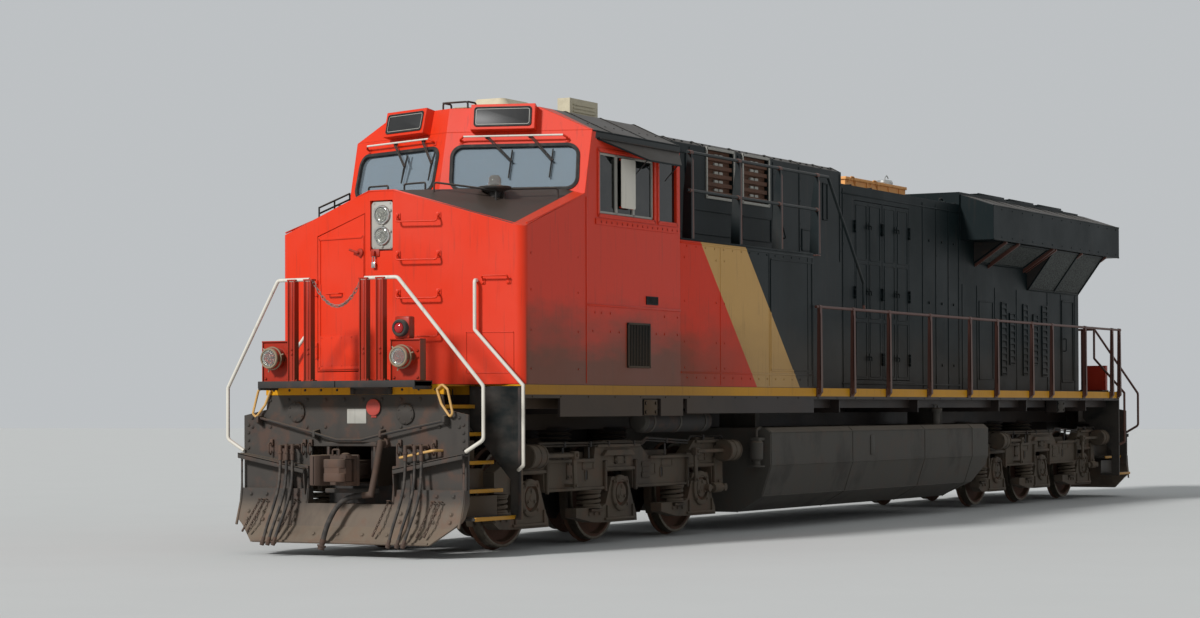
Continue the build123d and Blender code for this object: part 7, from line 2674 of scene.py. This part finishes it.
@dataclass(frozen=True)
class Hoses:
    """Brake hose and the six smaller hoses, hanging from their fittings."""

    finish: Finish
    brake: tuple[Point, ...] = (
        (10.800, 0.215, 0.602),
        (10.82386, 0.110, 0.59245),
        (10.868, 0.022, 0.552),
        (10.915, -0.040, 0.470),
        (10.955, -0.085, 0.360),
        (10.985, -0.115, 0.255),
        (11.000, -0.135, 0.155),
    )
    drop: tuple[Point, ...] = (
        (0.0, 0.0, 0.0),
        (0.0, 0.0, 0.150),
        (0.040, 0.014, 0.350),
        (0.150, 0.022, 0.560),
        (0.235, 0.006, 0.720),
        (0.280, -0.018, 0.860),
    )
    elbows_y: tuple[float, ...] = (-0.835, -0.758, -0.682, 0.710, 0.823, 0.903)
    mouth_x: float = SHEET + 0.12
    mouth_z: float = 1.025
    brake_radius: float = 0.027
    small_radius: float = 0.016

    def build(self) -> None:
        """Build every hose with its coupling."""
        self.hose(
            "brake_hose", self.brake, self.brake_radius, "brake_hoses", (0.060, 0.033),
            (0.050, 0.046),
        )
        for number, y in enumerate(self.elbows_y):
            sway = 0.6 + 0.25 * (number % 3)
            points = [
                (self.mouth_x + dx, y + sway * dy, self.mouth_z - dz) for dx, dy, dz in self.drop
            ]
            self.hose(
                f"small_hose_{number + 1}", points, self.small_radius, "mu_hoses", (0.045, 0.020),
                (0.040, 0.030),
            )

    def hose(
        self, name: str, points: Sequence[Point], radius: float, node: str, neck: Span, head: Span
    ) -> None:
        """Hang one hose and put its coupling on the end.

        Args:
            name: the piece's name.
            points: the route from the fitting.
            radius: the hose's radius.
            node: the CAD node that it stands for.
            neck: the coupling's nipple, its length and radius.
            head: the coupling's head, its length and radius.
        """
        route = [(x, y, z + RAIL) for x, y, z in points]
        line = smooth_line(name, route)
        line.bevel_depth = radius
        line.bevel_resolution = 4
        line.use_fill_caps = True
        piece = bpy.data.objects.new(name, line)
        bpy.context.scene.collection.objects.link(piece)
        line.materials.append(self.finish.hose)
        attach(piece, "locomotive")
        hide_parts(node)
        end = Vector(points[-1])
        way = (end - Vector(points[-2])).normalized()
        form = Form()
        profile = [
            (0.0, 0.0), (0.0, neck[1]), (neck[0] * 0.6, neck[1] * 0.92), (neck[0], neck[1] * 0.8)
        ]
        profile += [
            (neck[0], head[1]), (neck[0] + 0.3 * head[0], head[1]),
            (neck[0] + 0.5 * head[0], head[1] * 0.8),
        ]
        profile += [(neck[0] + head[0], head[1] * 0.72), (neck[0] + head[0], 0.0)]
        form.turned(profile, end, way, 24)
        coupling = form.place(
            f"{name}_coupling", self.finish.coupler, "coupler_steel", replaces=("glad_hands",)
        )


def smooth_line(name: str, points: Sequence[Point]) -> bpy.types.Curve:
    """Make the smooth line that a hose follows.

    Args:
        name: the curve's name.
        points: the route's points.

    Returns:
        The curve, without a thickness.
    """
    line = bpy.data.curves.new(name, "CURVE")
    line.dimensions = "3D"
    spline = line.splines.new("NURBS")
    spline.points.add(len(points) - 1)
    for control, point in zip(spline.points, points):
        control.co = (*point, 1.0)
    spline.order_u = 3
    spline.use_endpoint_u = True
    spline.resolution_u = 12
    return line


@dataclass(frozen=True)
class Seats:
    """Crew seats: padded cushions and backs on pedestals."""

    finish: Finish
    places: tuple[Span, ...] = ((7.60, 0.95), (7.60, -0.95), (6.90, 0.95))
    floor: float = 2.60
    seat_z: float = 2.93
    cushion: float = 0.13

    def build(self) -> None:
        """Build every seat."""
        posts = Form()
        for number, (x, y) in enumerate(self.places, 1):
            posts.turned(
                [(0.0, 0.0), (0.0, 0.20), (0.02, 0.19), (0.03, 0.07), (0.25, 0.055), (0.25, 0.0)],
                (x, y, self.floor), UP, 28,
            )
            posts.block(
                (x - 0.17, x + 0.19), about(y, 0.18),
                (self.seat_z - 0.08, self.seat_z - 0.002), 0.015,
            )
            posts.tube(
                [
                    (x - 0.20, y, self.seat_z - 0.04), (x - 0.25, y, self.seat_z - 0.02),
                    (x - 0.285, y, self.seat_z + 0.30),
                ],
                0.02, 10, 0.03,
            )
            low = self.seat_z
            self.pad(
                f"seat_cushion_{number}", Vector((x + 0.01, y, low + self.cushion / 2)),
                (0.50, 0.49, self.cushion), 0.0,
            )
            self.pad(
                f"seat_back_{number}", Vector((x - 0.222, y, low + 0.46)), (0.62, 0.47, 0.10),
                math.radians(-97),
            )
        posts.place("seat_pedestals", self.finish.dark, "seat_fabric", replaces=("cab_seats",))

    def pad(self, name: str, middle: Vector, size: Point, tilt: float) -> None:
        """Build a crowned pad with a piped seam and sewn channels.

        Args:
            name: the piece's name.
            middle: its middle.
            size: its length, width and thickness.
            tilt: how far it is turned about the Y axis.
        """
        mesh = bmesh.new()
        bmesh.ops.create_cube(mesh, size=1.0)
        bmesh.ops.subdivide_edges(mesh, edges=mesh.edges, cuts=15, use_grid_fill=True)
        turn = Matrix.Rotation(tilt, 3, "Y")
        for vert in mesh.verts:
            u, v, w = (2 * c for c in vert.co)
            crown = (1 - u**4) * (1 - v**4)
            waist = 1 - 0.05 * (1 - w * w) - 0.03 * (u * u + v * v) * 0.5
            pull = 1 - 0.05 * (1 - abs(u)) * (abs(v) > 0.99) - 0.05 * (1 - abs(v)) * (abs(u) > 0.99)
            sewn = min(abs(abs(v) - 0.45), abs(v) if name.startswith("seat_back") else 1.0)
            channel = 0.10 * math.exp(-((sewn / 0.035) ** 2)) * crown
            height = w * (0.70 + 0.30 * crown - channel)
            place = Vector(
                (
                    u * size[0] / 2 * waist * pull, v * size[1] / 2 * waist * pull,
                    height * size[2] / 2,
                )
            )
            vert.co = middle + turn @ place
        bmesh.ops.smooth_vert(
            mesh, verts=mesh.verts, factor=0.5, use_axis_x=True, use_axis_y=True, use_axis_z=True
        )
        form = Form()
        form.mesh.free()
        form.mesh = mesh
        piece = form.place(name, self.finish.cloth, "seat_fabric", replaces=("cab_seats",))


@dataclass(frozen=True)
class DeskTrim:
    """Control stand panels, gauges and levers on the desks."""

    finish: Finish

    def build(self) -> None:
        """Build the trim of both desks."""
        form, screens = (Form() for _ in range(2))
        for side in SIDES:
            low, high = Vector((7.90, side * 0.92, 3.44)), Vector((8.20, side * 0.92, 3.66))
            rise = high - low
            face = Face(tuple(low), (0, -1, 0), tuple(rise))
            form.panel(face, (-0.42, 0.42), (0.02, rise.length - 0.02), 0.012, 0.004, 0.03)
            for u in (-0.24, 0.04):
                screens.panel(face, (u, u + 0.22), (0.10, 0.30), 0.018, 0.002, 0.012, back=0.010)
            for u in (-0.36, -0.31, 0.32, 0.37):
                form.tube((face.at(u, 0.12, 0.01), face.at(u, 0.12, 0.11)), 0.008, 8)
                form.turned(
                    [(0.0, 0.0), (0.0, 0.018), (0.02, 0.02), (0.035, 0.0)], face.at(u, 0.12, 0.10),
                    face.out, 14,
                )
        form.place("desk_panels", self.finish.cabin, "interior_paint")
        screens.place("desk_screens", self.finish.board, "interior_paint")


@dataclass(frozen=True)
class Studio:
    """The floor, the light and the camera at the photograph's place."""

    eye: Point = (33.6684, 15.5722, 1.473 + RAIL)
    yaw: float = -151.0549
    pitch: float = 0.92
    roll: float = -0.1874
    focal_px: float = 2686.717
    principal_px: Span = (594.5356, 366.1207)
    image_px: tuple[int, int] = (1200, 618)
    backdrop: str = "#E4E8EB"
    ambient: float = 0.48
    seen: float = 0.66
    key_energy: float = 3.0
    key_towards: Point = (-0.85, 0.20, -0.55)

    def camera(self) -> None:
        """Place the camera as the photograph was taken."""
        yaw, pitch, roll = (math.radians(v) for v in (self.yaw, self.pitch, self.roll))
        ahead = Vector(
            (math.cos(yaw) * math.cos(pitch), math.sin(yaw) * math.cos(pitch), math.sin(pitch))
        )
        level = ahead.cross(Vector(UP)).normalized()
        raised = level.cross(ahead)
        right = level * math.cos(roll) + raised * math.sin(roll)
        up = raised * math.cos(roll) - level * math.sin(roll)
        turn = Matrix((right, up, -ahead)).transposed().to_4x4()
        lens = bpy.data.cameras.new("camera")
        lens.sensor_width = 36.0
        lens.lens = 36.0 * self.focal_px / self.image_px[0]
        lens.shift_x = (self.image_px[0] / 2 - self.principal_px[0]) / self.image_px[0]
        lens.shift_y = (self.principal_px[1] - self.image_px[1] / 2) / self.image_px[0]
        lens.clip_end = 400.0
        camera = bpy.data.objects.new("camera", lens)
        camera.matrix_world = Matrix.Translation(self.eye) @ turn
        bpy.context.scene.collection.objects.link(camera)
        bpy.context.scene.camera = camera

    def floor(self) -> None:
        """Lay a wide pale floor on the ground."""
        form = bmesh.new()
        bmesh.ops.create_grid(form, x_segments=1, y_segments=1, size=150.0)
        mesh = bpy.data.meshes.new("floor")
        form.to_mesh(mesh)
        form.free()
        floor = bpy.data.objects.new("floor", mesh)
        bpy.context.scene.collection.objects.link(floor)
        pattern = Pattern("floor_paper")
        pale = pattern.coat(pattern.ramp(pattern.cloud(1.5), 0.3, 0.7, 0.2), "#C9CAC8", "#C2C3C1")
        mesh.materials.append(pattern.finish(pale, 0.9))

    def light(self) -> None:
        """Light the object with a soft key ahead of the nose and a pale world."""
        world = bpy.data.worlds.new("studio")
        world.use_nodes = True
        back = world.node_tree.nodes["Background"]
        back.inputs["Color"].default_value = linear(self.backdrop)
        path = add_node(world.node_tree, "LightPath").outputs
        rays = {0: path["Is Camera Ray"], 1: path["Is Glossy Ray"]}
        seen = add_node(world.node_tree, "Math", rays, operation="ADD").outputs[0]
        rays = {0: seen, 1: path["Is Transmission Ray"]}
        seen = add_node(world.node_tree, "Math", rays, operation="ADD", use_clamp=True)
        level = {"Value": seen.outputs[0], "To Min": self.ambient, "To Max": self.seen}
        strength = add_node(world.node_tree, "MapRange", level).outputs["Result"]
        world.node_tree.links.new(strength, back.inputs["Strength"])
        bpy.context.scene.world = world
        lamp = bpy.data.lights.new("key", "SUN")
        lamp.energy = self.key_energy
        lamp.angle = math.radians(8)
        key = bpy.data.objects.new("key", lamp)
        key.rotation_mode = "QUATERNION"
        key.rotation_quaternion = Vector(self.key_towards).to_track_quat("-Z", "Y")
        bpy.context.scene.collection.objects.link(key)
        bpy.context.scene.view_settings.view_transform = "Standard"


def dress(finish: Finish) -> None:
    """Give every CAD node its finish.

    Args:
        finish: all finishes.
    """
    coats = {
        finish.nose: ("nose",),
        finish.red: ("nose_door", "cab_door", "number_boxes"),
        finish.cab: ("cab_shell", "cab_roof"),
        finish.black: (
            "window_awnings", "engine_hood", "radiator_hood", "hood_vents", "hood_door_1",
            "hood_door_2", "hood_door_3", "hood_door_4",
        ),
        finish.step: ("steps",),
        finish.livery: ("inverter_cabinet", "upper_hood"),
        finish.sill: ("underframe",),
        finish.tan: ("exhaust_stack",),
        finish.frame: (
            "truck_frame_front", "truck_frame_rear", "journal_boxes_front", "journal_boxes_rear",
            "springs_front", "springs_rear", "brake_cylinders_front", "brake_cylinders_rear",
        ),
        # The air reservoirs take the dark steel as painted shade under the frame.
        finish.dark: (
            "traction_motors_front", "traction_motors_rear", "radiator_screens", "engine_block",
            "air_reservoirs", "cut_levers",
        ),
        finish.plow: ("pilot_front", "pilot_rear"),
        finish.tank: ("fuel_tank",),
        finish.coupler: (
            "coupler_front", "coupler_rear", "knuckle_front", "knuckle_rear", "hose_fittings",
            "glad_hands",
        ),
        finish.rust: ("grid_louvres", *(f"wheelset_{number}" for number in range(1, 7))),
        finish.end_rail: ("end_handrails",),
        finish.side_rail: ("side_handrails",),
        finish.lamp_box: ("lamp_cases",),
        finish.lens: ("lamp_lenses",),
        finish.glass: ("cab_glass",),
        finish.plastic: ("roof_units",),
        finish.cabin: ("control_desks",),
        finish.cloth: ("cab_seats",),
        finish.hose: ("brake_hoses", "mu_hoses"),
        finish.horn: ("horn",),
    }
    for material, nodes in coats.items():
        for node in nodes:
            slots = frame["nodes"][node].data.materials
            slots.clear()
            slots.append(material)
            LOG.info("dressed %s with %s", node, material.name)
    bare = set(frame["nodes"]) - {node for nodes in coats.values() for node in nodes}
    if bare:
        raise ValueError(f"nodes without a finish: {sorted(bare)}")


def main() -> None:
    """Build the locomotive's looks."""
    logging.basicConfig(level=logging.INFO)
    studio = Studio()
    studio.camera()
    finish = Finish()
    Hoses(finish).build()
    studio.floor()
    studio.light()
    dress(finish)
    assemblies = (
        Headlights(finish),
        NoseTrim(finish),
        WindshieldTrim(finish),
        NumberBoards(finish),
        SideWindowTrim(finish),
        CabTrim(finish),
        Seams(finish),
        RailTrim(finish),
        DitchLamps(finish),
        PilotTrim(finish),
        StepTrim(finish),
        TruckTrim(finish, "front", TRUCK, 1),
        TruckTrim(finish, "rear", -TRUCK, 4),
        TankTrim(finish),
        CouplerTrim(finish, "front", 1),
        CouplerTrim(finish, "rear", -1),
        Seats(finish),
        DeskTrim(finish),
    )
    for assembly in assemblies:
        assembly.build()
        LOG.info("built %s", type(assembly).__name__)


if __name__ == "__main__":
    main()
